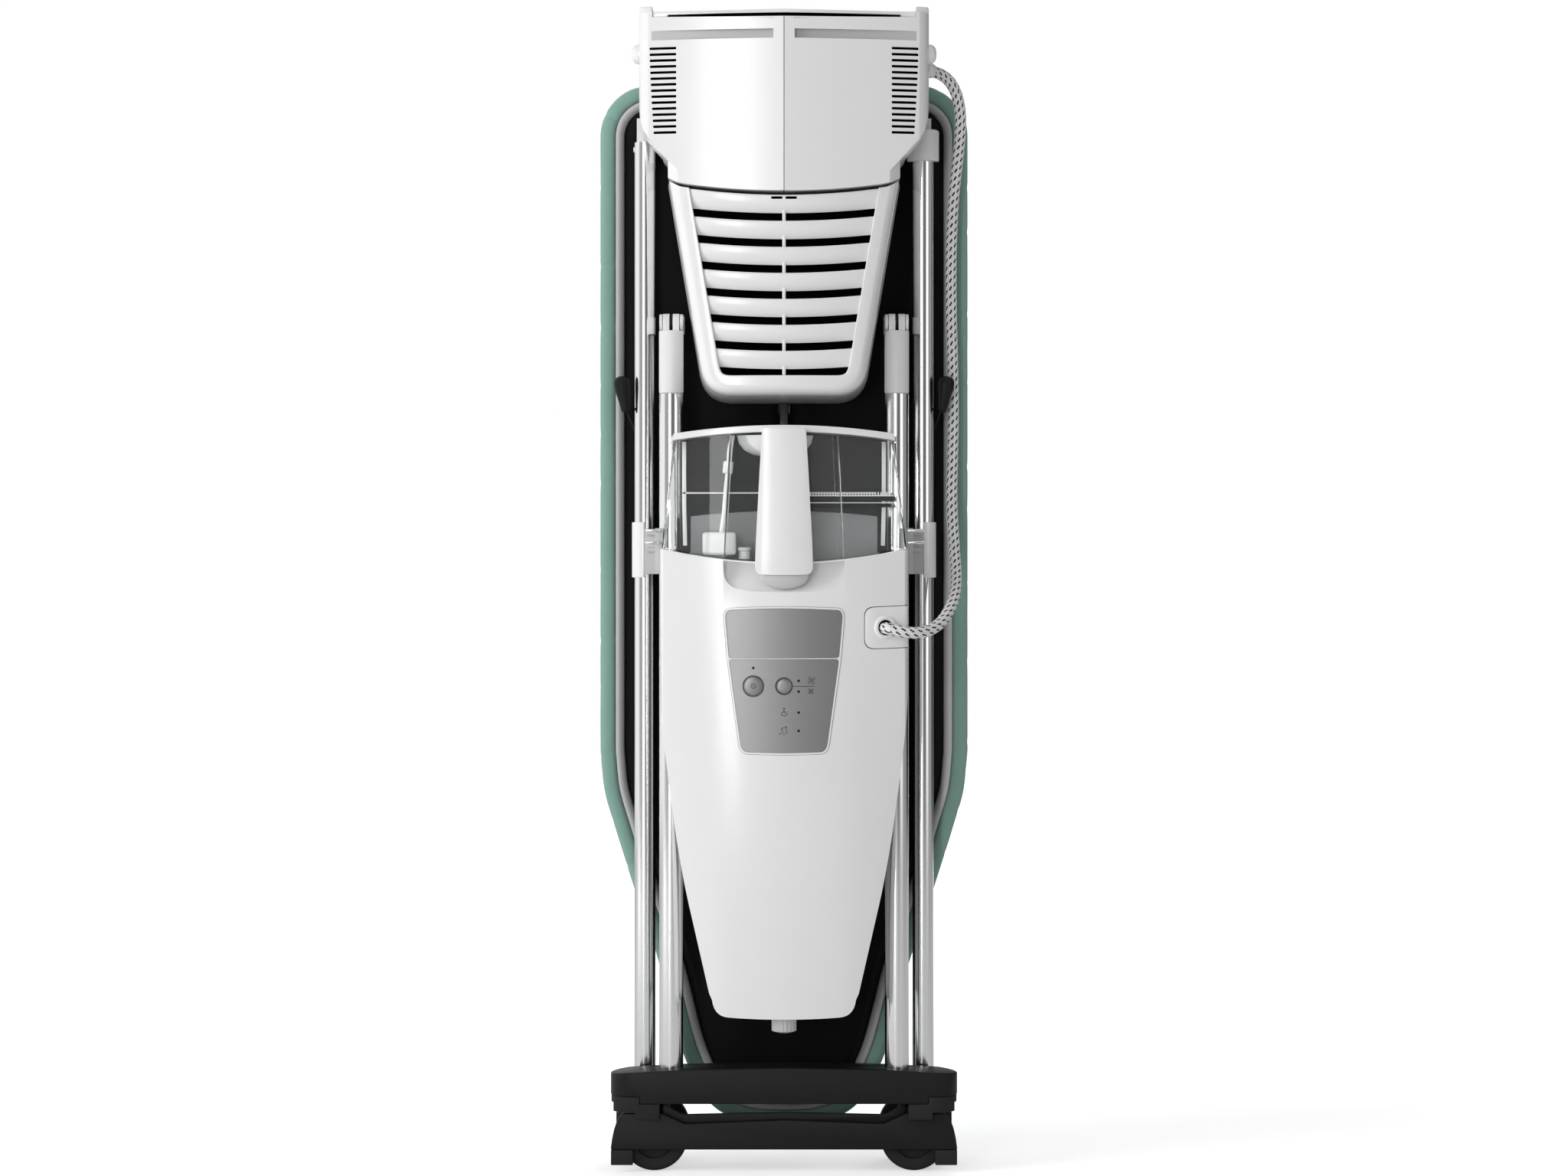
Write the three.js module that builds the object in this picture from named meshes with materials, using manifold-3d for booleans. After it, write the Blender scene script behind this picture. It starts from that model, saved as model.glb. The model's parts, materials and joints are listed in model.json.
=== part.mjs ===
// A folding vacuum ironing table, folded and standing on its wheels, with its steam generator.
// Millimetres, +X to the right, +Y away from the viewer (the ironing face looks along +Y), +Z up.
// The origin is the bottom centre of the folded table, on the floor.
import * as THREE from "three";
import { mergeVertices } from "three/addons/utils/BufferGeometryUtils.js";
import Module from "manifold-3d";

const wasm = await Module();
wasm.setup();

// Sizes shared by the whole object
const gap = 0.3; // air between two pieces that touch
const overrun = 2; // how far a cutter runs past what it cuts
const weld = 0.0005; // vertices nearer than this are one vertex
const foldedDepth = 200;
const backY = foldedDepth / 2;
const frontY = -foldedDepth / 2;

// Ironing board
const boardNoseZ = 38;
const boardLength = 1212;
const boardHalfWidth = 214;
const boardCornerRadius = 60;
const boardTopZ = boardNoseZ + boardLength;
const boardDepth = 53;
const boardEdgeDepth = 42;
const coverThickness = 3;
const coverEdgeThickness = 5;
const coverLipWidth = 17.5;
const coverLipDepth = 13;
const coverTuckCount = 5;
const coverTuckDepth = 1.4;
const edgeRoundness = 6;
const edgeSpreadShare = 1.2;
const foamThickness = 9;
const meshThickness = 1.5;
const rimWidth = 10.5;
const rimSlope = 3.5;
const rimLipWidth = 12;
const panWall = 2.5;
const panSlope = 9;
const panBevel = 4;
// The pointed end, as shares of the half width and of the length
const noseShares = [
  [0.0, 0.0],
  [0.2, 0.003],
  [0.385, 0.018],
  [0.53, 0.06],
  [0.68, 0.155],
  [0.817, 0.228],
  [0.92, 0.286],
  [0.977, 0.321],
  [1.0, 0.36],
];
const panFrontY = backY - boardDepth;
const coverFrontY = backY - boardEdgeDepth;

// Rear housing over the wide end of the board
const housingInset = 50;
const housingHalfWidth = boardHalfWidth - housingInset;
const housingWaistInset = 12.5;
const housingWaistHalfWidth = housingHalfWidth - housingWaistInset;
const housingNeckInset = 33;
const housingNeckHalfWidth = housingHalfWidth - housingNeckInset;
const housingRise = 63;
const housingShoulderDrop = 48;
const housingWaistDrop = 82;
const housingNeckDrop = 102;
const housingBottomDrop = 128;
const housingSeamSag = 12.5;
const housingFrontDepth = 142;
const housingRidge = 29;
const housingEdgeRound = 15;
const housingWall = 3;
const housingBackDepth = 13;
const housingFootGap = 4.5;
const legRoomInset = 75;
const legRoomX = boardHalfWidth - legRoomInset;
const legRoomY = 0;
const legRoomRise = 41;
const lugHeight = 8;
const lugWidth = 17;
const capThickness = 6;
const capInset = 16;
const gripInset = 24;
const gripLength = housingHalfWidth - gripInset;
const gripHeight = 10.5;
const gripDepth = 2;
const gripDrop = 23;
const gripFromSeam = 12;
const ventCount = 15;
const ventPitch = 6.87;
const ventHeight = 2.2;
const ventWidth = 30;
const ventInset = 43;
const ventFromCentre = housingHalfWidth - ventInset;
const ventDrop = 35;
const knobRadius = 10.5;
const knobReach = 10;
const knobDrop = 39;
const knobEndShare = 0.8;
const knobFromFront = 42;
const inletRadius = 10;
const inletLength = 12;
const restThickness = 3;
const restInset = 46;
const restHalfWidth = housingHalfWidth - restInset;
const restMargin = 1;
const restRibs = 5;
const restGrooveShare = 0.9;
const restFloorShare = 0.6;
const housingTopZ = boardTopZ + housingRise;
const housingFrontY = panFrontY - housingFrontDepth;

// Slatted exhaust box under the housing, with the fan inside
const exhaustInset = 1.5;
const exhaustTopHalfWidth = housingNeckHalfWidth - exhaustInset;
const exhaustTaper = 37.5;
const exhaustBottomHalfWidth = exhaustTopHalfWidth - exhaustTaper;
const exhaustHeight = 224;
const exhaustFrontDepth = 135;
const exhaustBow = 16;
const exhaustEdgeRound = 9;
const exhaustCorner = 16;
const exhaustWall = 3;
const exhaustFrame = 22;
const exhaustSeamGap = 3.6;
const slatCount = 7;
const slatPitch = 29.8;
const slatGap = 8.8;
const slatTopDrop = 26.8;
const slatBowTop = 6.6;
const slatBowStep = 0.6;
const slatRib = 4;
const smallSlotWidth = 12;
const smallSlotHeight = 3.2;
const smallSlotDrop = 3.7;
const fanDrop = 112;
const voluteShare = 0.5405;
const voluteRadius = exhaustTopHalfWidth * voluteShare;
const voluteDepth = 44;
const voluteWall = 2.5;
const impellerShare = 0.448;
const impellerRadius = exhaustTopHalfWidth * impellerShare;
const impellerDepth = 26;
const impellerPlate = 2.5;
const impellerHub = 14;
const eyeShare = 0.2625;
const eyeRadius = exhaustTopHalfWidth * eyeShare;
const bladeCount = 9;
const bladeThickness = 2;
const bladeRootShare = 0.55;
const motorRadius = eyeRadius;
const motorLength = 56;
const shaftRadius = 4;
const shaftFit = 0.3;
const runningGap = 3;

// Legs that carry the wheels (outer pair) and legs that carry the generator (inner pair)
const tubeWall = 1.5;
const legInset = 53.5;
const outerLegX = boardHalfWidth - legInset;
const outerLegRadius = 12.25;
const outerLegStandOff = 19;
const outerPivotDrop = 80;
const outerLegTop = 8;
const legSpacing = 31.7;
const innerLegX = outerLegX - legSpacing;
const innerLegRadius = 13.7;
const innerLegStandOff = 62;
const innerPivotDrop = 283;
const pinRadius = 3;
const pinFit = 0.25;
const pinHead = 1;
const sleeveRadius = 14;
const sleeveDrop = 12;
const sleeveLength = 69;
const spigotLength = 45;
const tineThickness = 8;
const tineSlot = 3.2;
const tineRadius = 10;
const cheekThickness = 3.4;
const cheekRadius = 9.6;
const hingeBaseHeight = 22;
const hingeBaseThickness = 5;
const tongueThickness = 6;
const tongueRadius = 8;
const tongueSlotDepth = 22;
const outerHingeWidth = 20;
const outerHingeThickness = 5.4;
const outerHingeRise = 38;
const outerHingeClear = 9;
const legCapRadius = 18.5;
const legCapBelow = 14;
const legCapAbove = 22;
const outerLegY = panFrontY - outerLegStandOff;
const outerPivotZ = boardTopZ - outerPivotDrop;
const innerLegY = panFrontY - innerLegStandOff;
const innerPivotZ = boardTopZ - innerPivotDrop;

// Wheeled foot
const wheelRadius = 38;
const wheelWidth = 19;
const wheelInset = 12.5;
const wheelX = outerLegX - wheelInset;
const wheelSides = 24;
const wheelHubRadius = 24;
const wheelDish = 4;
const wheelSideGap = 2;
const axleRadius = 5;
const axleFit = 0.3;
const axleCapShare = 1.8;
const beamBottomZ = 26;
const beamHeight = 34;
const beamFrontY = -39;
const beamDepth = 66;
const beamEndReach = 60.5;
const beamHalfWidth = outerLegX - beamEndReach;
const faceThickness = 9;
const faceInset = 17;
const faceHalfWidth = boardHalfWidth - faceInset;
const faceShoulder = 7.5;
const faceEndLean = 14;
const hoodReach = 21.5;
const hoodInnerX = outerLegX - hoodReach;
const hoodSlope = 26;
const hoodDip = 4.5;
const podInnerReach = 28.5;
const podInnerX = outerLegX - podInnerReach;
const podOuterReach = 31.5;
const podOuterX = outerLegX + podOuterReach;
const podBottomZ = 20;
const podHeight = 44;
const podBehindLeg = 29;
const legSeatWall = 3;
const footBlockWidth = 25;
const footBlockHeight = 17.3;
const footBlockThickness = 8.6;

// Foot bar under the generator
const barInset = 16.5;
const barHalfWidth = boardHalfWidth - barInset;
const barDepth = 55.5;
const barCentreY = -19.25;
const barBottomZ = 79;
const barHeight = 41;
const barDroop = 8;
// Fall of the bar's top towards its ends: [share of the half width, share of the droop]
const barDroopShares = [
  [0.9, 0.72],
  [0.6, 0.32],
  [0.3, 0.08],
];
const barEndStep = 8;
const barEndStepWidth = 34;
const socketDepth = 26;
const padDrop = 10;
const padInset = 0.6;
const studWidth = 27.5;
const studDrop = 18;
const studOverlap = 5;

// Steam generator
const bodySideReach = 11.2;
const bodyHalfWidth = innerLegX + bodySideReach;
const bodyTopZ = 708;
const bodyTopSag = 16;
const bodyBottomZ = 180;
const bodyTaper = 58;
const bodyBottomHalfWidth = bodyHalfWidth - bodyTaper;
const bodyCorner = 18;
const bodyWall = 3;
const bodyFrontY = -90;
const bodyBackY = -36;
const bodyFlatShare = 0.5143;
const bodyFlatHalfWidth = bodyHalfWidth * bodyFlatShare;
const bodyFacetDrop = 18;
const bodySideRound = 8;
// Half widths of the body below its widest part, as shares of the half width, and their heights as shares
const bodyWidthShares = [0.961, 0.904, 0.857, 0.791];
const bodyHeightShares = [0.595, 0.47, 0.371, 0.275];
const bodyWideShare = 0.67;
const backClear = 5.1;
const backHalfWidth = innerLegX - innerLegRadius - backClear;
const backY2 = 26;
const backInset = 8;
const flangeThickness = 3;
const tankRestRise = 41;
const tankRestThickness = 14;
const tankRestInset = 4;
const scoopShare = 0.4857;
const scoopHalfWidth = bodyHalfWidth * scoopShare;
const scoopHalfHeight = 32;
const scoopDepth = 24;
const scoopDrop = 18;

// Control panels and buttons
const panelThickness = 3;
const panelTopZ = 640;
const panelUpperHeight = 54.5;
const panelTopShare = 0.4714;
const panelUpperTop = bodyHalfWidth * panelTopShare;
const panelMiddleShare = 0.4393;
const panelUpperBottom = bodyHalfWidth * panelMiddleShare;
const panelSplit = 1.6;
const panelLowerHeight = 104;
const panelBottomShare = 0.3286;
const panelLowerBottom = bodyHalfWidth * panelBottomShare;
const panelCorner = 9;
const buttonProud = 1.6;
const buttonThickness = 5;
const buttonFit = 0.5;
const powerButtonShare = 0.2457;
const powerButtonX = -bodyHalfWidth * powerButtonShare;
const powerButtonRadius = 11;
const fanButtonRadius = 8.8;
const buttonRowDrop = 86.1;
const buttonFlange = 2;
const boardCardThickness = 1.6;
const boardCardBehind = 12;
const boardCardHalfWidth = 42;
const boardCardHeight = 120;
const cardPostSize = 6;

// Hose port
const portInset = 29;
const portX = bodyHalfWidth - portInset;
const portZ = 621;
const portPlateHalfHeight = 24;
const portPlateHalfWidth = 22;
const portPlateThickness = 2;
const portRimRadius = 15;
const portRimHeight = 1.5;
const portRimRound = 3;
const portEdgeInset = 3;
const portPlateEdgeX = bodyHalfWidth - portEdgeInset;
const nozzleRadius = 9;
const nozzleLip = 1.5;
const nozzleCollar = 3;
const hoseRadius = 6.6;
const hoseSteps = 46;

// Water tank
const tankTopInset = 17;
const tankTopHalfWidth = bodyHalfWidth - tankTopInset;
const tankBottomInset = 1.5;
const tankBottomHalfWidth = bodyHalfWidth - tankBottomInset;
const tankTopZ = 838;
const tankCrown = 9;
const tankWall = 2.5;
const tankFrontInset = 4;
const tankBackY = -36;
const tankSeat = 0.6;
const lidThickness = 8;
const lidOverhang = 1.5;
const handleTopHalfWidth = 25;
const handleBottomHalfWidth = 33;
const handleTopZ = 843;
const handleBottomZ = 679;
const handleCorner = 10;
const plugRadius = 14;
const plugHeight = 16;
const plugRibs = 12;
const plugRibDepth = 0.8;
const plugY = -62;
const plugNeckRadius = 9;
const plugNeck = 9;

// Inside the generator
const boilerRadius = 46;
const boilerHeight = 190;
const boilerZ = 250;
const boilerY = -32;
const boilerWall = 2.5;
const boilerDome = 12;
const boilerNeckRadius = 30;
const boilerFoot = 24;
const boilerFootWidth = 30;
const heaterRadius = 36;
const heaterThickness = 9;
const heaterTerminalRadius = 3;
const pumpRadius = 22;
const pumpLength = 70;
const pumpInset = 48;
const pumpX = backHalfWidth - pumpInset;
const pumpZ = 500;
const pumpFoot = 20;

// Clips that hold the outer legs while folded
const clipZ = 676;
const clipHeight = 64;
const clipWall = 2.6;
const clipArmHeight = 52;
const clipArmThickness = 4;
const clipArmDrop = 8;
const clipPinRadius = 3;
const clipPinDrop = 5;
const clipPinPitch = 19;
const armFootInset = 7;
const armFootX = bodyHalfWidth - armFootInset;

// Height rail and release levers
const railTopZ = 884;
const railBottomZ = 420;
const railRadius = 6;
const railY = 36;
const railBlockHeight = 26;
const railBlockHalfWidth = 13;
const leverInset = 26.5;
const leverX = boardHalfWidth - leverInset;
const leverTopZ = 908;
const leverHeadLength = 42;
const leverHeadRadius = 9.5;
const leverTailRadius = 5;
const leverTipShare = 0.6;
const leverY = 22.5;
const leverLean = 18.5;
const leverRootX = leverX - leverLean;
const leverRootZ = 838;
const leverRodRadius = 1.6;
const leverPinY = 44.2;
const leverPinRadius = 1.6;
const leverEarSpan = 8;
const leverEarThickness = 2;
const leverEarHalfHeight = 5;

// Materials
function material(name, color, roughness, metalness, opacity = 1) {
  const finish = new THREE.MeshStandardMaterial({ color, roughness, metalness });
  finish.name = name;
  finish.opacity = opacity;
  finish.transparent = opacity < 1;
  return finish;
}
const teal = material("teal_cloth", 0x7ca398, 0.9, 0);
const foam = material("foam", 0xe6dfc8, 0.95, 0);
const steelMesh = material("steel_mesh", 0x9a9a9a, 0.5, 0.8);
const paleGrey = material("pale_grey_paint", 0xc3c1c1, 0.5, 0.1);
const black = material("black_plastic", 0x161616, 0.45, 0);
const white = material("white_plastic", 0xf2f2f0, 0.3, 0);
const midGrey = material("mid_grey_plastic", 0x8f9192, 0.5, 0);
const chrome = material("chrome", 0xdadada, 0.08, 1);
const rubber = material("black_rubber", 0x222222, 0.85, 0);
const clear = material("clear_plastic", 0xd8dcdc, 0.05, 0, 0.35);
const brass = material("brass", 0xb89b52, 0.35, 1);
const card = material("card_green", 0x2d5d3c, 0.6, 0);
const braid = material("hose_braid", 0xbdbdbd, 0.8, 0);

// Steam hose from the generator's port to the side of the rear housing, points chosen by hand.
// Its start is set out from the port and its end from the housing's side and the board's top. In its long
// run a point is [inset from the board's edge, y, share of the height from the port to the board's top].
const hoseFromPort = [
  [8.8, -87.4, -3.2],
  [21, -88.2, -5.8],
  [35, -85.3, -7.4],
  [49, -78.2, -5.8],
  [64, -64.8, 2.5],
];
const hoseRunShares = [
  [27, -47, 0.0286],
  [19.7, -28, 0.0588],
  [17.4, -9, 0.0906],
  [18, 9, 0.1304],
  [19.2, 24, 0.1781],
  [20, 35, 0.2353],
  [19, 40, 0.3052],
  [18, 41, 0.3895],
  [19, 40, 0.4881],
  [20.4, 40, 0.5866],
  [20.4, 40, 0.6852],
  [17.8, 40.5, 0.7822],
  [13.8, 40, 0.8442],
  [10.4, 37, 0.8983],
];
const hoseToHousing = [
  [39.6, 30.5, -38],
  [34.8, 21.5, -17],
  [26.6, 11.2, -4],
  [16, 0.6, 2.8],
  [4.8, -10, 5],
];
const hoseRoute = [
  ...hoseFromPort.map(([x, y, z]) => [portX + x, y, portZ + z]),
  ...hoseRunShares.map(([inset, y, share]) => [
    boardHalfWidth - inset,
    y,
    portZ + share * (boardTopZ - portZ),
  ]),
  ...hoseToHousing.map(([x, y, z]) => [housingHalfWidth + x, y, boardTopZ + z]),
];

// Turns a closed geometry into a solid that can be joined and cut
function solid(geometry) {
  const bare = geometry.index ? geometry.toNonIndexed() : geometry.clone();
  bare.deleteAttribute("normal");
  bare.deleteAttribute("uv");
  const merged = mergeVertices(bare, weld);
  return new wasm.Manifold(
    new wasm.Mesh({
      numProp: 3,
      vertProperties: merged.attributes.position.array,
      triVerts: new Uint32Array(merged.index.array),
    }),
  );
}

function join(first, ...others) {
  return others.reduce((whole, piece) => whole.add(piece), first);
}

function cut(body, ...tools) {
  return tools.reduce((whole, tool) => whole.subtract(tool), body);
}

// The named mesh of a finished solid
function part(name, body, finish) {
  const made = body.getMesh();
  const points = new Float32Array(made.numVert * 3);
  for (let i = 0; i < made.numVert; i++) {
    points.set(made.vertProperties.subarray(i * made.numProp, i * made.numProp + 3), i * 3);
  }
  const geometry = new THREE.BufferGeometry();
  geometry.setAttribute("position", new THREE.BufferAttribute(points, 3));
  geometry.setIndex(new THREE.BufferAttribute(new Uint32Array(made.triVerts), 1));
  const flat = geometry.toNonIndexed();
  flat.computeVertexNormals();
  const mesh = new THREE.Mesh(flat, finish);
  mesh.name = name;
  return mesh;
}

function block(x0, x1, y0, y1, z0, z1) {
  const geometry = new THREE.BoxGeometry(x1 - x0, y1 - y0, z1 - z0);
  geometry.translate((x0 + x1) / 2, (y0 + y1) / 2, (z0 + z1) / 2);
  return solid(geometry);
}

// A cylinder or cone between two points, its facets touching the radius from outside when tangent is true
function rod(radius, from, to, sides = 24, endRadius = radius, tangent = false) {
  const start = new THREE.Vector3(...from);
  const end = new THREE.Vector3(...to);
  const way = end.clone().sub(start);
  const grow = tangent ? 1 / Math.cos(Math.PI / sides) : 1;
  const geometry = new THREE.CylinderGeometry(endRadius * grow, radius * grow, way.length(), sides);
  geometry.rotateY(Math.PI / sides);
  const turn = new THREE.Quaternion().setFromUnitVectors(new THREE.Vector3(0, 1, 0), way.normalize());
  geometry.applyQuaternion(turn);
  const middle = start.add(end).multiplyScalar(0.5);
  geometry.translate(middle.x, middle.y, middle.z);
  return solid(geometry);
}

function tube(outer, wall, from, to, sides = 24) {
  const start = new THREE.Vector3(...from);
  const end = new THREE.Vector3(...to);
  const past = end.clone().sub(start).normalize().multiplyScalar(overrun);
  const bore = rod(outer - wall, start.clone().sub(past).toArray(), end.clone().add(past).toArray(), sides);
  return cut(rod(outer, from, to, sides), bore);
}

// An outline in the X-Z plane pushed through along Y
function plate(shape, y0, y1, curveSegments = 8) {
  const geometry = new THREE.ExtrudeGeometry(shape, { depth: y1 - y0, bevelEnabled: false, curveSegments });
  geometry.rotateX(Math.PI / 2);
  geometry.translate(0, y1, 0);
  return solid(geometry);
}

// An outline in the X-Y plane pushed up along Z
function column(shape, z0, z1, curveSegments = 8) {
  const geometry = new THREE.ExtrudeGeometry(shape, { depth: z1 - z0, bevelEnabled: false, curveSegments });
  geometry.translate(0, 0, z0);
  return solid(geometry);
}

function mirrored(points) {
  const other = points
    .filter(([x]) => x !== 0)
    .map(([x, z]) => [-x, z])
    .reverse();
  return [...points, ...other];
}

function polygon(points) {
  return new THREE.Shape(points.map(([x, z]) => new THREE.Vector2(x, z)));
}

// A polygon whose corners are rounded to one radius
function roundedPolygon(points, radius, steps = 4) {
  const corners = points.map(([x, z]) => new THREE.Vector2(x, z));
  const rounded = [];
  corners.forEach((corner, i) => {
    const before = corners[(i + corners.length - 1) % corners.length];
    const after = corners[(i + 1) % corners.length];
    const toBefore = before.clone().sub(corner);
    const toAfter = after.clone().sub(corner);
    const reach = Math.min(radius, toBefore.length() / 2.1, toAfter.length() / 2.1);
    const start = corner.clone().add(toBefore.setLength(reach));
    const end = corner.clone().add(toAfter.setLength(reach));
    const bend = new THREE.QuadraticBezierCurve(start, corner, end);
    rounded.push(...bend.getPoints(steps));
  });
  return new THREE.Shape(rounded);
}

function mirrorX(body) {
  return body.mirror([1, 0, 0]);
}

// The board's outline, moved inwards by an inset, counterclockwise from the front
function boardOutline(sideSteps) {
  const nose = noseShares.map(
    ([widthShare, lengthShare]) =>
      new THREE.Vector3(widthShare * boardHalfWidth, 0, boardNoseZ + lengthShare * boardLength),
  );
  const curve = new THREE.CatmullRomCurve3(nose, false, "centripetal");
  const side = curve.getPoints(14).map((p) => [Math.min(p.x, boardHalfWidth), p.z]);
  const arcX = boardHalfWidth - boardCornerRadius;
  const arcZ = boardTopZ - boardCornerRadius;
  const straightZ = side.at(-1)[1];
  for (let i = 1; i < sideSteps; i++) {
    side.push([boardHalfWidth, straightZ + ((arcZ - straightZ) * i) / sideSteps]);
  }
  const arcSteps = 6;
  for (let i = 0; i <= arcSteps; i++) {
    const angle = (Math.PI / 2) * (i / arcSteps);
    side.push([arcX + boardCornerRadius * Math.cos(angle), arcZ + boardCornerRadius * Math.sin(angle)]);
  }
  side.push([arcX / 2, boardTopZ]);
  side.push([0, boardTopZ]);
  side[0][0] = 0;
  return mirrored(side).map(([x, z]) => new THREE.Vector2(x, z));
}
const plainLine = boardOutline(1);
const tuckedLine = boardOutline(coverTuckCount * 2);

function insetOutline(line, insets) {
  return line.map((point, i) => {
    const before = line[(i + line.length - 1) % line.length];
    const after = line[(i + 1) % line.length];
    const a = point.clone().sub(before).normalize();
    const b = after.clone().sub(point).normalize();
    const inward = new THREE.Vector2(-(a.y + b.y), a.x + b.x).normalize();
    const stretch = 1 / Math.max(inward.dot(new THREE.Vector2(-a.y, a.x)), 0.5);
    return point.clone().addScaledVector(inward, insets[i % 2] * stretch);
  });
}

// A solid whose wall follows the board's outline through rings of [inset, y, tuck inwards, tuck along y],
// where the tucks move every other point; open rings are capped at both ends
function aroundBoard(rings, { closed = false, line = plainLine } = {}) {
  const points = [];
  const faces = [];
  const count = line.length;
  const lines = rings.map(([inset, , tuckIn = 0]) => insetOutline(line, [inset, inset + tuckIn]));
  rings.forEach(([, y, , tuckY = 0], k) => {
    lines[k].forEach((p, i) => points.push(p.x, y + (i % 2) * tuckY, p.y));
  });
  const last = closed ? rings.length : rings.length - 1;
  for (let k = 0; k < last; k++) {
    const here = k * count;
    const next = ((k + 1) % rings.length) * count;
    for (let i = 0; i < count; i++) {
      const j = (i + 1) % count;
      faces.push(here + i, next + i, here + j);
      faces.push(here + j, next + i, next + j);
    }
  }
  if (!closed) {
    const end = (rings.length - 1) * count;
    THREE.ShapeUtils.triangulateShape(lines[0], []).forEach(([a, b, c]) => faces.push(a, b, c));
    const backFaces = THREE.ShapeUtils.triangulateShape(lines.at(-1), []);
    backFaces.forEach(([a, b, c]) => faces.push(end + a, end + c, end + b));
  }
  const geometry = new THREE.BufferGeometry();
  geometry.setAttribute("position", new THREE.BufferAttribute(new Float32Array(points), 3));
  geometry.setIndex(faces);
  return solid(geometry);
}

// Board: padded cover, foam, steel mesh, rim and underside pan
const meshBackY = backY - coverThickness - gap - foamThickness - gap;
const meshFrontY = meshBackY - meshThickness;
const rimBackY = meshFrontY - gap;
const rimInset = coverLipWidth + gap;
const panInset = rimInset + rimWidth + gap;

function boardCover() {
  const lipBack = coverFrontY + coverLipDepth;
  const inner = backY - coverThickness;
  const round = edgeRoundness;
  const corner = Math.SQRT1_2;
  const tuck = coverTuckDepth;
  return aroundBoard(
    [
      [coverEdgeThickness, inner],
      [coverEdgeThickness, lipBack],
      [coverLipWidth - round / 3, lipBack],
      [coverLipWidth, lipBack - round / 3],
      [coverLipWidth, coverFrontY + round / 2],
      [coverLipWidth - round / 3, coverFrontY + round / 8, 0, tuck],
      [round * (1 + corner), coverFrontY, 0, tuck],
      [round * (1 - corner), coverFrontY + round * (1 - corner), tuck, tuck],
      [0, coverFrontY + round * edgeSpreadShare, tuck],
      [0, coverFrontY + boardEdgeDepth / 2, tuck / 3],
      [round / 8, backY - round * edgeSpreadShare],
      [round * (1 - corner), backY - round * (1 - corner)],
      [round * (1 + corner), backY],
    ],
    { line: tuckedLine },
  );
}

function foamPad() {
  const back = backY - coverThickness - gap;
  const inset = coverEdgeThickness + gap;
  return aroundBoard([
    [inset, back - foamThickness],
    [inset, back],
  ]);
}

function meshTop() {
  const inset = coverEdgeThickness + gap;
  return aroundBoard([
    [inset, meshFrontY],
    [inset, meshBackY],
  ]);
}

function boardRim() {
  const inner = rimInset + rimWidth;
  const stepY = coverFrontY + coverLipDepth + gap;
  const face = coverFrontY + rimSlope;
  return aroundBoard(
    [
      [inner, rimBackY],
      [inner, face + rimSlope],
      [inner - rimWidth / 3, face],
      [rimInset + rimWidth / 4, coverFrontY + rimSlope / 4],
      [rimInset, coverFrontY + rimSlope / 2],
      [rimInset, stepY],
      [coverEdgeThickness + rimLipWidth / 2, stepY],
      [coverEdgeThickness + rimLipWidth / 2, rimBackY],
    ],
    { closed: true },
  );
}

function undersidePan() {
  const outer = panInset;
  const shell = aroundBoard([
    [outer + panSlope + panBevel, panFrontY],
    [outer + panSlope, panFrontY + panBevel / 3],
    [outer, coverFrontY + rimSlope * 2],
    [outer, rimBackY],
    [outer + panWall, rimBackY],
    [outer + panWall, coverFrontY + rimSlope * 2 + panWall / 2],
    [outer + panSlope + panWall, panFrontY + panWall + panBevel / 3],
    [outer + panSlope + panBevel, panFrontY + panWall],
  ]);
  const channel = 2 * railBlockHalfWidth;
  const groove = block(
    -channel / 2,
    channel / 2,
    panFrontY - overrun,
    panFrontY + panWall / 2,
    railBottomZ,
    railTopZ,
  );
  const eye = rod(eyeRadius, [0, panFrontY - overrun, fanZ], [0, panFrontY + panWall + overrun, fanZ], 24);
  const ears = leverEars();
  return cut(join(shell, ears, mirrorX(ears)), groove, eye);
}

// Front outline of the rear housing; inset shrinks it for the hollow
function housingOutline(inset) {
  const sag = housingSeamSag;
  const bottomZ = boardTopZ - housingBottomDrop;
  const side = [];
  const seam = new THREE.QuadraticBezierCurve(
    new THREE.Vector2(0, bottomZ - sag + inset),
    new THREE.Vector2(housingNeckHalfWidth / 2, bottomZ - sag + inset),
    new THREE.Vector2(housingNeckHalfWidth - inset, bottomZ + inset),
  );
  seam.getPoints(5).forEach((p) => side.push([p.x, p.y]));
  side.push([housingNeckHalfWidth - inset, boardTopZ - housingNeckDrop + inset / 2]);
  side.push([housingWaistHalfWidth - inset, boardTopZ - housingWaistDrop + inset / 2]);
  side.push([housingHalfWidth - inset, boardTopZ - housingShoulderDrop]);
  side.push([housingHalfWidth - inset, housingTopZ - inset]);
  side.push([0, housingTopZ - inset]);
  side[0][0] = 0;
  return polygon(mirrored(side));
}

// Plan of the housing: a shallow ridge in the middle, rounded at the sides
function housingPlan(inset, back) {
  const half = housingHalfWidth - inset;
  const round = housingEdgeRound;
  const edgeY = housingFrontY + housingRidge;
  const side = [
    [0, housingFrontY + inset],
    [half - round, edgeY - round / 2 + inset],
    [half - round / 3, edgeY + inset],
    [half, edgeY + round + inset],
    [half, back],
    [0, back],
  ];
  return polygon(mirrored(side));
}

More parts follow.
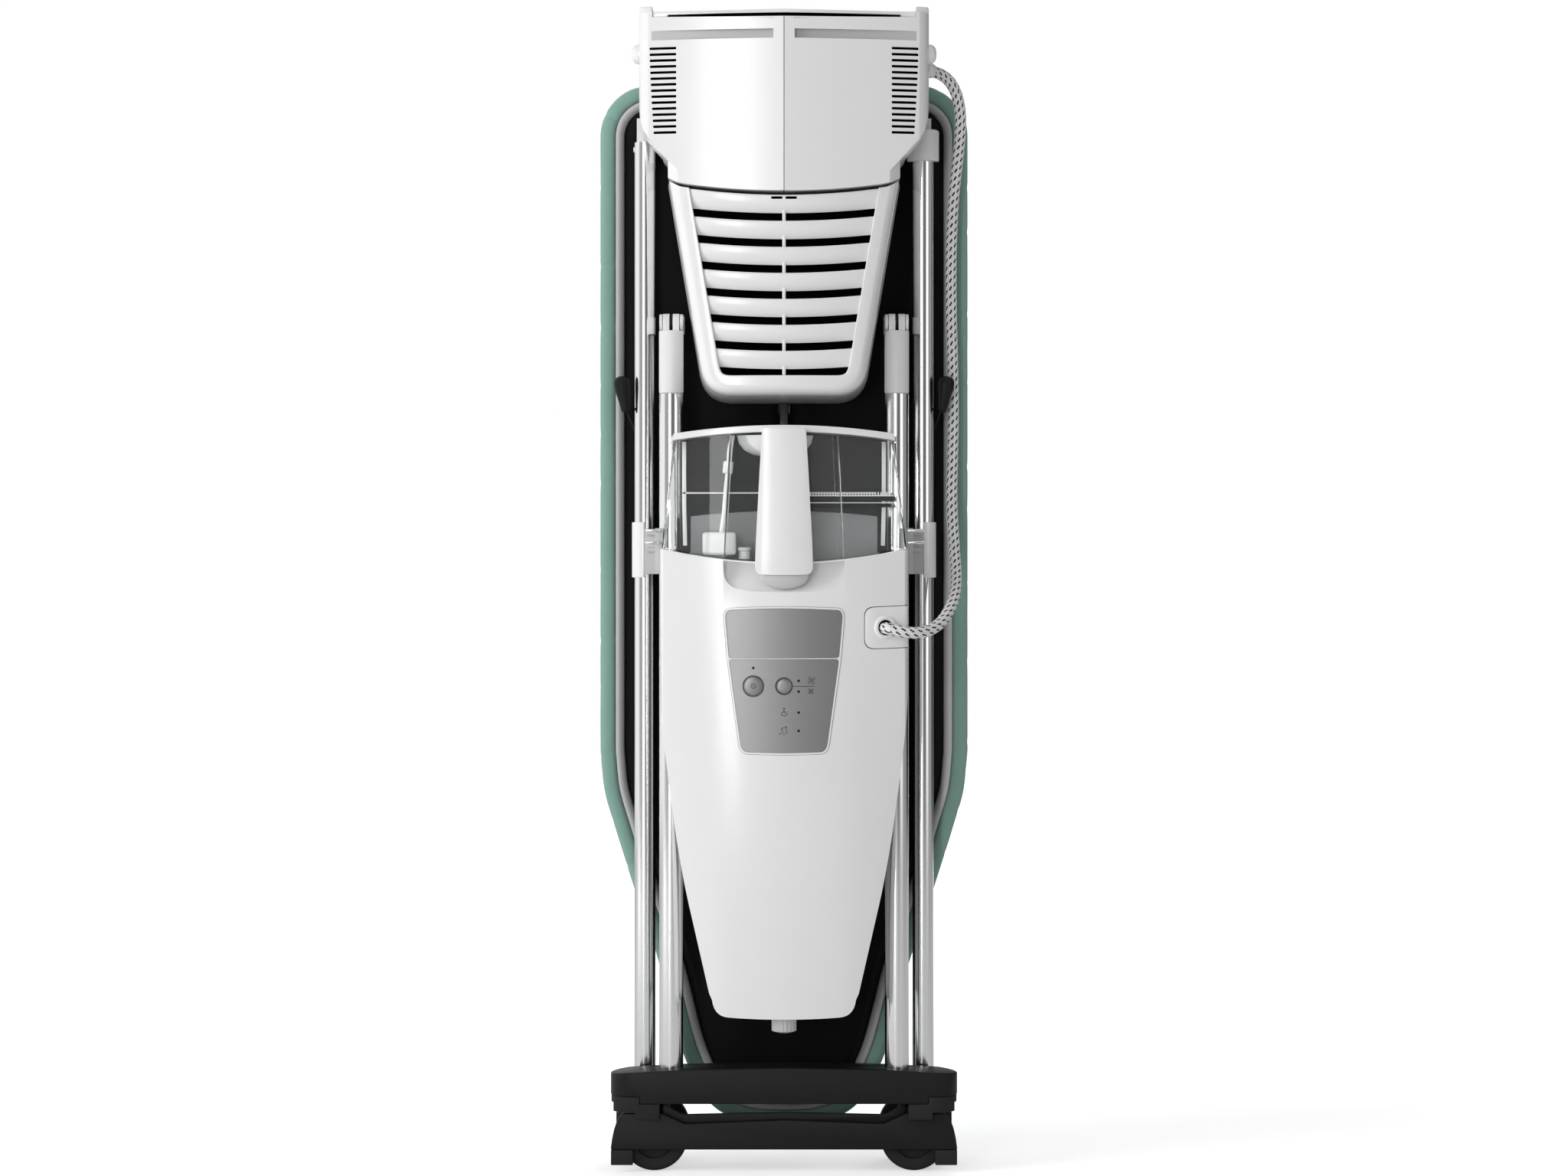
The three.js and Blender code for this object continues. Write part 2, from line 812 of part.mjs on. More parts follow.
function housingSolid(inset) {
  const bottom = boardTopZ - housingBottomDrop - housingSeamSag - overrun;
  const lowBack = panFrontY - gap + (inset > 0 ? overrun : 0);
  const highBack = backY - housingBackDepth - inset;
  const footZ = boardTopZ + housingFootGap + inset;
  const top = housingTopZ + overrun;
  const low = column(housingPlan(inset, lowBack), bottom, footZ + gap);
  const high = column(housingPlan(inset, highBack), footZ, top);
  const whole = join(low, high).intersect(plate(housingOutline(inset), housingFrontY - overrun, backY));
  const legRoom = block(
    legRoomX - inset,
    housingHalfWidth + overrun,
    legRoomY - inset,
    backY,
    bottom - overrun,
    outerPivotZ + legRoomRise + inset,
  );
  return cut(whole, legRoom, mirrorX(legRoom));
}

function ventCutters() {
  const firstZ = housingTopZ - ventDrop;
  const cutters = [];
  for (let i = 0; i < ventCount; i++) {
    const z = firstZ - i * ventPitch;
    cutters.push(
      block(
        ventFromCentre,
        ventFromCentre + ventWidth,
        housingFrontY,
        panFrontY - housingFrontDepth / 2,
        z - ventHeight / 2,
        z + ventHeight / 2,
      ),
    );
  }
  return cutters;
}

function rearShell() {
  const hollow = housingSolid(housingWall);
  let shell = cut(housingSolid(0), hollow);
  const capWidth = housingHalfWidth - capInset + gap;
  const capBottom = housingTopZ - capThickness - gap;
  const capRoom = block(
    -capWidth,
    capWidth,
    housingFrontY - overrun,
    backY,
    capBottom,
    housingTopZ + overrun,
  );
  const lugX = housingHalfWidth - lugWidth;
  const lug = block(
    lugX,
    housingHalfWidth - gap,
    housingFrontY + housingRidge,
    panFrontY,
    housingTopZ - capThickness,
    housingTopZ + lugHeight,
  );
  const gripZ = housingTopZ - gripDrop;
  const tilt = housingRidge / housingHalfWidth;
  const grip = column(
    polygon([
      [gripFromSeam, housingFrontY - overrun],
      [gripFromSeam + gripLength, housingFrontY - overrun],
      [gripFromSeam + gripLength, housingFrontY + tilt * (gripFromSeam + gripLength) - overrun],
      [gripFromSeam, housingFrontY + tilt * gripFromSeam + gripDepth],
    ]),
    gripZ - gripHeight / 2,
    gripZ + gripHeight / 2,
  );
  const knobZ = housingTopZ - knobDrop;
  const knobY = housingFrontY + housingRidge + knobFromFront / 2;
  const knob = rod(
    knobRadius,
    [housingHalfWidth - housingWall, knobY, knobZ],
    [housingHalfWidth + knobReach, knobY, knobZ],
    16,
    knobRadius * knobEndShare,
  );
  shell = cut(join(shell, lug, knob), capRoom, grip, ...ventCutters());
  const half = block(
    gap / 2,
    housingHalfWidth + knobReach + overrun,
    housingFrontY - overrun,
    backY,
    0,
    housingTopZ + lugHeight + overrun,
  );
  return shell.intersect(half);
}

function rearTopCap() {
  const half = housingHalfWidth - capInset;
  const low = housingTopZ - capThickness;
  const inset = housingWall;
  const shape = column(housingPlan(inset / 2, backY - housingBackDepth - inset), low, housingTopZ);
  return shape.intersect(block(-half, half, housingFrontY, backY, low, housingTopZ));
}

function ironRest() {
  const back = backY - housingBackDepth;
  const low = boardTopZ + housingFootGap + restMargin;
  const high = housingTopZ - capThickness - restMargin;
  const pad = [];
  const pitch = (high - low) / restRibs;
  pad.push(block(-restHalfWidth, restHalfWidth, back + gap, back + gap + restThickness, low, high));
  for (let i = 0; i < restRibs; i++) {
    const z = low + (i + 0.5) * pitch;
    const half = pitch / 6;
    const reach = restHalfWidth * restGrooveShare;
    const floor = back + gap + restThickness * restFloorShare;
    pad.push(block(-reach, reach, floor, backY, z - half, z + half));
  }
  return cut(pad[0], ...pad.slice(1));
}

// Gland on the right side of the housing that takes the hose
function hoseInlet() {
  const [tip, before] = [hoseRoute.at(-1), hoseRoute.at(-2)].map((point) => new THREE.Vector3(...point));
  const inward = tip.clone().sub(before).normalize();
  const mouth = tip.clone().addScaledVector(inward, gap);
  const root = mouth.clone().addScaledVector(inward, inletLength);
  const body = rod(inletRadius, root.toArray(), mouth.toArray(), 24, hoseRadius + nozzleLip);
  const x = housingHalfWidth + gap;
  return cut(body, block(0, x, housingFrontY, panFrontY, outerPivotZ, housingTopZ));
}

// Exhaust box
const exhaustTopZ = boardTopZ - housingBottomDrop - exhaustSeamGap;
const exhaustFrontY = panFrontY - exhaustFrontDepth;
const exhaustBottomZ = exhaustTopZ - exhaustHeight;

function exhaustHalfAt(z, inset) {
  const share = (z - exhaustBottomZ) / exhaustHeight;
  return exhaustBottomHalfWidth + (exhaustTopHalfWidth - exhaustBottomHalfWidth) * share - inset;
}

function exhaustOutline(inset, topInset) {
  const low = exhaustBottomZ + inset;
  const high = exhaustTopZ - topInset;
  const points = [];
  const bottomHalf = exhaustHalfAt(low, inset);
  const corner = Math.max(exhaustCorner - inset, exhaustCorner / 3);
  const bend = new THREE.QuadraticBezierCurve(
    new THREE.Vector2(bottomHalf - corner, low),
    new THREE.Vector2(bottomHalf, low),
    new THREE.Vector2(exhaustHalfAt(low + corner, inset), low + corner),
  );
  points.push([0, low - exhaustWall / 2]);
  bend.getPoints(4).forEach((p) => points.push([p.x, p.y]));
  const topHalf = exhaustHalfAt(high, inset);
  const seam = new THREE.QuadraticBezierCurve(
    new THREE.Vector2(topHalf, high),
    new THREE.Vector2(topHalf / 2, high - housingSeamSag),
    new THREE.Vector2(0, high - housingSeamSag),
  );
  seam.getPoints(5).forEach((p) => points.push([p.x, p.y]));
  points.at(-1)[0] = 0;
  return polygon(mirrored(points));
}

function exhaustPlan(inset, back) {
  const half = exhaustTopHalfWidth - inset;
  const round = exhaustEdgeRound;
  const front = exhaustFrontY + inset;
  const side = [];
  const bow = new THREE.QuadraticBezierCurve(
    new THREE.Vector2(0, front),
    new THREE.Vector2(half / 2, front),
    new THREE.Vector2(half - round, front + exhaustBow),
  );
  bow.getPoints(4).forEach((p) => side.push([p.x, p.y]));
  side.push([half - round / 4, front + exhaustBow + round / 3]);
  side.push([half, front + exhaustBow + round]);
  side.push([half, back]);
  side.push([0, back]);
  side[0][0] = 0;
  return polygon(mirrored(side));
}

// One gap between slats: a band that sags in the middle, on one side of the rib
function slatGapShape(index) {
  const top = exhaustTopZ - slatTopDrop - index * slatPitch;
  const bow = slatBowTop - index * slatBowStep;
  const outer = exhaustHalfAt(top, exhaustFrame);
  const inner = slatRib / 2;
  const shape = new THREE.Shape();
  shape.moveTo(inner, top - bow - slatGap);
  shape.quadraticCurveTo(outer / 2, top - bow - slatGap, outer - slatGap / 4, top - slatGap);
  shape.lineTo(outer, top);
  shape.quadraticCurveTo(outer / 2, top - bow, inner, top - bow);
  shape.closePath();
  return shape;
}

function exhaustGrille() {
  const back = panFrontY - gap;
  const topZ = exhaustTopZ + overrun;
  const shape = column(exhaustPlan(0, back), exhaustBottomZ - exhaustWall, topZ);
  const hollow = column(exhaustPlan(exhaustWall, back + overrun), exhaustBottomZ, topZ);
  const outside = plate(exhaustOutline(0, 0), exhaustFrontY - overrun, panFrontY);
  const inside = plate(
    exhaustOutline(exhaustWall, exhaustWall),
    exhaustFrontY - overrun,
    panFrontY + overrun,
  );
  const box = cut(shape.intersect(outside), hollow.intersect(inside));
  const gaps = [];
  const deep = exhaustFrontY + exhaustBow + exhaustWall * 2;
  for (let i = 0; i < slatCount; i++) {
    const one = plate(slatGapShape(i), exhaustFrontY - overrun, deep, 4);
    gaps.push(one, mirrorX(one));
  }
  const slotZ = exhaustTopZ - housingSeamSag - smallSlotDrop;
  const slot = block(
    slatRib / 2,
    slatRib / 2 + smallSlotWidth,
    exhaustFrontY - overrun,
    deep,
    slotZ - smallSlotHeight,
    slotZ,
  );
  gaps.push(slot, mirrorX(slot));
  return cut(box, ...gaps);
}

// Fan: spiral casing on the pan, impeller inside it, motor in front
const fanZ = exhaustTopZ - fanDrop;
const voluteBackY = panFrontY - gap;
const voluteFrontY = voluteBackY - voluteDepth;

function fanVolute() {
  const body = rod(voluteRadius, [0, voluteFrontY, fanZ], [0, voluteBackY, fanZ], 24);
  const roomFront = voluteFrontY + voluteWall;
  const roomBack = voluteBackY - voluteWall;
  const room = rod(voluteRadius - voluteWall, [0, roomFront, fanZ], [0, roomBack, fanZ], 24);
  const eye = rod(
    eyeRadius,
    [0, voluteBackY - voluteWall - overrun, fanZ],
    [0, voluteBackY + overrun, fanZ],
    24,
  );
  const shaftHole = rod(
    shaftRadius + runningGap / 2,
    [0, voluteFrontY - overrun, fanZ],
    [0, voluteFrontY + voluteWall + overrun, fanZ],
    16,
  );
  const spoutTop = fanZ + voluteRadius + voluteWall;
  const spout = block(0, voluteRadius, voluteFrontY, voluteBackY, fanZ, spoutTop);
  const spoutRoom = block(
    voluteRadius / 3,
    voluteRadius - voluteWall,
    voluteFrontY + voluteWall,
    voluteBackY - voluteWall,
    fanZ,
    spoutTop + overrun,
  );
  return cut(join(body, spout), room, eye, shaftHole, spoutRoom);
}

function fanImpeller() {
  const back = voluteBackY - voluteWall - runningGap;
  const front = back - impellerDepth;
  const plateBody = rod(impellerRadius, [0, front, fanZ], [0, front + impellerPlate, fanZ], 24);
  const hub = rod(impellerHub, [0, front, fanZ], [0, back - impellerDepth / 3, fanZ], 16);
  const shaftEnd = voluteFrontY - motorLength / 5;
  const shaft = rod(shaftRadius, [0, shaftEnd, fanZ], [0, front + impellerPlate, fanZ], 12);
  let wheel = join(plateBody, hub, shaft);
  for (let i = 0; i < bladeCount; i++) {
    const blade = block(
      -bladeThickness / 2,
      bladeThickness / 2,
      front + impellerPlate / 2,
      back,
      impellerRadius * bladeRootShare,
      impellerRadius - gap,
    );
    const leaned = blade.rotate([0, (360 * i) / bladeCount, 0]).translate([0, 0, fanZ]);
    wheel = wheel.add(leaned);
  }
  return wheel;
}

function fanMotor() {
  const back = voluteFrontY - gap;
  const front = back - motorLength;
  const can = rod(motorRadius, [0, front, fanZ], [0, back, fanZ], 24);
  const well = rod(
    shaftRadius + shaftFit,
    [0, back - motorLength / 4, fanZ],
    [0, back + overrun, fanZ],
    12,
  );
  return cut(can, well);
}

// Pivot of an outer leg: a block on the pan with a tongue that stands in the slotted top of the tube
function outerHinge() {
  const x = outerLegX;
  const back = panFrontY - gap;
  const base = block(
    x - outerHingeWidth / 2,
    x + outerHingeWidth / 2,
    back - outerHingeThickness,
    back,
    outerPivotZ + outerHingeClear,
    outerPivotZ + outerHingeRise,
  );
  const arm = block(
    x - tongueThickness / 2,
    x + tongueThickness / 2,
    outerLegY + tongueRadius / 2,
    back,
    outerPivotZ - tongueRadius,
    outerPivotZ + outerHingeClear * 2,
  );
  const ends = [x - tongueThickness / 2, x + tongueThickness / 2];
  const eye = rod(tongueRadius, [ends[0], outerLegY, outerPivotZ], [ends[1], outerLegY, outerPivotZ], 20);
  const reach = outerLegRadius + pinHead;
  const pin = rod(pinRadius, [x - reach, outerLegY, outerPivotZ], [x + reach, outerLegY, outerPivotZ], 16);
  return join(base, arm, eye, pin);
}

function outerLeg() {
  const x = outerLegX;
  const top = outerPivotZ + outerLegTop;
  const slotHalf = tongueThickness / 2 + gap;
  const slot = block(
    x - slotHalf,
    x + slotHalf,
    outerLegY - tongueRadius - gap,
    outerLegY + outerLegRadius * 2,
    outerPivotZ - tongueSlotDepth,
    top + overrun,
  );
  const reach = outerLegRadius * 2;
  const bore = rod(
    pinRadius + pinFit,
    [x - reach, outerLegY, outerPivotZ],
    [x + reach, outerLegY, outerPivotZ],
    12,
  );
  return cut(
    tube(outerLegRadius, tubeWall, [x, outerLegY, legSeatZ + gap], [x, outerLegY, top]),
    slot,
    bore,
  );
}

// Half cap over the front of the right leg's top
function legTopCap() {
  const x = outerLegX;
  const low = outerPivotZ - legCapBelow;
  const high = outerPivotZ + legCapAbove;
  const body = rod(legCapRadius, [x, outerLegY, low], [x, outerLegY, high], 28);
  const room = rod(outerLegRadius + gap, [x, outerLegY, low - overrun], [x, outerLegY, high + overrun], 24);
  const pinEnd = outerLegRadius + pinHead + gap;
  const pinRoom = rod(
    pinRadius + gap,
    [x - pinEnd, outerLegY, outerPivotZ],
    [x + pinEnd, outerLegY, outerPivotZ],
    12,
  );
  const back = block(
    x - legCapRadius - overrun,
    x + legCapRadius + overrun,
    outerLegY,
    outerLegY + legCapRadius + overrun,
    low - overrun,
    high + overrun,
  );
  return cut(body, room, pinRoom, back);
}

// Pivot of an inner leg: two cheeks on the pan, and a forked sleeve on the tube between them
function innerHinge() {
  const x = innerLegX;
  const back = panFrontY - gap;
  const inner = tineSlot / 2 + tineThickness + gap;
  const outer = inner + cheekThickness;
  const base = block(
    x - outer - gap,
    x + outer + gap,
    back - hingeBaseThickness,
    back,
    innerPivotZ - cheekRadius,
    innerPivotZ - cheekRadius + hingeBaseHeight,
  );
  const middle = tineSlot / 2 - gap;
  const pieces = [];
  for (const [x0, x1] of [
    [x - outer, x - inner],
    [x - middle, x + middle],
    [x + inner, x + outer],
  ]) {
    pieces.push(block(x0, x1, innerLegY, back, innerPivotZ - cheekRadius, innerPivotZ + cheekRadius));
    pieces.push(rod(cheekRadius, [x0, innerLegY, innerPivotZ], [x1, innerLegY, innerPivotZ], 12));
  }
  const pin = rod(pinRadius, [x - outer, innerLegY, innerPivotZ], [x + outer, innerLegY, innerPivotZ], 16);
  return join(base, ...pieces, pin);
}

const sleeveTopZ = innerPivotZ - sleeveDrop;
const sleeveBottomZ = sleeveTopZ - sleeveLength;
const spigotRadius = innerLegRadius - tubeWall - gap;

function legSleeve() {
  const x = innerLegX;
  const body = rod(sleeveRadius, [x, innerLegY, sleeveBottomZ], [x, innerLegY, sleeveTopZ], 24);
  const spigotEnd = sleeveBottomZ - spigotLength;
  const spigot = rod(spigotRadius, [x, innerLegY, spigotEnd], [x, innerLegY, sleeveBottomZ + overrun], 12);
  const tines = [];
  for (const side of [-1, 1]) {
    const near = (side * tineSlot) / 2;
    const far = side * (tineSlot / 2 + tineThickness);
    const x0 = x + Math.min(near, far);
    const x1 = x + Math.max(near, far);
    tines.push(block(
      x0,
      x1,
      innerLegY - tineRadius,
      innerLegY + tineRadius,
      sleeveTopZ - gap,
      innerPivotZ,
    ));
    tines.push(rod(tineRadius, [x0, innerLegY, innerPivotZ], [x1, innerLegY, innerPivotZ], 12));
  }
  const reach = sleeveRadius + overrun;
  const bore = rod(
    pinRadius + pinFit,
    [x - reach, innerLegY, innerPivotZ],
    [x + reach, innerLegY, innerPivotZ],
    16,
  );
  return cut(join(body, spigot, ...tines), bore);
}

function innerLeg() {
  const top = sleeveBottomZ - gap;
  const low = barBottomZ + barHeight - socketDepth + gap;
  return tube(innerLegRadius, tubeWall, [innerLegX, innerLegY, low], [innerLegX, innerLegY, top]);
}

// Wheels, rolling about Y
const wheelFrontY = beamFrontY + faceThickness + wheelSideGap;
const podFrontY = wheelFrontY + wheelWidth + wheelSideGap;
const podBackY = outerLegY + podBehindLeg;
const rearWheelY = podBackY + wheelSideGap;
const axleZ = wheelRadius;
const legSeatZ = axleZ + axleRadius + legSeatWall;

function wheel(front) {
  const back = front + wheelWidth;
  const tyre = rod(
    wheelRadius,
    [wheelX, front, axleZ],
    [wheelX, back, axleZ],
    wheelSides,
    wheelRadius,
    true,
  );
  const bore = rod(
    axleRadius + axleFit,
    [wheelX, front - overrun, axleZ],
    [wheelX, back + overrun, axleZ],
    16,
  );
  const dishes = [];
  for (const [from, to] of [
    [front - overrun, front + wheelDish],
    [back - wheelDish, back + overrun],
  ]) {
    const wide = rod(wheelHubRadius, [wheelX, from, axleZ], [wheelX, to, axleZ], 16);
    const boss = rod(axleRadius * 2, [wheelX, from - overrun, axleZ], [wheelX, to + overrun, axleZ], 12);
    dishes.push(wide.subtract(boss));
  }
  return cut(tyre, bore, ...dishes);
}

// Front beam of the wheeled foot: a cross beam with a face plate that hoods the front wheels
function wheelBeam() {
  const top = beamBottomZ + beamHeight;
  const hood = top + faceShoulder;
  const end = new THREE.QuadraticBezierCurve(
    new THREE.Vector2(faceHalfWidth, beamBottomZ),
    new THREE.Vector2(faceHalfWidth - faceEndLean / 4, hood - faceShoulder),
    new THREE.Vector2(faceHalfWidth - faceEndLean, hood),
  );
  const side = [[0, beamBottomZ]];
  end.getPoints(5).forEach((p) => side.push([p.x, p.y]));
  side.push([hoodInnerX, hood]);
  side.push([hoodInnerX - hoodSlope, top - hoodDip]);
  side.push([0, top]);
  const face = plate(polygon(mirrored(side)), beamFrontY, beamFrontY + faceThickness);
  const beamTop = top - hoodDip;
  const beam = block(
    -beamHalfWidth,
    beamHalfWidth,
    beamFrontY,
    beamFrontY + beamDepth,
    beamBottomZ,
    beamTop,
  );
  return join(face, beam);
}

// Side block that holds an outer leg and the two wheels of its side
function wheelPod() {
  const low = podBottomZ;
  const high = podBottomZ + podHeight;
  const body = block(podInnerX, podOuterX, podFrontY, podBackY, low, high);
  const armBack = podFrontY + beamDepth / 3;
  const armHigh = beamBottomZ + beamHeight / 2;
  const arm = block(beamHalfWidth + gap, podInnerX + gap, podFrontY, armBack, beamBottomZ, armHigh);
  const socket = rod(
    outerLegRadius + gap,
    [outerLegX, outerLegY, legSeatZ],
    [outerLegX, outerLegY, high + overrun],
    24,
    outerLegRadius + gap,
    true,
  );
  const reach = wheelSideGap + wheelWidth + wheelSideGap / 2;
  const front = podFrontY - reach;
  const back = podBackY + reach;
  const axle = rod(axleRadius, [wheelX, front, axleZ], [wheelX, back, axleZ], 16);
  const cap = rod(
    axleRadius * axleCapShare,
    [wheelX, back, axleZ],
    [wheelX, back + wheelSideGap, axleZ],
    16,
  );
  return join(cut(join(body, arm), socket), axle, cap);
}

function rubberFoot() {
  const top = beamBottomZ - gap;
  const outer = faceHalfWidth - gap;
  return block(
    outer - footBlockWidth,
    outer,
    beamFrontY,
    beamFrontY + footBlockThickness,
    top - footBlockHeight,
    top,
  );
}

// Foot bar at the end of the inner legs
function footBar() {
  const top = barBottomZ + barHeight;
  const side = [
    [0, barBottomZ],
    [barHalfWidth - barEndStepWidth, barBottomZ],
    [barHalfWidth - barEndStepWidth, barBottomZ + barEndStep],
    [barHalfWidth, barBottomZ + barEndStep],
    [barHalfWidth, top - barDroop],
    ...barDroopShares.map(([widthShare, dropShare]) => [
      barHalfWidth * widthShare,
      top - barDroop * dropShare,
    ]),
    [0, top],
  ];
  const front = barCentreY - barDepth / 2;
  const body = plate(polygon(mirrored(side)), front, front + barDepth);
  const end = barHalfWidth - barDepth / 2;
  const round = new THREE.Shape();
  round.absarc(end, barCentreY, barDepth / 2, -Math.PI / 2, Math.PI / 2, false);
  round.absarc(-end, barCentreY, barDepth / 2, Math.PI / 2, (Math.PI * 3) / 2, false);
  const trimmed = body.intersect(column(round, 0, top + overrun, 10));
  const socket = rod(
    innerLegRadius + gap,
    [innerLegX, innerLegY, top - socketDepth],
    [innerLegX, innerLegY, top + overrun],
    24,
  );
  return cut(trimmed, socket, mirrorX(socket));
}

// Rubber end pad of the foot bar, with the stud that meets the floor when the table stands open
function footPad() {
  const step = barBottomZ + barEndStep - gap;
  const inner = barHalfWidth - barEndStepWidth + gap;
  const front = barCentreY - barDepth / 2;
  const half = barDepth / 2 - padInset;
  const outer = barHalfWidth - padInset;
  const round = new THREE.Shape();
  round.moveTo(inner, barCentreY - half);
  round.lineTo(outer - half, barCentreY - half);
  round.absarc(outer - half, barCentreY, half, -Math.PI / 2, Math.PI / 2, false);
  round.lineTo(inner, barCentreY + half);
  round.closePath();
  const skirtZ = barBottomZ - padDrop;
  const skirtBack = wheelFrontY - wheelSideGap;
  const wheelRoom = block(
    inner - overrun,
    outer + overrun,
    skirtBack,
    barCentreY + barDepth,
    skirtZ - overrun,
    barBottomZ - gap,
  );
  const shoe = cut(column(round, skirtZ, step, 6), wheelRoom);
  const studInner = inner + studOverlap - studWidth;
  const studTop = barBottomZ - gap;
  const studFront = front + padInset;
  const studBack = beamFrontY - gap;
  const stud = block(studInner, inner + studOverlap, studFront, studBack, barBottomZ - studDrop, studTop);
  return join(shoe, stud);
}

// Front outline of the generator body; inset shrinks it for the hollow
function bodyHalfAt(z) {
  const height = bodyTopZ - bodyBottomZ;
  const heights = [bodyWideShare, ...bodyHeightShares].map((share) => bodyBottomZ + share * height);
  const halves = [1, ...bodyWidthShares].map((share) => share * bodyHalfWidth);
  heights.push(bodyBottomZ);
  halves.push(bodyBottomHalfWidth - bodyCorner / 4);
  if (z >= heights[0]) return bodyHalfWidth;
  const i = heights.findIndex((h) => z >= h);
  const k = i < 0 ? heights.length - 1 : i;
  const share = (z - heights[k]) / (heights[k - 1] - heights[k]);
  return halves[k] + (halves[k - 1] - halves[k]) * share;
}

function bodyOutline(inset, limit = bodyHalfWidth, topInset = inset) {
  const low = bodyBottomZ + inset;
  const points = [[0, low]];
  const corner = bodyCorner;
  const halfLow = bodyHalfAt(low + corner) - inset;
  const bend = new THREE.QuadraticBezierCurve(
    new THREE.Vector2(bodyHalfAt(low) - inset - corner, low),
    new THREE.Vector2(bodyHalfAt(low) - inset, low),
    new THREE.Vector2(halfLow, low + corner),
  );
  bend.getPoints(5).forEach((p) => points.push([Math.min(p.x, limit), p.y]));
  const height = bodyTopZ - bodyBottomZ;
  for (const share of [...bodyHeightShares].reverse()) {
    const z = bodyBottomZ + share * height;
    points.push([Math.min(bodyHalfAt(z) - inset, limit), z]);
  }
  points.push([Math.min(bodyHalfWidth - inset, limit), bodyBottomZ + bodyWideShare * height]);
  const topHalf = Math.min(bodyHalfWidth - inset, limit);
  const rim = new THREE.QuadraticBezierCurve(
    new THREE.Vector2(topHalf, bodyTopZ - topInset),
    new THREE.Vector2(topHalf / 2, bodyTopZ - bodyTopSag - topInset),
    new THREE.Vector2(0, bodyTopZ - bodyTopSag - topInset),
  );
  rim.getPoints(6).forEach((p) => points.push([p.x, p.y]));
  points.at(-1)[0] = 0;
  return polygon(mirrored(points));
}

// Plan of the generator: flat in the middle, a facet to each side, rounded into the side walls
const facetHalfWidth = bodyHalfWidth - bodySideRound / 2;

function bodyPlan(inset, back, half = bodyHalfWidth, front = bodyFrontY) {
  const edgeY = front + bodyFacetDrop;
  const side = [
    [0, front + inset],
    [bodyFlatHalfWidth, front + inset],
    [half - bodySideRound / 2 - inset / 2, edgeY + inset],
    [half - inset, edgeY + bodySideRound + inset],
    [half - inset, back],
    [0, back],
  ];
  return polygon(mirrored(side));
}

// Height of the facet over its slope, used to lay the hose port on it
const facetAngle = Math.atan2(bodyFacetDrop, facetHalfWidth - bodyFlatHalfWidth);
const facetNormal = [Math.sin(facetAngle), -Math.cos(facetAngle), 0];

function facetPoint(x, z, out) {
  const y = bodyFrontY + (x - bodyFlatHalfWidth) * Math.tan(facetAngle);
  return [x + facetNormal[0] * out, y + facetNormal[1] * out, z];
}

// Outline of a control panel between two heights
function panelShape(topHalf, bottomHalf, top, bottom, grow, roundTop) {
  const corner = panelCorner + grow;
  const shape = new THREE.Shape();
  shape.moveTo(-bottomHalf - grow, bottom - grow);
  shape.lineTo(bottomHalf + grow, bottom - grow);
  if (roundTop) {
    shape.lineTo(topHalf + grow, top - corner);
    shape.quadraticCurveTo(topHalf + grow, top + grow, topHalf - corner, top + grow);
    shape.lineTo(-topHalf + corner, top + grow);
    shape.quadraticCurveTo(-topHalf - grow, top + grow, -topHalf - grow, top - corner);
  } else {
    shape.lineTo(topHalf + grow, top + grow);
    shape.lineTo(-topHalf - grow, top + grow);
  }
  shape.closePath();
  return shape;
}
const panelSplitZ = panelTopZ - panelUpperHeight;
const lowerTopZ = panelSplitZ - panelSplit;
const lowerBottomZ = lowerTopZ - panelLowerHeight;
const buttonZ = panelTopZ - buttonRowDrop;

function upperPanel(grow, y0, y1) {
  return plate(panelShape(panelUpperTop, panelUpperBottom, panelTopZ, panelSplitZ, grow, true), y0, y1, 5);
}

function lowerPanel(grow, y0, y1) {
  return plate(
    panelShape(panelUpperBottom, panelLowerBottom, lowerTopZ, lowerBottomZ, grow, false),
    y0,
    y1,
    5,
  );
}

// Finger recess under the tank, or with a wall the material round it
function scoop(wall) {
  const hollow = new THREE.SphereGeometry(1, 20, 12);
  hollow.scale(scoopHalfWidth + wall, scoopDepth + wall, scoopHalfHeight + wall);
  hollow.translate(0, bodyFrontY, bodyTopZ - scoopDrop);
  return solid(hollow);
}

function generatorFront() {
  const low = bodyBottomZ - overrun;
  const high = bodyTopZ + overrun;
  const front = plate(bodyOutline(0), bodyFrontY - overrun, bodyBackY);
  const outside = column(bodyPlan(0, bodyBackY), low, high).intersect(front);
  const inside = column(bodyPlan(bodyWall, bodyBackY + overrun), low, high).intersect(
    plate(bodyOutline(bodyWall), bodyFrontY - overrun, bodyBackY + overrun),
  );
  const shell = cut(outside, inside);
  const scoopWall = scoop(bodyWall).intersect(outside);
  const openings = [
    upperPanel(gap, bodyFrontY - overrun, bodyFrontY + bodyWall + overrun),
    lowerPanel(gap, bodyFrontY - overrun, bodyFrontY + bodyWall + overrun),
  ];
  const plugHole = rod(
    plugNeckRadius + gap,
    [0, plugY, bodyBottomZ - overrun],
    [0, plugY, bodyBottomZ + bodyWall + overrun],
    20,
  );
  return cut(join(shell, scoopWall), scoop(0), ...openings, plugHole);
}

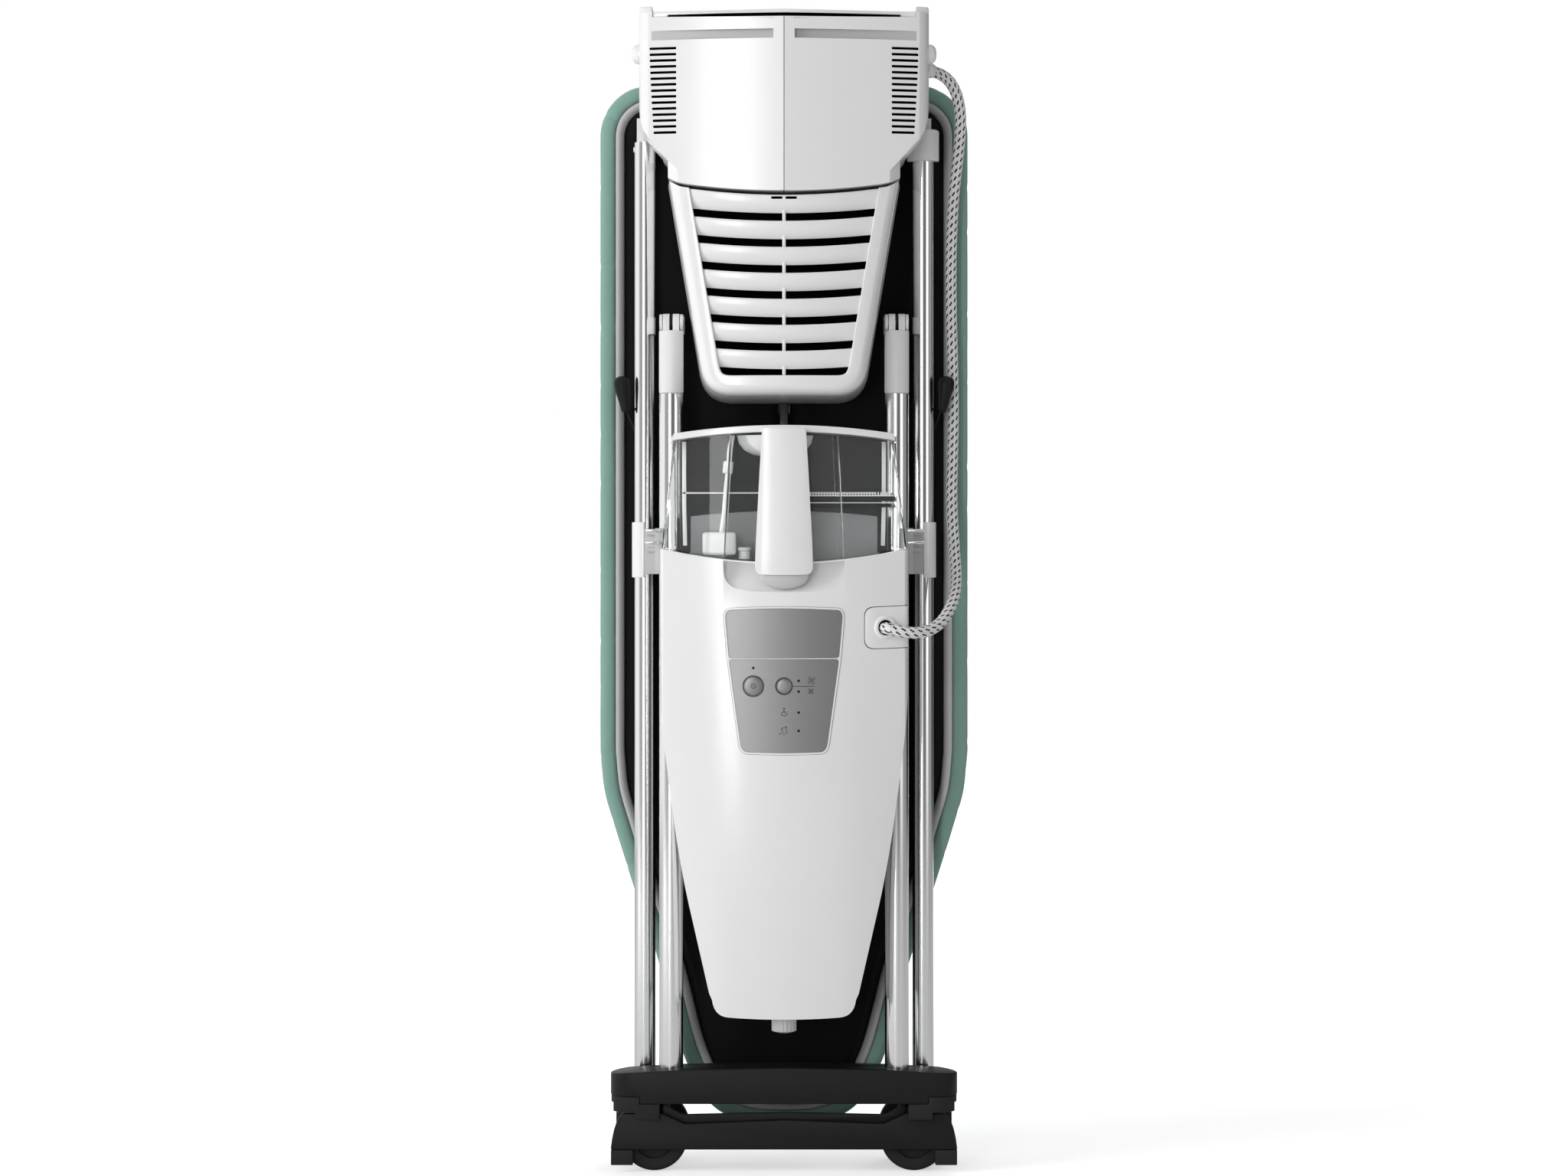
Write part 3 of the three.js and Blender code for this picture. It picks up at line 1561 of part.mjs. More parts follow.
// Back half of the body, with the wall that the water tank leans on
function generatorBack() {
  const flangeFront = bodyBackY + gap;
  const flangeBack = flangeFront + flangeThickness;
  const flange = plate(bodyOutline(0), flangeFront, flangeBack);
  const tub = plate(bodyOutline(backInset, backHalfWidth), flangeFront, backY2);
  const room = plate(
    bodyOutline(backInset + bodyWall, backHalfWidth - bodyWall),
    flangeFront - overrun,
    backY2 - bodyWall,
  );
  const restLow = bodyTopZ - bodyTopSag - backInset - bodyWall;
  const restHalf = backHalfWidth - tankRestInset;
  const restBack = flangeFront + tankRestThickness;
  const rest = block(-restHalf, restHalf, flangeFront, restBack, restLow, bodyTopZ + tankRestRise);
  return join(cut(join(flange, tub), room), rest);
}

// The hose leaves the port aslant, and the nozzle's end face is square to it
const hoseExit = new THREE.Vector3(...hoseRoute[0]);
const hoseAim = new THREE.Vector3(...hoseRoute[1]).sub(hoseExit).normalize();
const nozzleEnd = hoseExit.clone().addScaledVector(hoseAim, -gap);

// All that lies behind the front of the facet, with a gap
function plateBack() {
  const room = new THREE.BoxGeometry(bodyHalfWidth, bodyHalfWidth, bodyHalfWidth);
  room.translate(0, bodyHalfWidth / 2, 0);
  room.rotateZ(facetAngle);
  room.translate(...facetPoint(portX, portZ, gap));
  return solid(room);
}

function hosePort() {
  const plateBody = new THREE.BoxGeometry(
    portPlateHalfWidth * 2,
    portPlateThickness,
    portPlateHalfHeight * 2,
  );
  plateBody.rotateZ(facetAngle);
  plateBody.translate(...facetPoint(portX, portZ, gap + portPlateThickness / 2));
  const plateTop = gap + portPlateThickness;
  const rim = rod(
    portRimRadius,
    facetPoint(portX, portZ, gap),
    facetPoint(portX, portZ, plateTop + portRimHeight),
    20,
    portRimRadius - portRimRound,
  );
  const trim = block(0, portPlateEdgeX, bodyFrontY * 2, 0, 0, bodyTopZ);
  const base = join(solid(plateBody), rim).intersect(trim);
  const dish = rod(
    nozzleRadius,
    facetPoint(portX, portZ, plateTop),
    facetPoint(portX, portZ, plateTop + portRimHeight * 2),
    16,
    portRimRadius - portRimRound - gap,
  );
  const collar = nozzleEnd.clone().addScaledVector(hoseAim, -nozzleCollar);
  const root = facetPoint(portX, portZ, gap - portPlateThickness);
  const boot = rod(nozzleRadius, root, collar.toArray(), 14, hoseRadius + nozzleLip);
  const nozzle = rod(hoseRadius + nozzleLip, collar.toArray(), nozzleEnd.toArray(), 14);
  const joint = new THREE.SphereGeometry(hoseRadius + nozzleLip, 14, 8);
  joint.translate(...collar.toArray());
  const behindEnd = nozzleEnd.clone().addScaledVector(hoseAim, -bodyHalfWidth);
  const endSide = rod(portPlateHalfWidth * 2, behindEnd.toArray(), nozzleEnd.toArray(), 12);
  const spout = join(boot, solid(joint), nozzle).intersect(endSide);
  return join(cut(base, dish), cut(spout, plateBack()));
}

function panelUpper() {
  return upperPanel(0, bodyFrontY, bodyFrontY + panelThickness);
}

function panelLower() {
  const body = lowerPanel(0, bodyFrontY, bodyFrontY + panelThickness);
  const holes = [
    rod(
      powerButtonRadius + buttonFit,
      [powerButtonX, bodyFrontY - overrun, buttonZ],
      [powerButtonX, bodyFrontY + panelThickness + overrun, buttonZ],
      24,
    ),
    rod(
      fanButtonRadius + buttonFit,
      [0, bodyFrontY - overrun, buttonZ],
      [0, bodyFrontY + panelThickness + overrun, buttonZ],
      24,
    ),
  ];
  return cut(body, ...holes);
}

// A push button with a flange that keeps it behind the panel
function button(x, radius) {
  const front = bodyFrontY - buttonProud;
  const seat = bodyFrontY + panelThickness + gap;
  const cap = rod(radius, [x, front, buttonZ], [x, seat + buttonThickness, buttonZ], 20);
  const flange = rod(radius + buttonFlange, [x, seat, buttonZ], [x, seat + buttonFlange, buttonZ], 20);
  return join(cap, flange);
}

function circuitCard() {
  const front = bodyFrontY + bodyWall + boardCardBehind;
  const high = buttonZ + boardCardHeight / 2;
  const low = buttonZ - boardCardHeight / 2;
  const body = block(-boardCardHalfWidth, boardCardHalfWidth, front, front + boardCardThickness, low, high);
  const posts = [];
  const reach = boardCardHalfWidth - cardPostSize;
  for (const [x, z] of [
    [-reach, high],
    [reach, high],
  ]) {
    posts.push(block(
      x - cardPostSize / 2,
      x + cardPostSize / 2,
      bodyFrontY + panelThickness + gap,
      front + gap,
      z - cardPostSize,
      z,
    ));
  }
  return join(body, ...posts);
}

function boiler() {
  const top = boilerZ + boilerHeight;
  const neck = top + boilerDome;
  const low = boilerZ + boilerWall;
  const can = rod(boilerRadius, [0, boilerY, boilerZ], [0, boilerY, top], 24);
  const dome = rod(boilerRadius, [0, boilerY, top], [0, boilerY, neck], 24, boilerNeckRadius);
  const inner = boilerRadius - boilerWall;
  const room = rod(inner, [0, boilerY, low], [0, boilerY, top], 24);
  const domeRoom = rod(
    inner,
    [0, boilerY, top],
    [0, boilerY, neck + overrun],
    24,
    boilerNeckRadius - boilerWall,
  );
  const back = backY2 - bodyWall - gap;
  const shelf = boilerRadius - boilerWall / 2;
  const footLow = boilerZ + boilerFoot;
  const foot = block(-boilerFootWidth, boilerFootWidth, boilerY, back, footLow, footLow + boilerFoot);
  const clear = rod(
    shelf,
    [0, boilerY, footLow - overrun],
    [0, boilerY, footLow + boilerFoot + overrun],
    24,
  );
  return join(cut(join(can, dome), room, domeRoom), cut(foot, clear));
}

// Plate heater under the boiler, with its two terminals
function heatingElement() {
  const top = boilerZ - gap;
  const low = top - heaterThickness;
  const disc = rod(heaterRadius, [0, boilerY, low], [0, boilerY, top], 20);
  const x = heaterRadius / 2;
  const terminals = [-x, x].map((side) =>
    rod(heaterTerminalRadius, [side, boilerY, low - heaterThickness], [side, boilerY, low + overrun], 8),
  );
  return join(disc, ...terminals);
}

function pump() {
  const low = pumpZ;
  const y = backY2 - bodyWall - gap - pumpFoot / 2 - pumpRadius;
  const can = rod(pumpRadius, [pumpX, y, low], [pumpX, y, low + pumpLength], 20);
  const foot = block(
    pumpX - pumpFoot / 2,
    pumpX + pumpFoot / 2,
    y,
    backY2 - bodyWall - gap,
    low + pumpFoot,
    low + pumpFoot * 2,
  );
  return join(can, foot);
}

// Water tank on top of the body
const tankFrontY = bodyFrontY + tankFrontInset;

function tankOutline(inset, topGrow) {
  const points = [];
  const bottomHalf = tankBottomHalfWidth - inset;
  const rim = new THREE.QuadraticBezierCurve(
    new THREE.Vector2(0, bodyTopZ - bodyTopSag + tankSeat + inset),
    new THREE.Vector2(bottomHalf / 2, bodyTopZ - bodyTopSag + tankSeat + inset),
    new THREE.Vector2(bottomHalf, bodyTopZ + tankSeat + inset),
  );
  rim.getPoints(6).forEach((p) => points.push([p.x, p.y]));
  const topHalf = tankTopHalfWidth - inset;
  const crown = new THREE.QuadraticBezierCurve(
    new THREE.Vector2(topHalf, tankTopZ + topGrow),
    new THREE.Vector2(topHalf / 2, tankTopZ + tankCrown + topGrow),
    new THREE.Vector2(0, tankTopZ + tankCrown + topGrow),
  );
  crown.getPoints(6).forEach((p) => points.push([p.x, p.y]));
  points[0][0] = 0;
  points.at(-1)[0] = 0;
  return polygon(mirrored(points));
}

function tankPlan(inset, half) {
  return bodyPlan(inset, tankBackY - inset, half, tankFrontY);
}

function waterTank() {
  const low = bodyTopZ - bodyTopSag;
  const high = tankTopZ + tankCrown;
  const outside = column(tankPlan(0, tankBottomHalfWidth), low, high + overrun).intersect(
    plate(tankOutline(0, -lidThickness - gap), tankFrontY - overrun, tankBackY),
  );
  const inside = column(tankPlan(tankWall, tankBottomHalfWidth), low, high + overrun).intersect(
    plate(tankOutline(tankWall, 0), tankFrontY - overrun, tankBackY),
  );
  return cut(outside, inside);
}

function tankLid() {
  const low = tankTopZ - lidThickness;
  const high = tankTopZ + tankCrown;
  const half = tankTopHalfWidth + lidOverhang;
  const crown = new THREE.QuadraticBezierCurve(
    new THREE.Vector2(half, tankTopZ),
    new THREE.Vector2(half / 2, high),
    new THREE.Vector2(0, high),
  );
  const under = new THREE.QuadraticBezierCurve(
    new THREE.Vector2(0, high - lidThickness),
    new THREE.Vector2(half / 2, high - lidThickness),
    new THREE.Vector2(half, low),
  );
  const points = [...under.getPoints(6), ...crown.getPoints(6)].map((p) => [p.x, p.y]);
  points[0][0] = 0;
  points.at(-1)[0] = 0;
  const shape = plate(polygon(mirrored(points)), tankFrontY - overrun, tankBackY + overrun);
  return shape.intersect(column(tankPlan(0, half), low - overrun, high + overrun));
}

function tankHandle() {
  const shape = roundedPolygon(
    [
      [-handleBottomHalfWidth, handleBottomZ],
      [handleBottomHalfWidth, handleBottomZ],
      [handleTopHalfWidth, handleTopZ],
      [-handleTopHalfWidth, handleTopZ],
    ],
    handleCorner,
  );
  return plate(shape, frontY, tankFrontY - gap);
}

function drainPlug() {
  const top = bodyBottomZ - gap;
  const knob = rod(plugRadius - plugRibDepth, [0, plugY, top - plugHeight], [0, plugY, top], 12);
  const neck = rod(plugNeckRadius, [0, plugY, top - gap], [0, plugY, top + plugNeck], 20);
  let body = join(knob, neck);
  for (let i = 0; i < plugRibs; i++) {
    const angle = (360 * i) / plugRibs;
    const rib = block(
      -plugRibDepth / 2,
      plugRibDepth / 2,
      plugRadius - plugRibDepth * 3,
      plugRadius,
      top - plugHeight,
      top,
    );
    body = body.add(rib.rotate([0, 0, angle]).translate([0, plugY, 0]));
  }
  return body;
}

// Transport clip round the outer half of a folded outer leg
function legClip() {
  const x = outerLegX;
  const inner = outerLegRadius + gap;
  const outer = inner + clipWall;
  const top = clipZ + clipHeight;
  const ring = rod(outer, [x, outerLegY, clipZ], [x, outerLegY, top], 28);
  const room = rod(inner, [x, outerLegY, clipZ - overrun], [x, outerLegY, top + overrun], 24);
  const behind = block(
    x - outer,
    x + outer,
    outerLegY + gap,
    outerLegY + outer * 2,
    clipZ - overrun,
    top + overrun,
  );
  const beside = block(
    x - outer * 2,
    x,
    outerLegY - outer * 2,
    outerLegY + outer * 2,
    clipZ - overrun,
    top + overrun,
  );
  return cut(ring, room, behind, beside);
}

// Grey bracket that carries a clip: it stands on the generator's back flange, past the inner leg
function sideBracket() {
  const x = outerLegX;
  const inner = outerLegRadius + gap;
  const outer = inner + clipWall;
  const top = clipZ + clipHeight - clipArmDrop;
  const low = top - clipArmHeight;
  const wrap = rod(outer, [x, outerLegY, low], [x, outerLegY, top], 28);
  const room = rod(inner, [x, outerLegY, low - overrun], [x, outerLegY, top + overrun], 24);
  const behind = block(x - outer * 2, x + outer, outerLegY - clipWall, outerLegY + outer * 2, low, top);
  const beside = block(x - gap, x + outer * 2, outerLegY - outer * 2, outerLegY + outer * 2, low, top);
  const armFront = bodyBackY + gap * 2 + flangeThickness;
  const armInner = innerLegX + innerLegRadius + gap;
  const arm = block(armInner, armInner + clipArmThickness, armFront, outerLegY - outer, low, top);
  const web = block(armInner, x - gap, outerLegY - outer, outerLegY - outer + clipWall, low, top);
  const foot = block(
    armFootX,
    armInner + clipArmThickness,
    armFront,
    innerLegY - innerLegRadius - gap,
    low,
    top,
  );
  const body = cut(join(wrap, arm, web), room, behind, beside);
  const pins = [];
  for (const drop of [clipPinDrop, clipPinDrop + clipPinPitch]) {
    const z = top - drop;
    const y = outerLegY - outer - clipPinRadius / 2;
    pins.push(rod(
      clipPinRadius,
      [armInner + clipArmThickness / 2, y, z],
      [x - gap - clipPinRadius, y, z],
      14,
    ));
  }
  return join(body, foot, ...pins);
}

// Height rail down the middle of the pan, in two guide blocks
function heightRail() {
  const body = rod(railRadius, [0, railY, railBottomZ], [0, railY, railTopZ], 16);
  const back = panFrontY - gap;
  const blocks = [railBottomZ, railTopZ - railBlockHeight].map((z) =>
    block(
      -railBlockHalfWidth / 2,
      railBlockHalfWidth / 2,
      railY,
      back,
      z + railBlockHeight / 4,
      z + railBlockHeight,
    ),
  );
  return join(body, ...blocks);
}

// Release lever: a drop-shaped head on a thin rod that turns on a boss behind the outer leg
function releaseLever() {
  const tailZ = leverTopZ - leverHeadLength;
  const headZ = leverTopZ - leverHeadRadius;
  const tailX = leverX - leverHeadRadius / 2;
  const bendZ = tailZ + leverTailRadius;
  const head = rod(leverTailRadius, [tailX, leverY, tailZ], [leverX, leverY, headZ], 16, leverHeadRadius);
  const tipRadius = leverHeadRadius * leverTipShare;
  const dome = rod(leverHeadRadius, [leverX, leverY, headZ], [leverX, leverY, leverTopZ], 16, tipRadius);
  const shaft = rod(leverRodRadius, [tailX, leverPinY, bendZ], [leverRootX, leverPinY, leverRootZ], 8);
  const neck = rod(leverRodRadius, [tailX, leverY, bendZ], [tailX, leverPinY + leverRodRadius, bendZ], 8);
  const reach = leverEarSpan / 2 + leverEarThickness + gap;
  const pin = rod(
    leverPinRadius,
    [leverRootX - reach, leverPinY, leverRootZ],
    [leverRootX + reach, leverPinY, leverRootZ],
    12,
  );
  return join(head, dome, neck, shaft, pin);
}

function leverEars() {
  const low = leverRootZ - leverEarHalfHeight;
  const high = leverRootZ + leverEarHalfHeight;
  const ears = [];
  for (const x of [leverRootX - leverEarSpan / 2 - leverEarThickness, leverRootX + leverEarSpan / 2]) {
    const front = leverPinY - leverPinRadius - gap * 4;
    ears.push(block(x, x + leverEarThickness, front, panFrontY + panWall, low, high));
  }
  const reach = leverEarSpan;
  const bore = rod(
    leverPinRadius + gap,
    [leverRootX - reach, leverPinY, leverRootZ],
    [leverRootX + reach, leverPinY, leverRootZ],
    8,
  );
  return cut(join(...ears), bore);
}

function hose() {
  const curve = new THREE.CatmullRomCurve3(
    hoseRoute.map(([x, y, z]) => new THREE.Vector3(x, y, z)),
    false,
    "centripetal",
  );
  const section = new THREE.Shape();
  section.absarc(0, 0, hoseRadius, 0, Math.PI * 2, false);
  const settings = { steps: hoseSteps, bevelEnabled: false, extrudePath: curve, curveSegments: 4 };
  return solid(new THREE.ExtrudeGeometry(section, settings));
}

// The whole table
const table = new THREE.Group();

function add(name, body, finish) {
  table.add(part(name, body, finish));
}

// A piece made for the right side and its mirror image for the left
function addPair(name, body, finish) {
  add(name + "_right", body, finish);
  add(name + "_left", mirrorX(body), finish);
}

add("board_cover", boardCover(), teal);
add("foam_pad", foamPad(), foam);
add("mesh_top", meshTop(), steelMesh);
add("board_rim", boardRim(), paleGrey);
add("underside_pan", undersidePan(), black);
addPair("rear_shell", rearShell(), white);
add("rear_top_cap", rearTopCap(), white);
add("iron_rest", ironRest(), midGrey);
add("hose_inlet", hoseInlet(), white);
add("exhaust_grille", exhaustGrille(), white);
add("fan_volute", fanVolute(), midGrey);
add("fan_impeller", fanImpeller(), midGrey);
add("fan_motor", fanMotor(), steelMesh);
add("height_rail", heightRail(), chrome);
addPair("outer_hinge", outerHinge(), white);
addPair("inner_hinge", innerHinge(), white);
addPair("release_lever", releaseLever(), black);
addPair("outer_leg", outerLeg(), chrome);
add("leg_top_cap", legTopCap(), white);
add("wheel_beam", wheelBeam(), black);
addPair("wheel_pod", wheelPod(), black);
addPair("rubber_foot", rubberFoot(), rubber);
addPair("front_wheel", wheel(wheelFrontY), rubber);
addPair("rear_wheel", wheel(rearWheelY), rubber);
addPair("inner_leg", innerLeg(), chrome);
addPair("leg_sleeve", legSleeve(), white);
add("front_foot_bar", footBar(), black);
addPair("foot_pad", footPad(), rubber);
add("generator_front", generatorFront(), white);
add("generator_back", generatorBack(), white);
add("panel_upper", panelUpper(), midGrey);
add("panel_lower", panelLower(), midGrey);
add("power_button", button(powerButtonX, powerButtonRadius), midGrey);
add("fan_button", button(0, fanButtonRadius), midGrey);
add("circuit_card", circuitCard(), card);
add("boiler", boiler(), steelMesh);
add("heating_element", heatingElement(), brass);
add("pump", pump(), midGrey);
add("hose_port", hosePort(), white);
add("water_tank", waterTank(), clear);
add("tank_lid", tankLid(), white);
add("tank_handle", tankHandle(), white);
add("drain_plug", drainPlug(), midGrey);
addPair("leg_clip", legClip(), white);
addPair("side_bracket", sideBracket(), midGrey);
add("steam_hose", hose(), braid);

export default table;
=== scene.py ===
# %% [markdown]
# # Dressing a folding ironing table
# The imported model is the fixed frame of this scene: every solid is already in its place, in metres,
# with the floor at z = 0 and the viewer on the -Y side. This lesson gives each solid the finish of the
# real thing, and makes anew what a plain solid can't show: tubes, padding, louvres, clear plastic, braid.
# Each cell below makes one piece or one finish, and says first why it is made that way.

# %% Load the frame
import json
import math
import random
from functools import partial

import bpy
from mathutils import Matrix, Vector

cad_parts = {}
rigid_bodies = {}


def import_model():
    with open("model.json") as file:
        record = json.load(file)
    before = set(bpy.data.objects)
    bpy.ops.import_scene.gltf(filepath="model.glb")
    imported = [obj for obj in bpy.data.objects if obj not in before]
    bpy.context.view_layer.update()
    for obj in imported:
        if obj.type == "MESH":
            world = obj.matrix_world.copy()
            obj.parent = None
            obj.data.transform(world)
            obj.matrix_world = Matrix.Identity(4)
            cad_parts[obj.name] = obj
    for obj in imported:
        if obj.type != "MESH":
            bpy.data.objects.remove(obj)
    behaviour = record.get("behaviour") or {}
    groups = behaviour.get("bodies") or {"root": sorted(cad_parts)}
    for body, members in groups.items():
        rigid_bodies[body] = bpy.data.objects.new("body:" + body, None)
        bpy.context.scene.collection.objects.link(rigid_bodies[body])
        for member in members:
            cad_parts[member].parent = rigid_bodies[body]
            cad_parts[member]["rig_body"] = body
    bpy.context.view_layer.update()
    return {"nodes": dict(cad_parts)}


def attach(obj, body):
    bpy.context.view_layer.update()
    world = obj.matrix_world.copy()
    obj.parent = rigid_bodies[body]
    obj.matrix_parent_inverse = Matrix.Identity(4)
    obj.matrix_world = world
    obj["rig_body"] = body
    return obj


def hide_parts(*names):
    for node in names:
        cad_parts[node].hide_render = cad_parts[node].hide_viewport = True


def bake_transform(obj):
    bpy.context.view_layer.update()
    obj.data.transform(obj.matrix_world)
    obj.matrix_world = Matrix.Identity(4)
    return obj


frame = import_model()

MM = 0.001


def mm(*numbers):
    """Millimetres to metres."""
    return Vector([n * MM for n in numbers])


# %% [markdown]
# The photograph was taken from straight ahead, from far away, with a long lens. The camera stands 4 m
# in front of the table at half of its height, so nearer and farther pieces hardly change in size.

# %% Camera
CAMERA_DISTANCE = 4.0
CAMERA_HEIGHT = 0.664
PICTURE_WIDTH = 2048
FOCAL_PIXELS = 4556

camera_data = bpy.data.cameras.new("studio_camera")
camera = bpy.data.objects.new("studio_camera", camera_data)
bpy.context.collection.objects.link(camera)
camera.location = (0, -CAMERA_DISTANCE, CAMERA_HEIGHT)
camera.rotation_euler = (math.pi / 2, 0, 0)
camera_data.sensor_width = 36
camera_data.lens = camera_data.sensor_width * FOCAL_PIXELS / PICTURE_WIDTH
camera_data.clip_end = 100
bpy.context.scene.camera = camera
print("lens", round(camera_data.lens, 1), "mm")

# %% [markdown]
# All modelling below goes the same way: a primitive is added at its size and place, shaped in edit mode,
# and finished with modifiers. An operator acts on everything that is selected, so a few small helpers
# keep the selection clean, and pick faces or edges by where they are and which way they look.


# %% Selection helpers
def let_go():
    """Nothing selected, nothing in edit mode."""
    if bpy.context.object and bpy.context.object.mode != "OBJECT":
        bpy.ops.object.mode_set(mode="OBJECT")
    bpy.ops.object.select_all(action="DESELECT")


def take(*pieces):
    """Only these pieces selected, the first one active."""
    let_go()
    for piece in pieces:
        piece.select_set(True)
    bpy.context.view_layer.objects.active = pieces[0]
    return pieces[0]


def edit(piece, mode="FACE", action="SELECT"):
    """Edit mode, with everything selected or nothing."""
    take(piece)
    bpy.ops.object.mode_set(mode="EDIT")
    bpy.ops.mesh.select_mode(type=mode)
    bpy.ops.mesh.select_all(action=action)


def delete_faces(piece, test):
    """Removes the faces for which test(centre, normal) holds."""
    edit(piece, "FACE", "DESELECT")
    bpy.ops.object.mode_set(mode="OBJECT")
    for face in piece.data.polygons:
        face.select = bool(test(face.center, face.normal))
    bpy.ops.object.mode_set(mode="EDIT")
    bpy.ops.mesh.delete(type="FACE")
    let_go()


# %% Modifier and naming helpers
def apply(piece, kind, **settings):
    """Adds one modifier, sets it and applies it."""
    take(piece)
    modifier = piece.modifiers.new(kind.lower(), kind)
    for name, value in settings.items():
        setattr(modifier, name, value)
    bpy.ops.object.modifier_apply(modifier=modifier.name)
    return piece


def called(piece, name):
    piece.name = piece.data.name = name
    return piece


def settle(piece, name):
    """The piece at the origin, unturned and unscaled, with its place in its mesh."""
    take(piece)
    bpy.ops.object.transform_apply(location=True, rotation=True, scale=True)
    return called(piece, name)


def join(name, *pieces):
    take(*pieces)
    bpy.ops.object.join()
    return called(bpy.context.object, name)


# %% Edge and surface helpers
def soften(piece, width=0.6, angle=35, segments=2, smooth=40):
    """Rounds the sharp edges by width millimetres and shades the rest smooth."""
    if width:
        apply(piece, "BEVEL", width=width * MM, segments=segments, angle_limit=math.radians(angle),
              limit_method="ANGLE", use_clamp_overlap=True)
    take(piece)
    bpy.ops.object.shade_smooth_by_angle(angle=math.radians(smooth))
    return piece


def outwards(piece, merge=0.02):
    """Points that are closer than merge millimetres become one, and every face looks outwards."""
    edit(piece)
    bpy.ops.mesh.remove_doubles(threshold=merge * MM)
    bpy.ops.mesh.normals_make_consistent(inside=False)
    bpy.ops.object.mode_set(mode="OBJECT")
    return piece


# %% Primitive helpers
def add_box(name, low, high):
    """A box between two corners, in millimetres."""
    let_go()
    low, high = mm(*low), mm(*high)
    bpy.ops.mesh.primitive_cube_add(size=1, location=(low + high) / 2)
    piece = bpy.context.object
    piece.scale = high - low
    return settle(piece, name)


def add_rod(name, radius, start, end, sides=48, end_radius=None):
    """A rod, or a cone where end_radius is given, between two points, in millimetres."""
    let_go()
    a, b = mm(*start), mm(*end)
    last = radius if end_radius is None else end_radius
    bpy.ops.mesh.primitive_cone_add(
        vertices=sides, radius1=radius * MM, radius2=last * MM, depth=(b - a).length, location=(a + b) / 2
    )
    piece = bpy.context.object
    piece.rotation_mode = "QUATERNION"
    piece.rotation_quaternion = (b - a).to_track_quat("Z", "Y")
    return settle(piece, name)


def placed(name, data):
    """A new object for this data, linked to the scene."""
    made = bpy.data.objects.new(name, data)
    bpy.context.collection.objects.link(made)
    return made


def across(half, steps):
    """Even values from -half to half."""
    return [half * k / steps for k in range(-steps, steps + 1)]


def add_mesh(name, points, faces=(), edges=()):
    """A mesh from points in millimetres."""
    data = bpy.data.meshes.new(name)
    data.from_pydata([mm(*p) for p in points], edges, faces)
    data.update()
    return placed(name, data)


def mirror_copy(piece, name):
    """A second piece, mirrored across X = 0, with its own mesh."""
    other = placed(name, piece.data.copy())
    other.data.transform(Matrix.Diagonal((-1, 1, 1, 1)))
    other.data.flip_normals()
    return called(other, name)


# %% Finish and curve helpers
def finish(piece, body, slot, material, *solids):
    """Gives a piece its material and the body that it moves with, and hides the solids it stands for; slot
    is not used.
    """
    piece.data.materials.clear()
    piece.data.materials.append(material)
    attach(piece, body)
    if solids:
        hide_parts(*solids)
    return piece


def true_curve(piece, slope, limit=14):
    """Faces that lie on a curved front get that curve's own normals, so that reflections run evenly."""
    mesh = piece.data
    normals = [Vector(corner.vector) for corner in mesh.corner_normals]
    for face in mesh.polygons:
        if face.normal.angle(Vector((slope(face.center.x / MM), -1, 0))) < math.radians(limit):
            for loop in face.loop_indices:
                x = mesh.vertices[mesh.loops[loop].vertex_index].co.x / MM
                normals[loop] = Vector((slope(x), -1, 0)).normalized()
    mesh.normals_split_custom_set(normals)


# %% [markdown]
# Many shells are right as solids but too sharp. Their meshes arrive as loose triangles, so a copy is
# merged, its flat triangles are dissolved into whole faces, and its edges are rounded. The copy then
# stands for the solid, which stays in the physics.


# %% Copy a solid and soften it
def refined(solid, name, width=0.6, angle=35, segments=2, flat=1.5, smooth=40):
    """A copy of a solid with its edges rounded by width millimetres."""
    piece = called(placed(name, frame["nodes"][solid].data.copy()), name)
    take(piece)
    if piece.data.has_custom_normals:
        bpy.ops.mesh.customdata_custom_splitnormals_clear()
    edit(piece, "VERT")
    bpy.ops.mesh.remove_doubles(threshold=0.005 * MM)
    bpy.ops.mesh.dissolve_limited(angle_limit=math.radians(flat))
    bpy.ops.object.mode_set(mode="OBJECT")
    return soften(piece, width, angle, segments, smooth)


def body_of(solid):
    """The moving body that a solid belongs to."""
    return frame["nodes"][solid]["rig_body"]


def dress(solid, material, slot, width=0.6, **options):
    """One solid, refined and finished."""
    piece = refined(solid, solid + "_finished", width, **options)
    return finish(piece, body_of(solid), slot, material, solid)


def coat(material, *solids):
    """Solids that stay as they are and only get a finish."""
    for solid in solids:
        for place in frame["nodes"][solid].material_slots:
            place.material = material


# %% [markdown]
# ## Materials
# Plastic, paint and metal share a few effects: a fine grain in the surface, faint smudges that change
# the gloss, and a little variation of colour. Each effect is a node group, built once, with named inputs
# and outputs, and every material places it with its own values.


# %% Node helpers
def new_group(name, inputs, outputs):
    """A node group, the sockets of its input node and those of its output node."""
    group = bpy.data.node_groups.new(name, "ShaderNodeTree")
    for title, kind, value in inputs:
        socket = group.interface.new_socket(name=title, in_out="INPUT", socket_type=kind)
        if value is not None:
            socket.default_value = value
    for title, kind in outputs:
        group.interface.new_socket(name=title, in_out="OUTPUT", socket_type=kind)
    return group, group.nodes.new("NodeGroupInput").outputs, group.nodes.new("NodeGroupOutput").inputs


def put(tree, socket, value):
    """Links another node's output to a socket, or sets it; a colour may leave out its alpha."""
    if isinstance(value, bpy.types.NodeSocket):
        tree.links.new(value, socket)
    else:
        socket.default_value = (*value, 1.0) if isinstance(value, tuple) and len(value) == 3 else value


def node(tree, kind, **values):
    """Adds a shader node; each value goes to the property or else the input of that name."""
    made = tree.nodes.new("ShaderNode" + kind)
    for name, value in values.items():
        if hasattr(made, name):
            setattr(made, name, value)
        else:
            put(tree, made.inputs[name.replace("_", " ")], value)
    return made


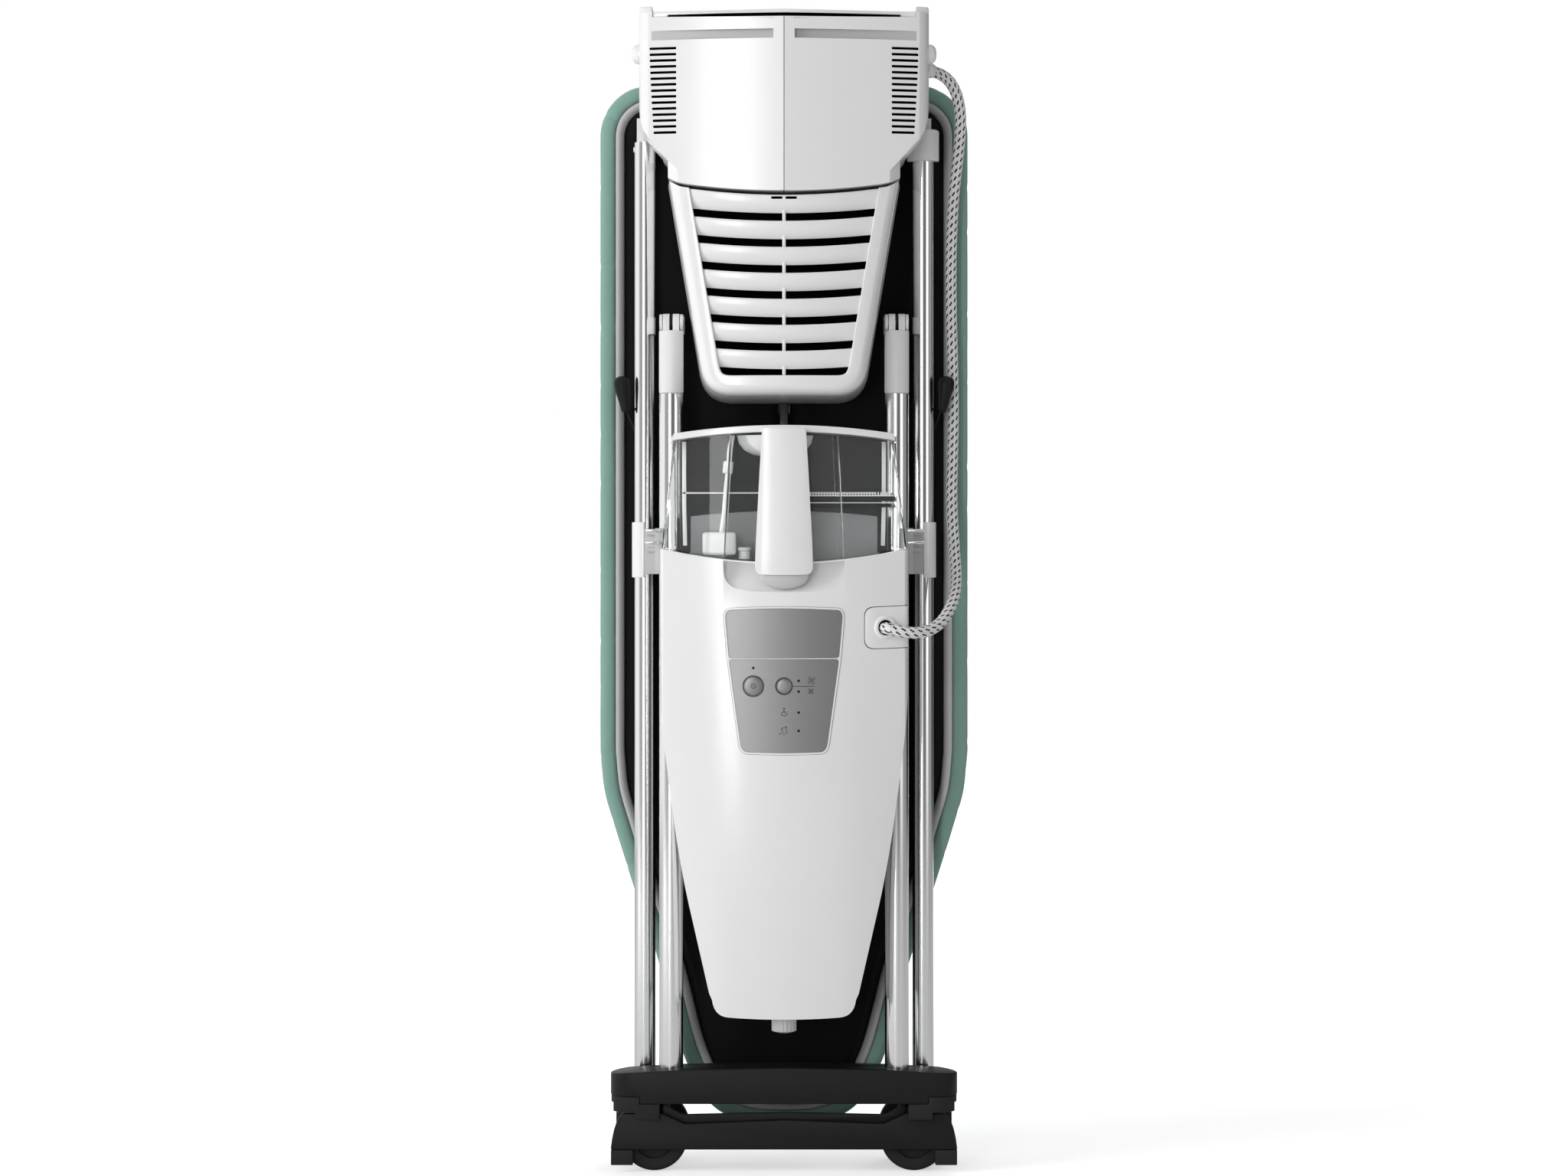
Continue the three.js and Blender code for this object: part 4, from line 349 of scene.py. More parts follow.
def math_node(tree, operation, *values, clamp=False):
    made = node(tree, "Math", operation=operation, use_clamp=clamp)
    for socket, value in zip(made.inputs, values):
        put(tree, socket, value)
    return made.outputs[0]


def parts_of(tree, vector):
    """The X, Y and Z of a vector."""
    return node(tree, "SeparateXYZ", Vector=vector).outputs


def mix_colors(tree, factor, a, b):
    """A mix of two colours, each a value or a socket."""
    made = node(tree, "Mix", data_type="RGBA")
    for number, value in ((0, factor), (6, a), (7, b)):
        put(tree, made.inputs[number], value)
    return made.outputs[2]


def new_material(name):
    """A material with its node tree, its Principled shader and the place in Object coordinates."""
    material = bpy.data.materials.new(name)
    material.use_nodes = True
    tree = material.node_tree
    return material, tree, tree.nodes["Principled BSDF"], node(tree, "TexCoord").outputs["Object"]


def bumps(tree, shader, height, depth, strength=1.0):
    """Feeds a height into the shader as relief, so many millimetres deep."""
    relief = node(tree, "Bump", Strength=strength, Distance=depth * MM, Height=height)
    tree.links.new(relief.outputs["Normal"], shader.inputs["Normal"])


FLOAT, VECTOR, COLOR = "NodeSocketFloat", "NodeSocketVector", "NodeSocketColor"


# %% [markdown]
# Moulded plastic and powder coat have a grain of well under a millimetre. A noise of that size, read in
# the object's own coordinates, gives the height for a Bump node.

# %% Grain group
grain, entry, leave = new_group(
    "Moulded grain",
    [("Vector", VECTOR, None), ("Scale", FLOAT, 900.0), ("Softness", FLOAT, 0.5)],
    [("Height", FLOAT)],
)
coarse = node(grain, "TexNoise", Detail=3.0, Roughness=0.55, Vector=entry["Vector"], Scale=entry["Scale"])
waves = node(grain, "TexNoise", Detail=1.0, Scale=22.0, Vector=entry["Vector"])
soft_part = math_node(grain, "MULTIPLY", waves.outputs["Fac"], entry["Softness"])
put(grain, leave["Height"], math_node(grain, "ADD", coarse.outputs["Fac"], soft_part))

# %% [markdown]
# Handling leaves faint smudges. They show in the gloss far more than in the colour, so the group gives
# a roughness that varies round a middle value, and a colour that is only slightly deeper in places.

# %% Smudge group
smudge, entry, leave = new_group(
    "Handled surface",
    [
        ("Vector", VECTOR, None),
        ("Color", COLOR, (0.8, 0.8, 0.8, 1.0)),
        ("Shade", FLOAT, 0.04),
        ("Roughness", FLOAT, 0.3),
        ("Spread", FLOAT, 0.1),
    ],
    [("Color", COLOR), ("Roughness", FLOAT)],
)
calc = partial(math_node, smudge)
cloud = node(smudge, "TexNoise", Scale=9.0, Detail=6.0, Roughness=0.62, Vector=entry["Vector"])
centred = calc("SUBTRACT", cloud.outputs["Fac"], 0.5)
spread = calc("MULTIPLY", centred, entry["Spread"])
put(smudge, leave["Roughness"], calc("ADD", entry["Roughness"], spread, clamp=True))
level = calc("ADD", calc("MULTIPLY", centred, entry["Shade"]), 1.0)
tint = node(smudge, "VectorMath", operation="SCALE", Vector=entry["Color"], Scale=level)
put(smudge, leave["Color"], tint.outputs[0])


# %% [markdown]
# A surface material is then a Principled shader with those two groups in front of it. Values that are the
# same all over, such as metallic and the specular level, stay on the shader's own sockets.


# %% Surface material
def surface(name, color, roughness, spread=0.08, shade=0.05, grain_scale=900.0, grain_depth=0.02,
            metallic=0.0, specular=0.5):
    material, tree, shader, place = new_material(name)
    handled = node(tree, "Group", node_tree=smudge, Vector=place, Color=color, Shade=shade,
                   Roughness=roughness, Spread=spread)
    fine = node(tree, "Group", node_tree=grain, Vector=place, Scale=grain_scale, Softness=0.5)
    bumps(tree, shader, fine.outputs["Height"], grain_depth)
    put(tree, shader.inputs["Base Color"], handled.outputs["Color"])
    put(tree, shader.inputs["Roughness"], handled.outputs["Roughness"])
    put(tree, shader.inputs["Metallic"], metallic)
    put(tree, shader.inputs["Specular IOR Level"], specular)
    return material


# %% The table's finishes
white_plastic = surface(
    "White gloss plastic", (0.82, 0.82, 0.817), 0.17, spread=0.04, grain_depth=0.004
)
white_satin = surface("White satin plastic", (0.74, 0.74, 0.735), 0.46, grain_depth=0.03)
grey_plastic = surface("Mid grey plastic", (0.32, 0.325, 0.325), 0.42, grain_depth=0.03)
panel_grey = surface("Brushed panel grey", (0.285, 0.285, 0.285), 0.38, grain_depth=0.004, metallic=0.75)
light_grey = surface("Pale grey plastic", (0.55, 0.55, 0.55), 0.38, grain_depth=0.02)
grey_bracket_and_groove_shade = surface("Bracket grey and painted groove shade", (0.50, 0.50, 0.50), 0.4, grain_depth=0.02)
black_plastic = surface(
    "Black moulded plastic", (0.009, 0.009, 0.0095), 0.45, grain_depth=0.05, specular=0.2
)
black_pan = surface(
    "Black powder coat", (0.003, 0.003, 0.003), 0.6, grain_scale=1400.0, grain_depth=0.05, specular=0.1
)
rim_grey = surface("Pale grey satin plastic", (0.50, 0.495, 0.50), 0.4, grain_depth=0.02)
chrome = surface(
    "Polished chrome", (0.86, 0.86, 0.865), 0.15, spread=0.01, shade=0.01, grain_depth=0.0, metallic=1.0
)
dark_chrome = surface(
    "Dark chrome", (0.16, 0.16, 0.165), 0.10, spread=0.02, grain_depth=0.0, metallic=1.0
)
plain_steel = surface("Plain steel", (0.52, 0.52, 0.52), 0.3, spread=0.15, grain_depth=0.01, metallic=1.0)
brass = surface("Plain brass", (0.60, 0.45, 0.18), 0.3, spread=0.12, grain_depth=0.01, metallic=1.0)
black_rubber = surface(
    "Black rubber", (0.014, 0.014, 0.014), 0.7, grain_scale=1200.0, grain_depth=0.08, specular=0.3
)
# Plain black for sheets and strips behind openings and gaps: painted shade, standing where there is only
# shade.
shade_black = surface("Black painted shade", (0.001, 0.001, 0.001), 0.95, grain_depth=0.1, specular=0.02)
rest_grey = surface("Dark grey plastic", (0.38, 0.38, 0.38), 0.42, grain_depth=0.02)
foam_cream = surface("Foam felt", (0.72, 0.66, 0.52), 0.9, grain_scale=500.0, grain_depth=0.5)
card_green = surface("Circuit card", (0.03, 0.12, 0.05), 0.45, grain_depth=0.02)
print("finishes:", len(bpy.data.materials))

# %% [markdown]
# ## Steam hose
# The hose carries steam from the generator to the board. It is about 13 mm thick, with a braided textile
# sleeve, and it goes back into the table at both ends, so the photograph shows its whole length: 0.77 m.
# It is swept along its route in code, because the sweep must not twist, or the braid would wind round it.

# %% Route
HOSE_RADIUS = 6.6
HOSE_ROUTE = [
    (119.8, -87.4, 617.8), (132, -88.2, 615.2), (146, -85.3, 613.6), (160, -78.2, 615.2),
    (175, -64.8, 623.5), (187, -47, 639), (194.3, -28, 658), (196.6, -9, 678), (196, 9, 703),
    (194.8, 24, 733), (194, 35, 769), (195, 40, 813), (196, 41, 866), (195, 40, 928),
    (193.6, 40, 990), (193.6, 40, 1052), (196.2, 40.5, 1113), (200.2, 40, 1152), (203.6, 37, 1186),
    (203.6, 30.5, 1212), (198.8, 21.5, 1233), (190.6, 11.2, 1246), (180, 0.6, 1252.8),
    (168.8, -10, 1255),
]


# %% Curve through points
def through(points, steps):
    """A centripetal Catmull-Rom curve through points, with so many steps between each two."""
    points = [Vector(p) for p in points]
    first = points[0] * 2 - points[1]
    last = points[-1] * 2 - points[-2]
    all_points = [first, *points, last]
    curve = []
    for a, b, c, d in zip(all_points, all_points[1:], all_points[2:], all_points[3:]):
        t1 = (b - a).length ** 0.5
        t2 = t1 + (c - b).length ** 0.5
        t3 = t2 + (d - c).length ** 0.5
        for step in range(steps):
            t = t1 + (t2 - t1) * step / steps
            ab = a * ((t1 - t) / t1) + b * (t / t1)
            bc = b * ((t2 - t) / (t2 - t1)) + c * ((t - t1) / (t2 - t1))
            cd = c * ((t3 - t) / (t3 - t2)) + d * ((t - t2) / (t3 - t2))
            abc = ab * ((t2 - t) / t2) + bc * (t / t2)
            bcd = bc * ((t3 - t) / (t3 - t1)) + cd * ((t - t1) / (t3 - t1))
            curve.append(abc * ((t2 - t) / (t2 - t1)) + bcd * ((t - t1) / (t2 - t1)))
    curve.append(points[-1])
    return curve


def evenly(points, spacing):
    """The same line with its points at even distances."""
    lengths = [0.0]
    for a, b in zip(points, points[1:]):
        lengths.append(lengths[-1] + (b - a).length)
    count = round(lengths[-1] / spacing)
    result, k = [], 0
    for i in range(count + 1):
        want = lengths[-1] * i / count
        while k < len(points) - 2 and lengths[k + 1] < want:
            k += 1
        share = (want - lengths[k]) / (lengths[k + 1] - lengths[k])
        result.append(points[k].lerp(points[k + 1], share))
    return result, lengths[-1]


# %% Centre line
hose_line, hose_length = evenly(through(HOSE_ROUTE, 24), 1.6)
print("hose length", round(hose_length), "mm")


# %% Sweep with a UV map that runs along the hose
def sweep(name, line, radius, sides, cap=True):
    """A tube round a line, in millimetres, that never twists; u goes round it and v along it."""
    turn = (line[1] - line[0]).orthogonal().normalized()
    rings = []
    for i, point in enumerate(line):
        along = (line[min(i + 1, len(line) - 1)] - line[max(i - 1, 0)]).normalized()
        turn = (turn - along * turn.dot(along)).normalized()
        across = along.cross(turn)
        for k in range(sides):
            angle = math.tau * k / sides
            rings.append(point + (turn * math.cos(angle) + across * math.sin(angle)) * radius)
    faces = []
    for i in range(len(line) - 1):
        for k in range(sides):
            a, b = i * sides + k, i * sides + (k + 1) % sides
            faces.append((a, b, b + sides, a + sides))
    if cap:
        faces.append(tuple(reversed(range(sides))))
        faces.append(tuple(range((len(line) - 1) * sides, len(line) * sides)))
    piece = add_mesh(name, rings, faces)
    layer = piece.data.uv_layers.new(name="Along")
    length = sum((b - a).length for a, b in zip(line, line[1:]))
    for face in piece.data.polygons[: (len(line) - 1) * sides]:
        ring, k = divmod(face.index, sides)
        corners = ((k, ring), (k + 1, ring), (k + 1, ring + 1), (k, ring + 1))
        for loop, (u, v) in zip(face.loop_indices, corners):
            layer.data[loop].uv = (u / sides, v * length / (len(line) - 1) * MM)
    return soften(piece, 0, smooth=50)


hose = sweep("steam_hose_braided", hose_line, HOSE_RADIUS, 40)
print("hose faces", len(hose.data.polygons))

# %% [markdown]
# The sleeve is braided from pale yarn with a pair of black yarns in it. Where a black yarn comes to the
# surface it shows as two short slanting dashes, and these stand in rows along the hose, each row half a
# step further than its neighbour. One group makes the yarns' height, another the black dashes; both read
# the hose's own UV map, whose u goes round the hose and v along it in metres.


# %% Yarn group
def wave(tree, value, times=math.tau, shift=0.0):
    """A sine wave over value, from 0 to 1."""
    swing = math_node(tree, "SINE", math_node(tree, "MULTIPLY_ADD", value, times, shift))
    return math_node(tree, "MULTIPLY_ADD", swing, 0.5, 0.5)


braid, entry, leave = new_group(
    "Braided yarn",
    [("Vector", VECTOR, None), ("Yarns round", FLOAT, 12.0), ("Yarns per metre", FLOAT, 290.0)],
    [("Height", FLOAT), ("Shadow", FLOAT)],
)
calc, parts = partial(math_node, braid), parts_of(braid, entry["Vector"])
around = calc("MULTIPLY", parts["X"], entry["Yarns round"])
along = calc("MULTIPLY", parts["Y"], entry["Yarns per metre"])
over = wave(braid, along, shift=0.8)
first_way = calc("MULTIPLY", wave(braid, calc("ADD", around, along)), over)
second_way = calc("MULTIPLY", wave(braid, calc("SUBTRACT", around, along)), calc("SUBTRACT", 1.0, over))
yarn_height = calc("ADD", first_way, second_way)
fibres = node(braid, "TexNoise", Scale=900.0, Detail=2.0, Vector=entry["Vector"])
fuzz = calc("MULTIPLY", fibres.outputs["Fac"], 0.25)
put(braid, leave["Height"], calc("ADD", yarn_height, fuzz))
put(braid, leave["Shadow"], calc("POWER", yarn_height, 0.6))

# %% Dash group
dashes, entry, leave = new_group(
    "Dash pairs",
    [
        ("Vector", VECTOR, None),
        ("Rows", FLOAT, 8.0),
        ("Per metre", FLOAT, 110.0),
        ("Length", FLOAT, 0.15),
        ("Width", FLOAT, 0.21),
    ],
    [("Mask", FLOAT)],
)
calc, parts = partial(math_node, dashes), parts_of(dashes, entry["Vector"])
row = calc("MULTIPLY", parts["X"], entry["Rows"])
in_row = calc("SUBTRACT", calc("FRACT", row), 0.5)
half_steps = calc("MULTIPLY", calc("FLOOR", row), 0.5)
step = calc("MULTIPLY", parts["Y"], entry["Per metre"])
in_step = calc("SUBTRACT", calc("FRACT", calc("ADD", step, half_steps)), 0.5)
marks = []
for side in (-1, 1):
    slanted = calc("SUBTRACT", calc("ADD", in_step, side * 0.075), calc("MULTIPLY", in_row, 0.35))
    crosswise = calc("ABSOLUTE", calc("ADD", in_row, side * 0.1))
    short = calc("LESS_THAN", calc("ABSOLUTE", slanted), entry["Length"])
    marks.append(calc("MULTIPLY", short, calc("LESS_THAN", crosswise, entry["Width"])))
put(dashes, leave["Mask"], calc("MAXIMUM", *marks))

# %% [markdown]
# The material mixes the pale yarn and the black dashes by the mask, and paints shade into the valleys
# between yarns.

# %% Braid material
hose_braid = bpy.data.materials.new("Braided hose sleeve")
hose_braid.use_nodes = True
tree = hose_braid.node_tree
shader = tree.nodes["Principled BSDF"]
uv = node(tree, "UVMap", uv_map="Along").outputs["UV"]
yarns = node(tree, "Group", node_tree=braid, Vector=uv).outputs
pairs = node(tree, "Group", node_tree=dashes, Vector=uv).outputs
# The darker grey, mixed in where the yarns dip, is painted shade.
yarn_color = mix_colors(tree, yarns["Shadow"], (0.60, 0.60, 0.60), (0.92, 0.92, 0.91))
put(tree, shader.inputs["Base Color"], mix_colors(tree, pairs["Mask"], yarn_color, (0.003, 0.003, 0.003)))
bumps(tree, shader, yarns["Height"], 0.35)
put(tree, shader.inputs["Roughness"], 0.75)
put(tree, shader.inputs["Sheen Weight"], 0.2)

# %% [markdown]
# The hose is the one piece that crosses the generator's hinge.

hose.data.materials.append(hose_braid)
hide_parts("steam_hose")
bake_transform(hose)

# %% [markdown]
# ## The board
# The padded cover is wrapped round the board's edge and drawn tight by a cord in its hem. Seen from the
# underside it is a teal band with small gathers; on the ironing side it is a soft, slightly crowned field.
# Its edge, the grey rim and the black pan all follow one outline, so that is computed once, finely.

# %% Outline of the board
BOARD_NOSE, BOARD_LENGTH, BOARD_HALF = 38, 1212, 214
BOARD_TOP = BOARD_NOSE + BOARD_LENGTH
SPINE_LOW, SPINE_HIGH = 260, 1110
BOARD_CORNER = 60
NOSE_SHARES = [
    (0, 0), (0.2, 0.003), (0.385, 0.018), (0.53, 0.06), (0.68, 0.155), (0.817, 0.228), (0.92, 0.286),
    (0.977, 0.321), (1, 0.36),
]


def board_line(spacing=9.0):
    """Points (x, z) once round the board, from the nose's tip up the right side."""
    nose = [(share * BOARD_HALF, 0, BOARD_NOSE + length * BOARD_LENGTH) for share, length in NOSE_SHARES]
    side = [Vector((min(p.x, BOARD_HALF), 0, p.z)) for p in through(nose, 12)]
    arc_x, arc_z = BOARD_HALF - BOARD_CORNER, BOARD_TOP - BOARD_CORNER
    for k in range(19):
        angle = math.pi / 2 * k / 18
        x = arc_x + BOARD_CORNER * math.cos(angle)
        side.append(Vector((x, 0, arc_z + BOARD_CORNER * math.sin(angle))))
    side.append(Vector((0, 0, BOARD_TOP)))
    side, _ = evenly(side, spacing)
    right = [(p.x, p.z) for p in side]
    return right + [(-x, z) for x, z in reversed(right[1:-1])]


def outward(line):
    """The unit directions that point away from the board at each point of its line."""
    ways = []
    for i in range(len(line)):
        a, b = line[i - 1], line[(i + 1) % len(line)]
        way = Vector((b[1] - a[1], a[0] - b[0]))
        ways.append(way.normalized())
    return ways


# %% Bands round the board
def ring_faces(count, rings, closed):
    """The faces between rings of count points; closed joins the last ring to the first."""
    faces = []
    for k in range(rings if closed else rings - 1):
        low, high = k * count, (k + 1) % rings * count
        for i in range(count):
            j = (i + 1) % count
            faces.append((low + i, low + j, high + j, high + i))
    return faces


def around_board(name, rings, line, closed=False, shift=None):
    """A band that follows the line through rings of (inset, y, share of the way to the board's middle).

    shift(i, k) moves a point outwards and along y.
    """
    ways = outward(line)
    points = []
    for k, (inset, y, *inwards) in enumerate(rings):
        for i, ((x, z), way) in enumerate(zip(line, ways)):
            out, along = shift(i, k) if shift else (0, 0)
            point = Vector((x + way.x * (out - inset), y + along, z + way.y * (out - inset)))
            middle = Vector((0, y, min(max(point.z, SPINE_LOW), SPINE_HIGH)))
            points.append(point.lerp(middle, inwards[0] if inwards else 0))
    count = len(line)
    faces = ring_faces(count, len(rings), closed)
    if not closed:
        faces += [tuple(range(count)), tuple(range((len(rings) - 1) * count, len(rings) * count))]
    return outwards(add_mesh(name, points, faces))


line = board_line()
print("outline points:", len(line))

# %% [markdown]
# Along the band the cloth is gathered every few centimetres. Each gather is a short valley across the
# band, of its own depth, and between two gathers the cloth swells a little. The ironing face is filled by
# outlines that draw in towards the board's middle line, so that its crown is a real curve.

# %% Padded cover
random.seed(41)
COVER_RINGS = [
    (5, 97), (5, 71), (15.3, 71), (17.3, 69.5), (17.5, 66), (17.5, 61.5), (16.2, 59.3), (13.5, 58.3),
    (10.2, 58.0), (7.4, 58.05), (5, 58.6), (3, 59.6), (1.4, 61.3), (0.4, 63.6), (0, 67), (0, 72),
    (0, 78), (0.1, 84), (0.5, 89), (1.4, 92.8), (3.2, 95.8), (5.8, 97.9), (9.2, 99.0), (14, 99.4),
    (24, 99.6), (24, 99.75, 0.2), (24, 99.9, 0.45), (24, 100, 0.7),
]
fine_line = board_line(3.0)
gathers = []
place = 0.0
while place < len(fine_line) - 8:
    place += random.uniform(14, 34)
    gathers.append((place, random.uniform(0.4, 1.0), random.uniform(-1.2, 1.2)))


def gather_depth(i, lean):
    """How deep the nearest gathers press the cloth in at point i."""
    depth = 0.0
    for place, strength, slope in gathers:
        apart = i - place - slope * lean
        if abs(apart) < 6:
            narrow, broad = math.exp(-((apart / 0.9) ** 2)), math.exp(-((apart / 2.6) ** 2))
            depth += strength * (narrow + 0.25 * broad)
    return depth


def cover_shift(i, k):
    """How far the cloth leaves ring k at point i: outwards, and along y."""
    inset, y = COVER_RINGS[k][:2]
    if k < 3 or inset > 20:
        return 0, 0
    lean = (y - 58) / 12 + inset / 8
    depth = gather_depth(i, lean)
    swell = 0.25 * math.sin(i * 0.31) + 0.2 * math.sin(i * 0.117 + 1.3)
    on_lip = y < 62
    fade = max(0.0, 1 - (y - 58) / 30)
    if on_lip:
        return 0, max(0.0, depth * 1.1 + swell * 0.4)
    return -max(0.0, (depth * 0.9 + swell * 0.5) * fade), 0


cover = around_board("board_cover_padded", COVER_RINGS, fine_line, shift=cover_shift)
soften(cover, 0, smooth=75)
print("gathers:", len(gathers), "cover faces:", len(cover.data.polygons))

# %% [markdown]
# The cloth is a plain weave of teal cotton. Threads of half a millimetre cross over and under; each thread
# is a stripe, and where the stripes swap is a checkerboard. The pattern reads Object coordinates for the
# flat field and works on the edge too, since one set of threads runs along X and Y together.

# %% Weave group
weave, entry, leave = new_group(
    "Plain weave",
    [("Vector", VECTOR, None), ("Thread", FLOAT, 1.0)],
    [("Height", FLOAT), ("Shade", FLOAT)],
)
calc = partial(math_node, weave)
per_metre = calc("DIVIDE", 1000.0, entry["Thread"])
scaled = node(weave, "VectorMath", operation="SCALE", Vector=entry["Vector"], Scale=per_metre)
parts = parts_of(weave, scaled.outputs[0])
sideways = calc("ADD", parts["X"], parts["Y"])
warp, weft = wave(weave, sideways), wave(weave, parts["Z"])
checks = calc("MULTIPLY", wave(weave, sideways, math.pi), wave(weave, parts["Z"], math.pi))
woven = calc("ADD", calc("MULTIPLY", warp, checks), calc("MULTIPLY", weft, calc("SUBTRACT", 1.0, checks)))
slubs = node(weave, "TexNoise", Scale=160.0, Detail=3.0, Vector=entry["Vector"])
uneven = calc("MULTIPLY", slubs.outputs["Fac"], 0.6)
put(weave, leave["Height"], calc("ADD", woven, uneven))
# Shade is low where the threads dip: painted shade between the threads, varied at random by the slubs.
put(weave, leave["Shade"], calc("MULTIPLY", woven, calc("ADD", uneven, 0.7)))

# %% Cover cloth
cover_cloth, tree, shader, place = new_material("Teal cotton cover")
threads = node(tree, "Group", node_tree=weave, Thread=0.9, Vector=place).outputs
broad = node(tree, "TexNoise", Scale=14.0, Detail=4.0, Vector=place).outputs["Fac"]
dyed = mix_colors(tree, broad, (0.235, 0.400, 0.345), (0.275, 0.450, 0.390))
# The darker teal, mixed in by Shade, is painted shade between the threads.
put(tree, shader.inputs["Base Color"], mix_colors(tree, threads["Shade"], (0.175, 0.320, 0.275), dyed))
bumps(tree, shader, threads["Height"], 0.2, 0.6)
for socket, value in (("Roughness", 0.85), ("Sheen Weight", 0.25), ("Sheen Roughness", 0.5)):
    put(tree, shader.inputs[socket], value)

finish(cover, "board", "cover_cloth", cover_cloth, "board_cover")

# %% [markdown]
# Under the cover lies a foam felt pad on a perforated steel sheet, through which the fan draws the steam.
# Both are hidden, so the felt only gets its rounded edge, and the sheet its steel.

# %% Foam pad and steel sheet
felt = around_board("foam_felt", [(8, 87.8), (6, 88.8), (5.3, 91), (5.3, 93.5), (6, 95.7), (8, 96.6)], line)
finish(felt, "board", "foam", foam_cream, "foam_pad")

# %% [markdown]
# The perforated sheet keeps its solid, which is right as it is; its holes of 3 mm are too many to cut, so
# a group draws them: a grid of dots that the material turns dark.

# %% Perforated steel
holes, entry, leave = new_group(
    "Punched holes",
    [("Vector", VECTOR, None), ("Pitch", FLOAT, 8.0), ("Radius", FLOAT, 0.22)],
    [("Mask", FLOAT)],
)
calc = partial(math_node, holes)
per_metre = calc("DIVIDE", 1000.0, entry["Pitch"])
scaled = node(holes, "VectorMath", operation="SCALE", Vector=entry["Vector"], Scale=per_metre)
parts = parts_of(holes, scaled.outputs[0])
squares = []
for way in "XZ":
    off = calc("SUBTRACT", calc("FRACT", parts[way]), 0.5)
    squares.append(calc("POWER", calc("ABSOLUTE", off), 2.0))
distance = calc("SQRT", calc("ADD", *squares))
put(holes, leave["Mask"], calc("LESS_THAN", distance, entry["Radius"]))

punched_steel = surface("Punched steel sheet", (0.55, 0.55, 0.55), 0.35, metallic=1.0)
tree = punched_steel.node_tree
shader = tree.nodes["Principled BSDF"]
place = tree.nodes["Texture Coordinate"].outputs["Object"]
dots = node(tree, "Group", node_tree=holes, Vector=place).outputs["Mask"]
plain = shader.inputs["Base Color"].links[0].from_socket
put(tree, shader.inputs["Base Color"], mix_colors(tree, dots, plain, (0.01, 0.01, 0.01)))
coat(punched_steel, "mesh_top")
print("punched sheet dressed")

# %% [markdown]
# The rim is a soft tubular moulding of pale grey plastic. It is a closed band, rounded all over.

# %% Rim
RIM_RINGS = [
    (28.3, 85.5), (28.3, 66.5), (27.9, 64.2), (26.6, 62.3), (24.6, 60.7), (22.4, 59.7), (20.2, 59.4),
    (18.5, 60.1), (17.8, 61.6), (17.8, 71.3), (11, 71.3), (11, 85.5),
]
rim = around_board("board_rim_moulded", RIM_RINGS, line, closed=True)
soften(rim, 0, smooth=35)
finish(rim, "board", "rim_grey", rim_grey, "board_rim")
print("rim faces", len(rim.data.polygons))

# %% [markdown]
# The underside pan is a pressed steel tray, powder-coated black. Its wall leans in, its front is flat, and
# a channel for the height rail and the suction opening of the fan are cut into it with Boolean modifiers.


# %% Boolean helper
def corners_of(mesh):
    """The lowest and highest X, Y and Z of a mesh."""
    spots = [vertex.co for vertex in mesh.vertices] or [Vector((0, 0, 0))]
    return [min(p[k] for p in spots) for k in range(3)], [max(p[k] for p in spots) for k in range(3)]


def carve(piece, *tools, operation="DIFFERENCE"):
    """Cuts tools out of a piece, or joins them to it, and removes the tools.

    A cut can't make a piece larger. When the exact solver once gives such a result, the next one is tried.
    """
    for tool in tools:
        whole = piece.data.copy()
        low, high = corners_of(whole)
        for solver in ("EXACT", "MANIFOLD", "FAST"):
            apply(piece, "BOOLEAN", object=tool, operation=operation, solver=solver)
            new_low, new_high = corners_of(piece.data)
            grown = any(new_low[k] < low[k] - 0.00001 or new_high[k] > high[k] + 0.00001 for k in range(3))
            if piece.data.polygons and (operation == "UNION" or not grown):
                break
            print("solver", solver, "failed on", piece.name)
            piece.data = whole.copy()
        bpy.data.objects.remove(tool)
    return piece


# %% Underside pan
PAN_RINGS = [
    (41.6, 47), (38.4, 47.5), (37.2, 48.7), (28.9, 64.2), (28.6, 65.4), (28.6, 85.5), (31.1, 85.5),
    (31.1, 66.2), (39.8, 50.8), (41.6, 49.5),
]
pan = around_board("underside_pan_pressed", PAN_RINGS, line)
carve(pan, add_box("channel", (-13, 45, 420), (13, 48.2, 884)))
FAN_Z = 1006.4
carve(pan, add_rod("suction_eye", 34.0, (0, 45, FAN_Z), (0, 55, FAN_Z), 64))
for side in (-1, 1):
    for x in (164.7, 174.7):
        ear = add_box("lever_ear", (side * x - 1, 41.5, 833), (side * x + 1, 48, 843))
        soften(ear, 0.5)
        pan = join("underside_pan_pressed", pan, ear)
soften(pan, 0.3, 40, 2, 35)
finish(pan, "board", "black_pan", black_pan, "underside_pan")
print("pan faces", len(pan.data.polygons))

# %% [markdown]
# ## Turned pieces
# Levers, knobs, wheels and pins are round about an axis. Each is drawn as half a profile, a chain of
# edges, and spun round with bpy.ops.mesh.spin, as on a lathe.


# %% Lathe helper
def turned(name, profile, start, end, sides=48, smooth=40):
    """A solid of revolution; the profile is (radius, distance along the axis) in millimetres."""
    chain = [(i, i + 1) for i in range(len(profile) - 1)]
    piece = add_mesh(name, [(radius, 0, height) for radius, height in profile], edges=chain)
    edit(piece, "VERT")
    bpy.ops.mesh.spin(steps=sides, angle=math.tau, center=(0, 0, 0), axis=(0, 0, 1))
    outwards(piece, 0.005)
    a, b = mm(*start), mm(*end)
    piece.rotation_mode = "QUATERNION"
    piece.rotation_quaternion = (b - a).to_track_quat("Z", "Y")
    piece.location = a
    return soften(settle(piece, name), 0, smooth=smooth)


def rounded_rod(name, radius, start, end, edge=0.8, sides=48):
    """A turned rod with rounded ends."""
    long = (Vector(end) - Vector(start)).length
    lean = edge * 0.3
    profile = [
        (0, 0), (radius - edge, 0), (radius - lean, lean), (radius, edge),
        (radius, long - edge), (radius - lean, long - lean), (radius - edge, long), (0, long),
    ]
    return turned(name, profile, start, end, sides)


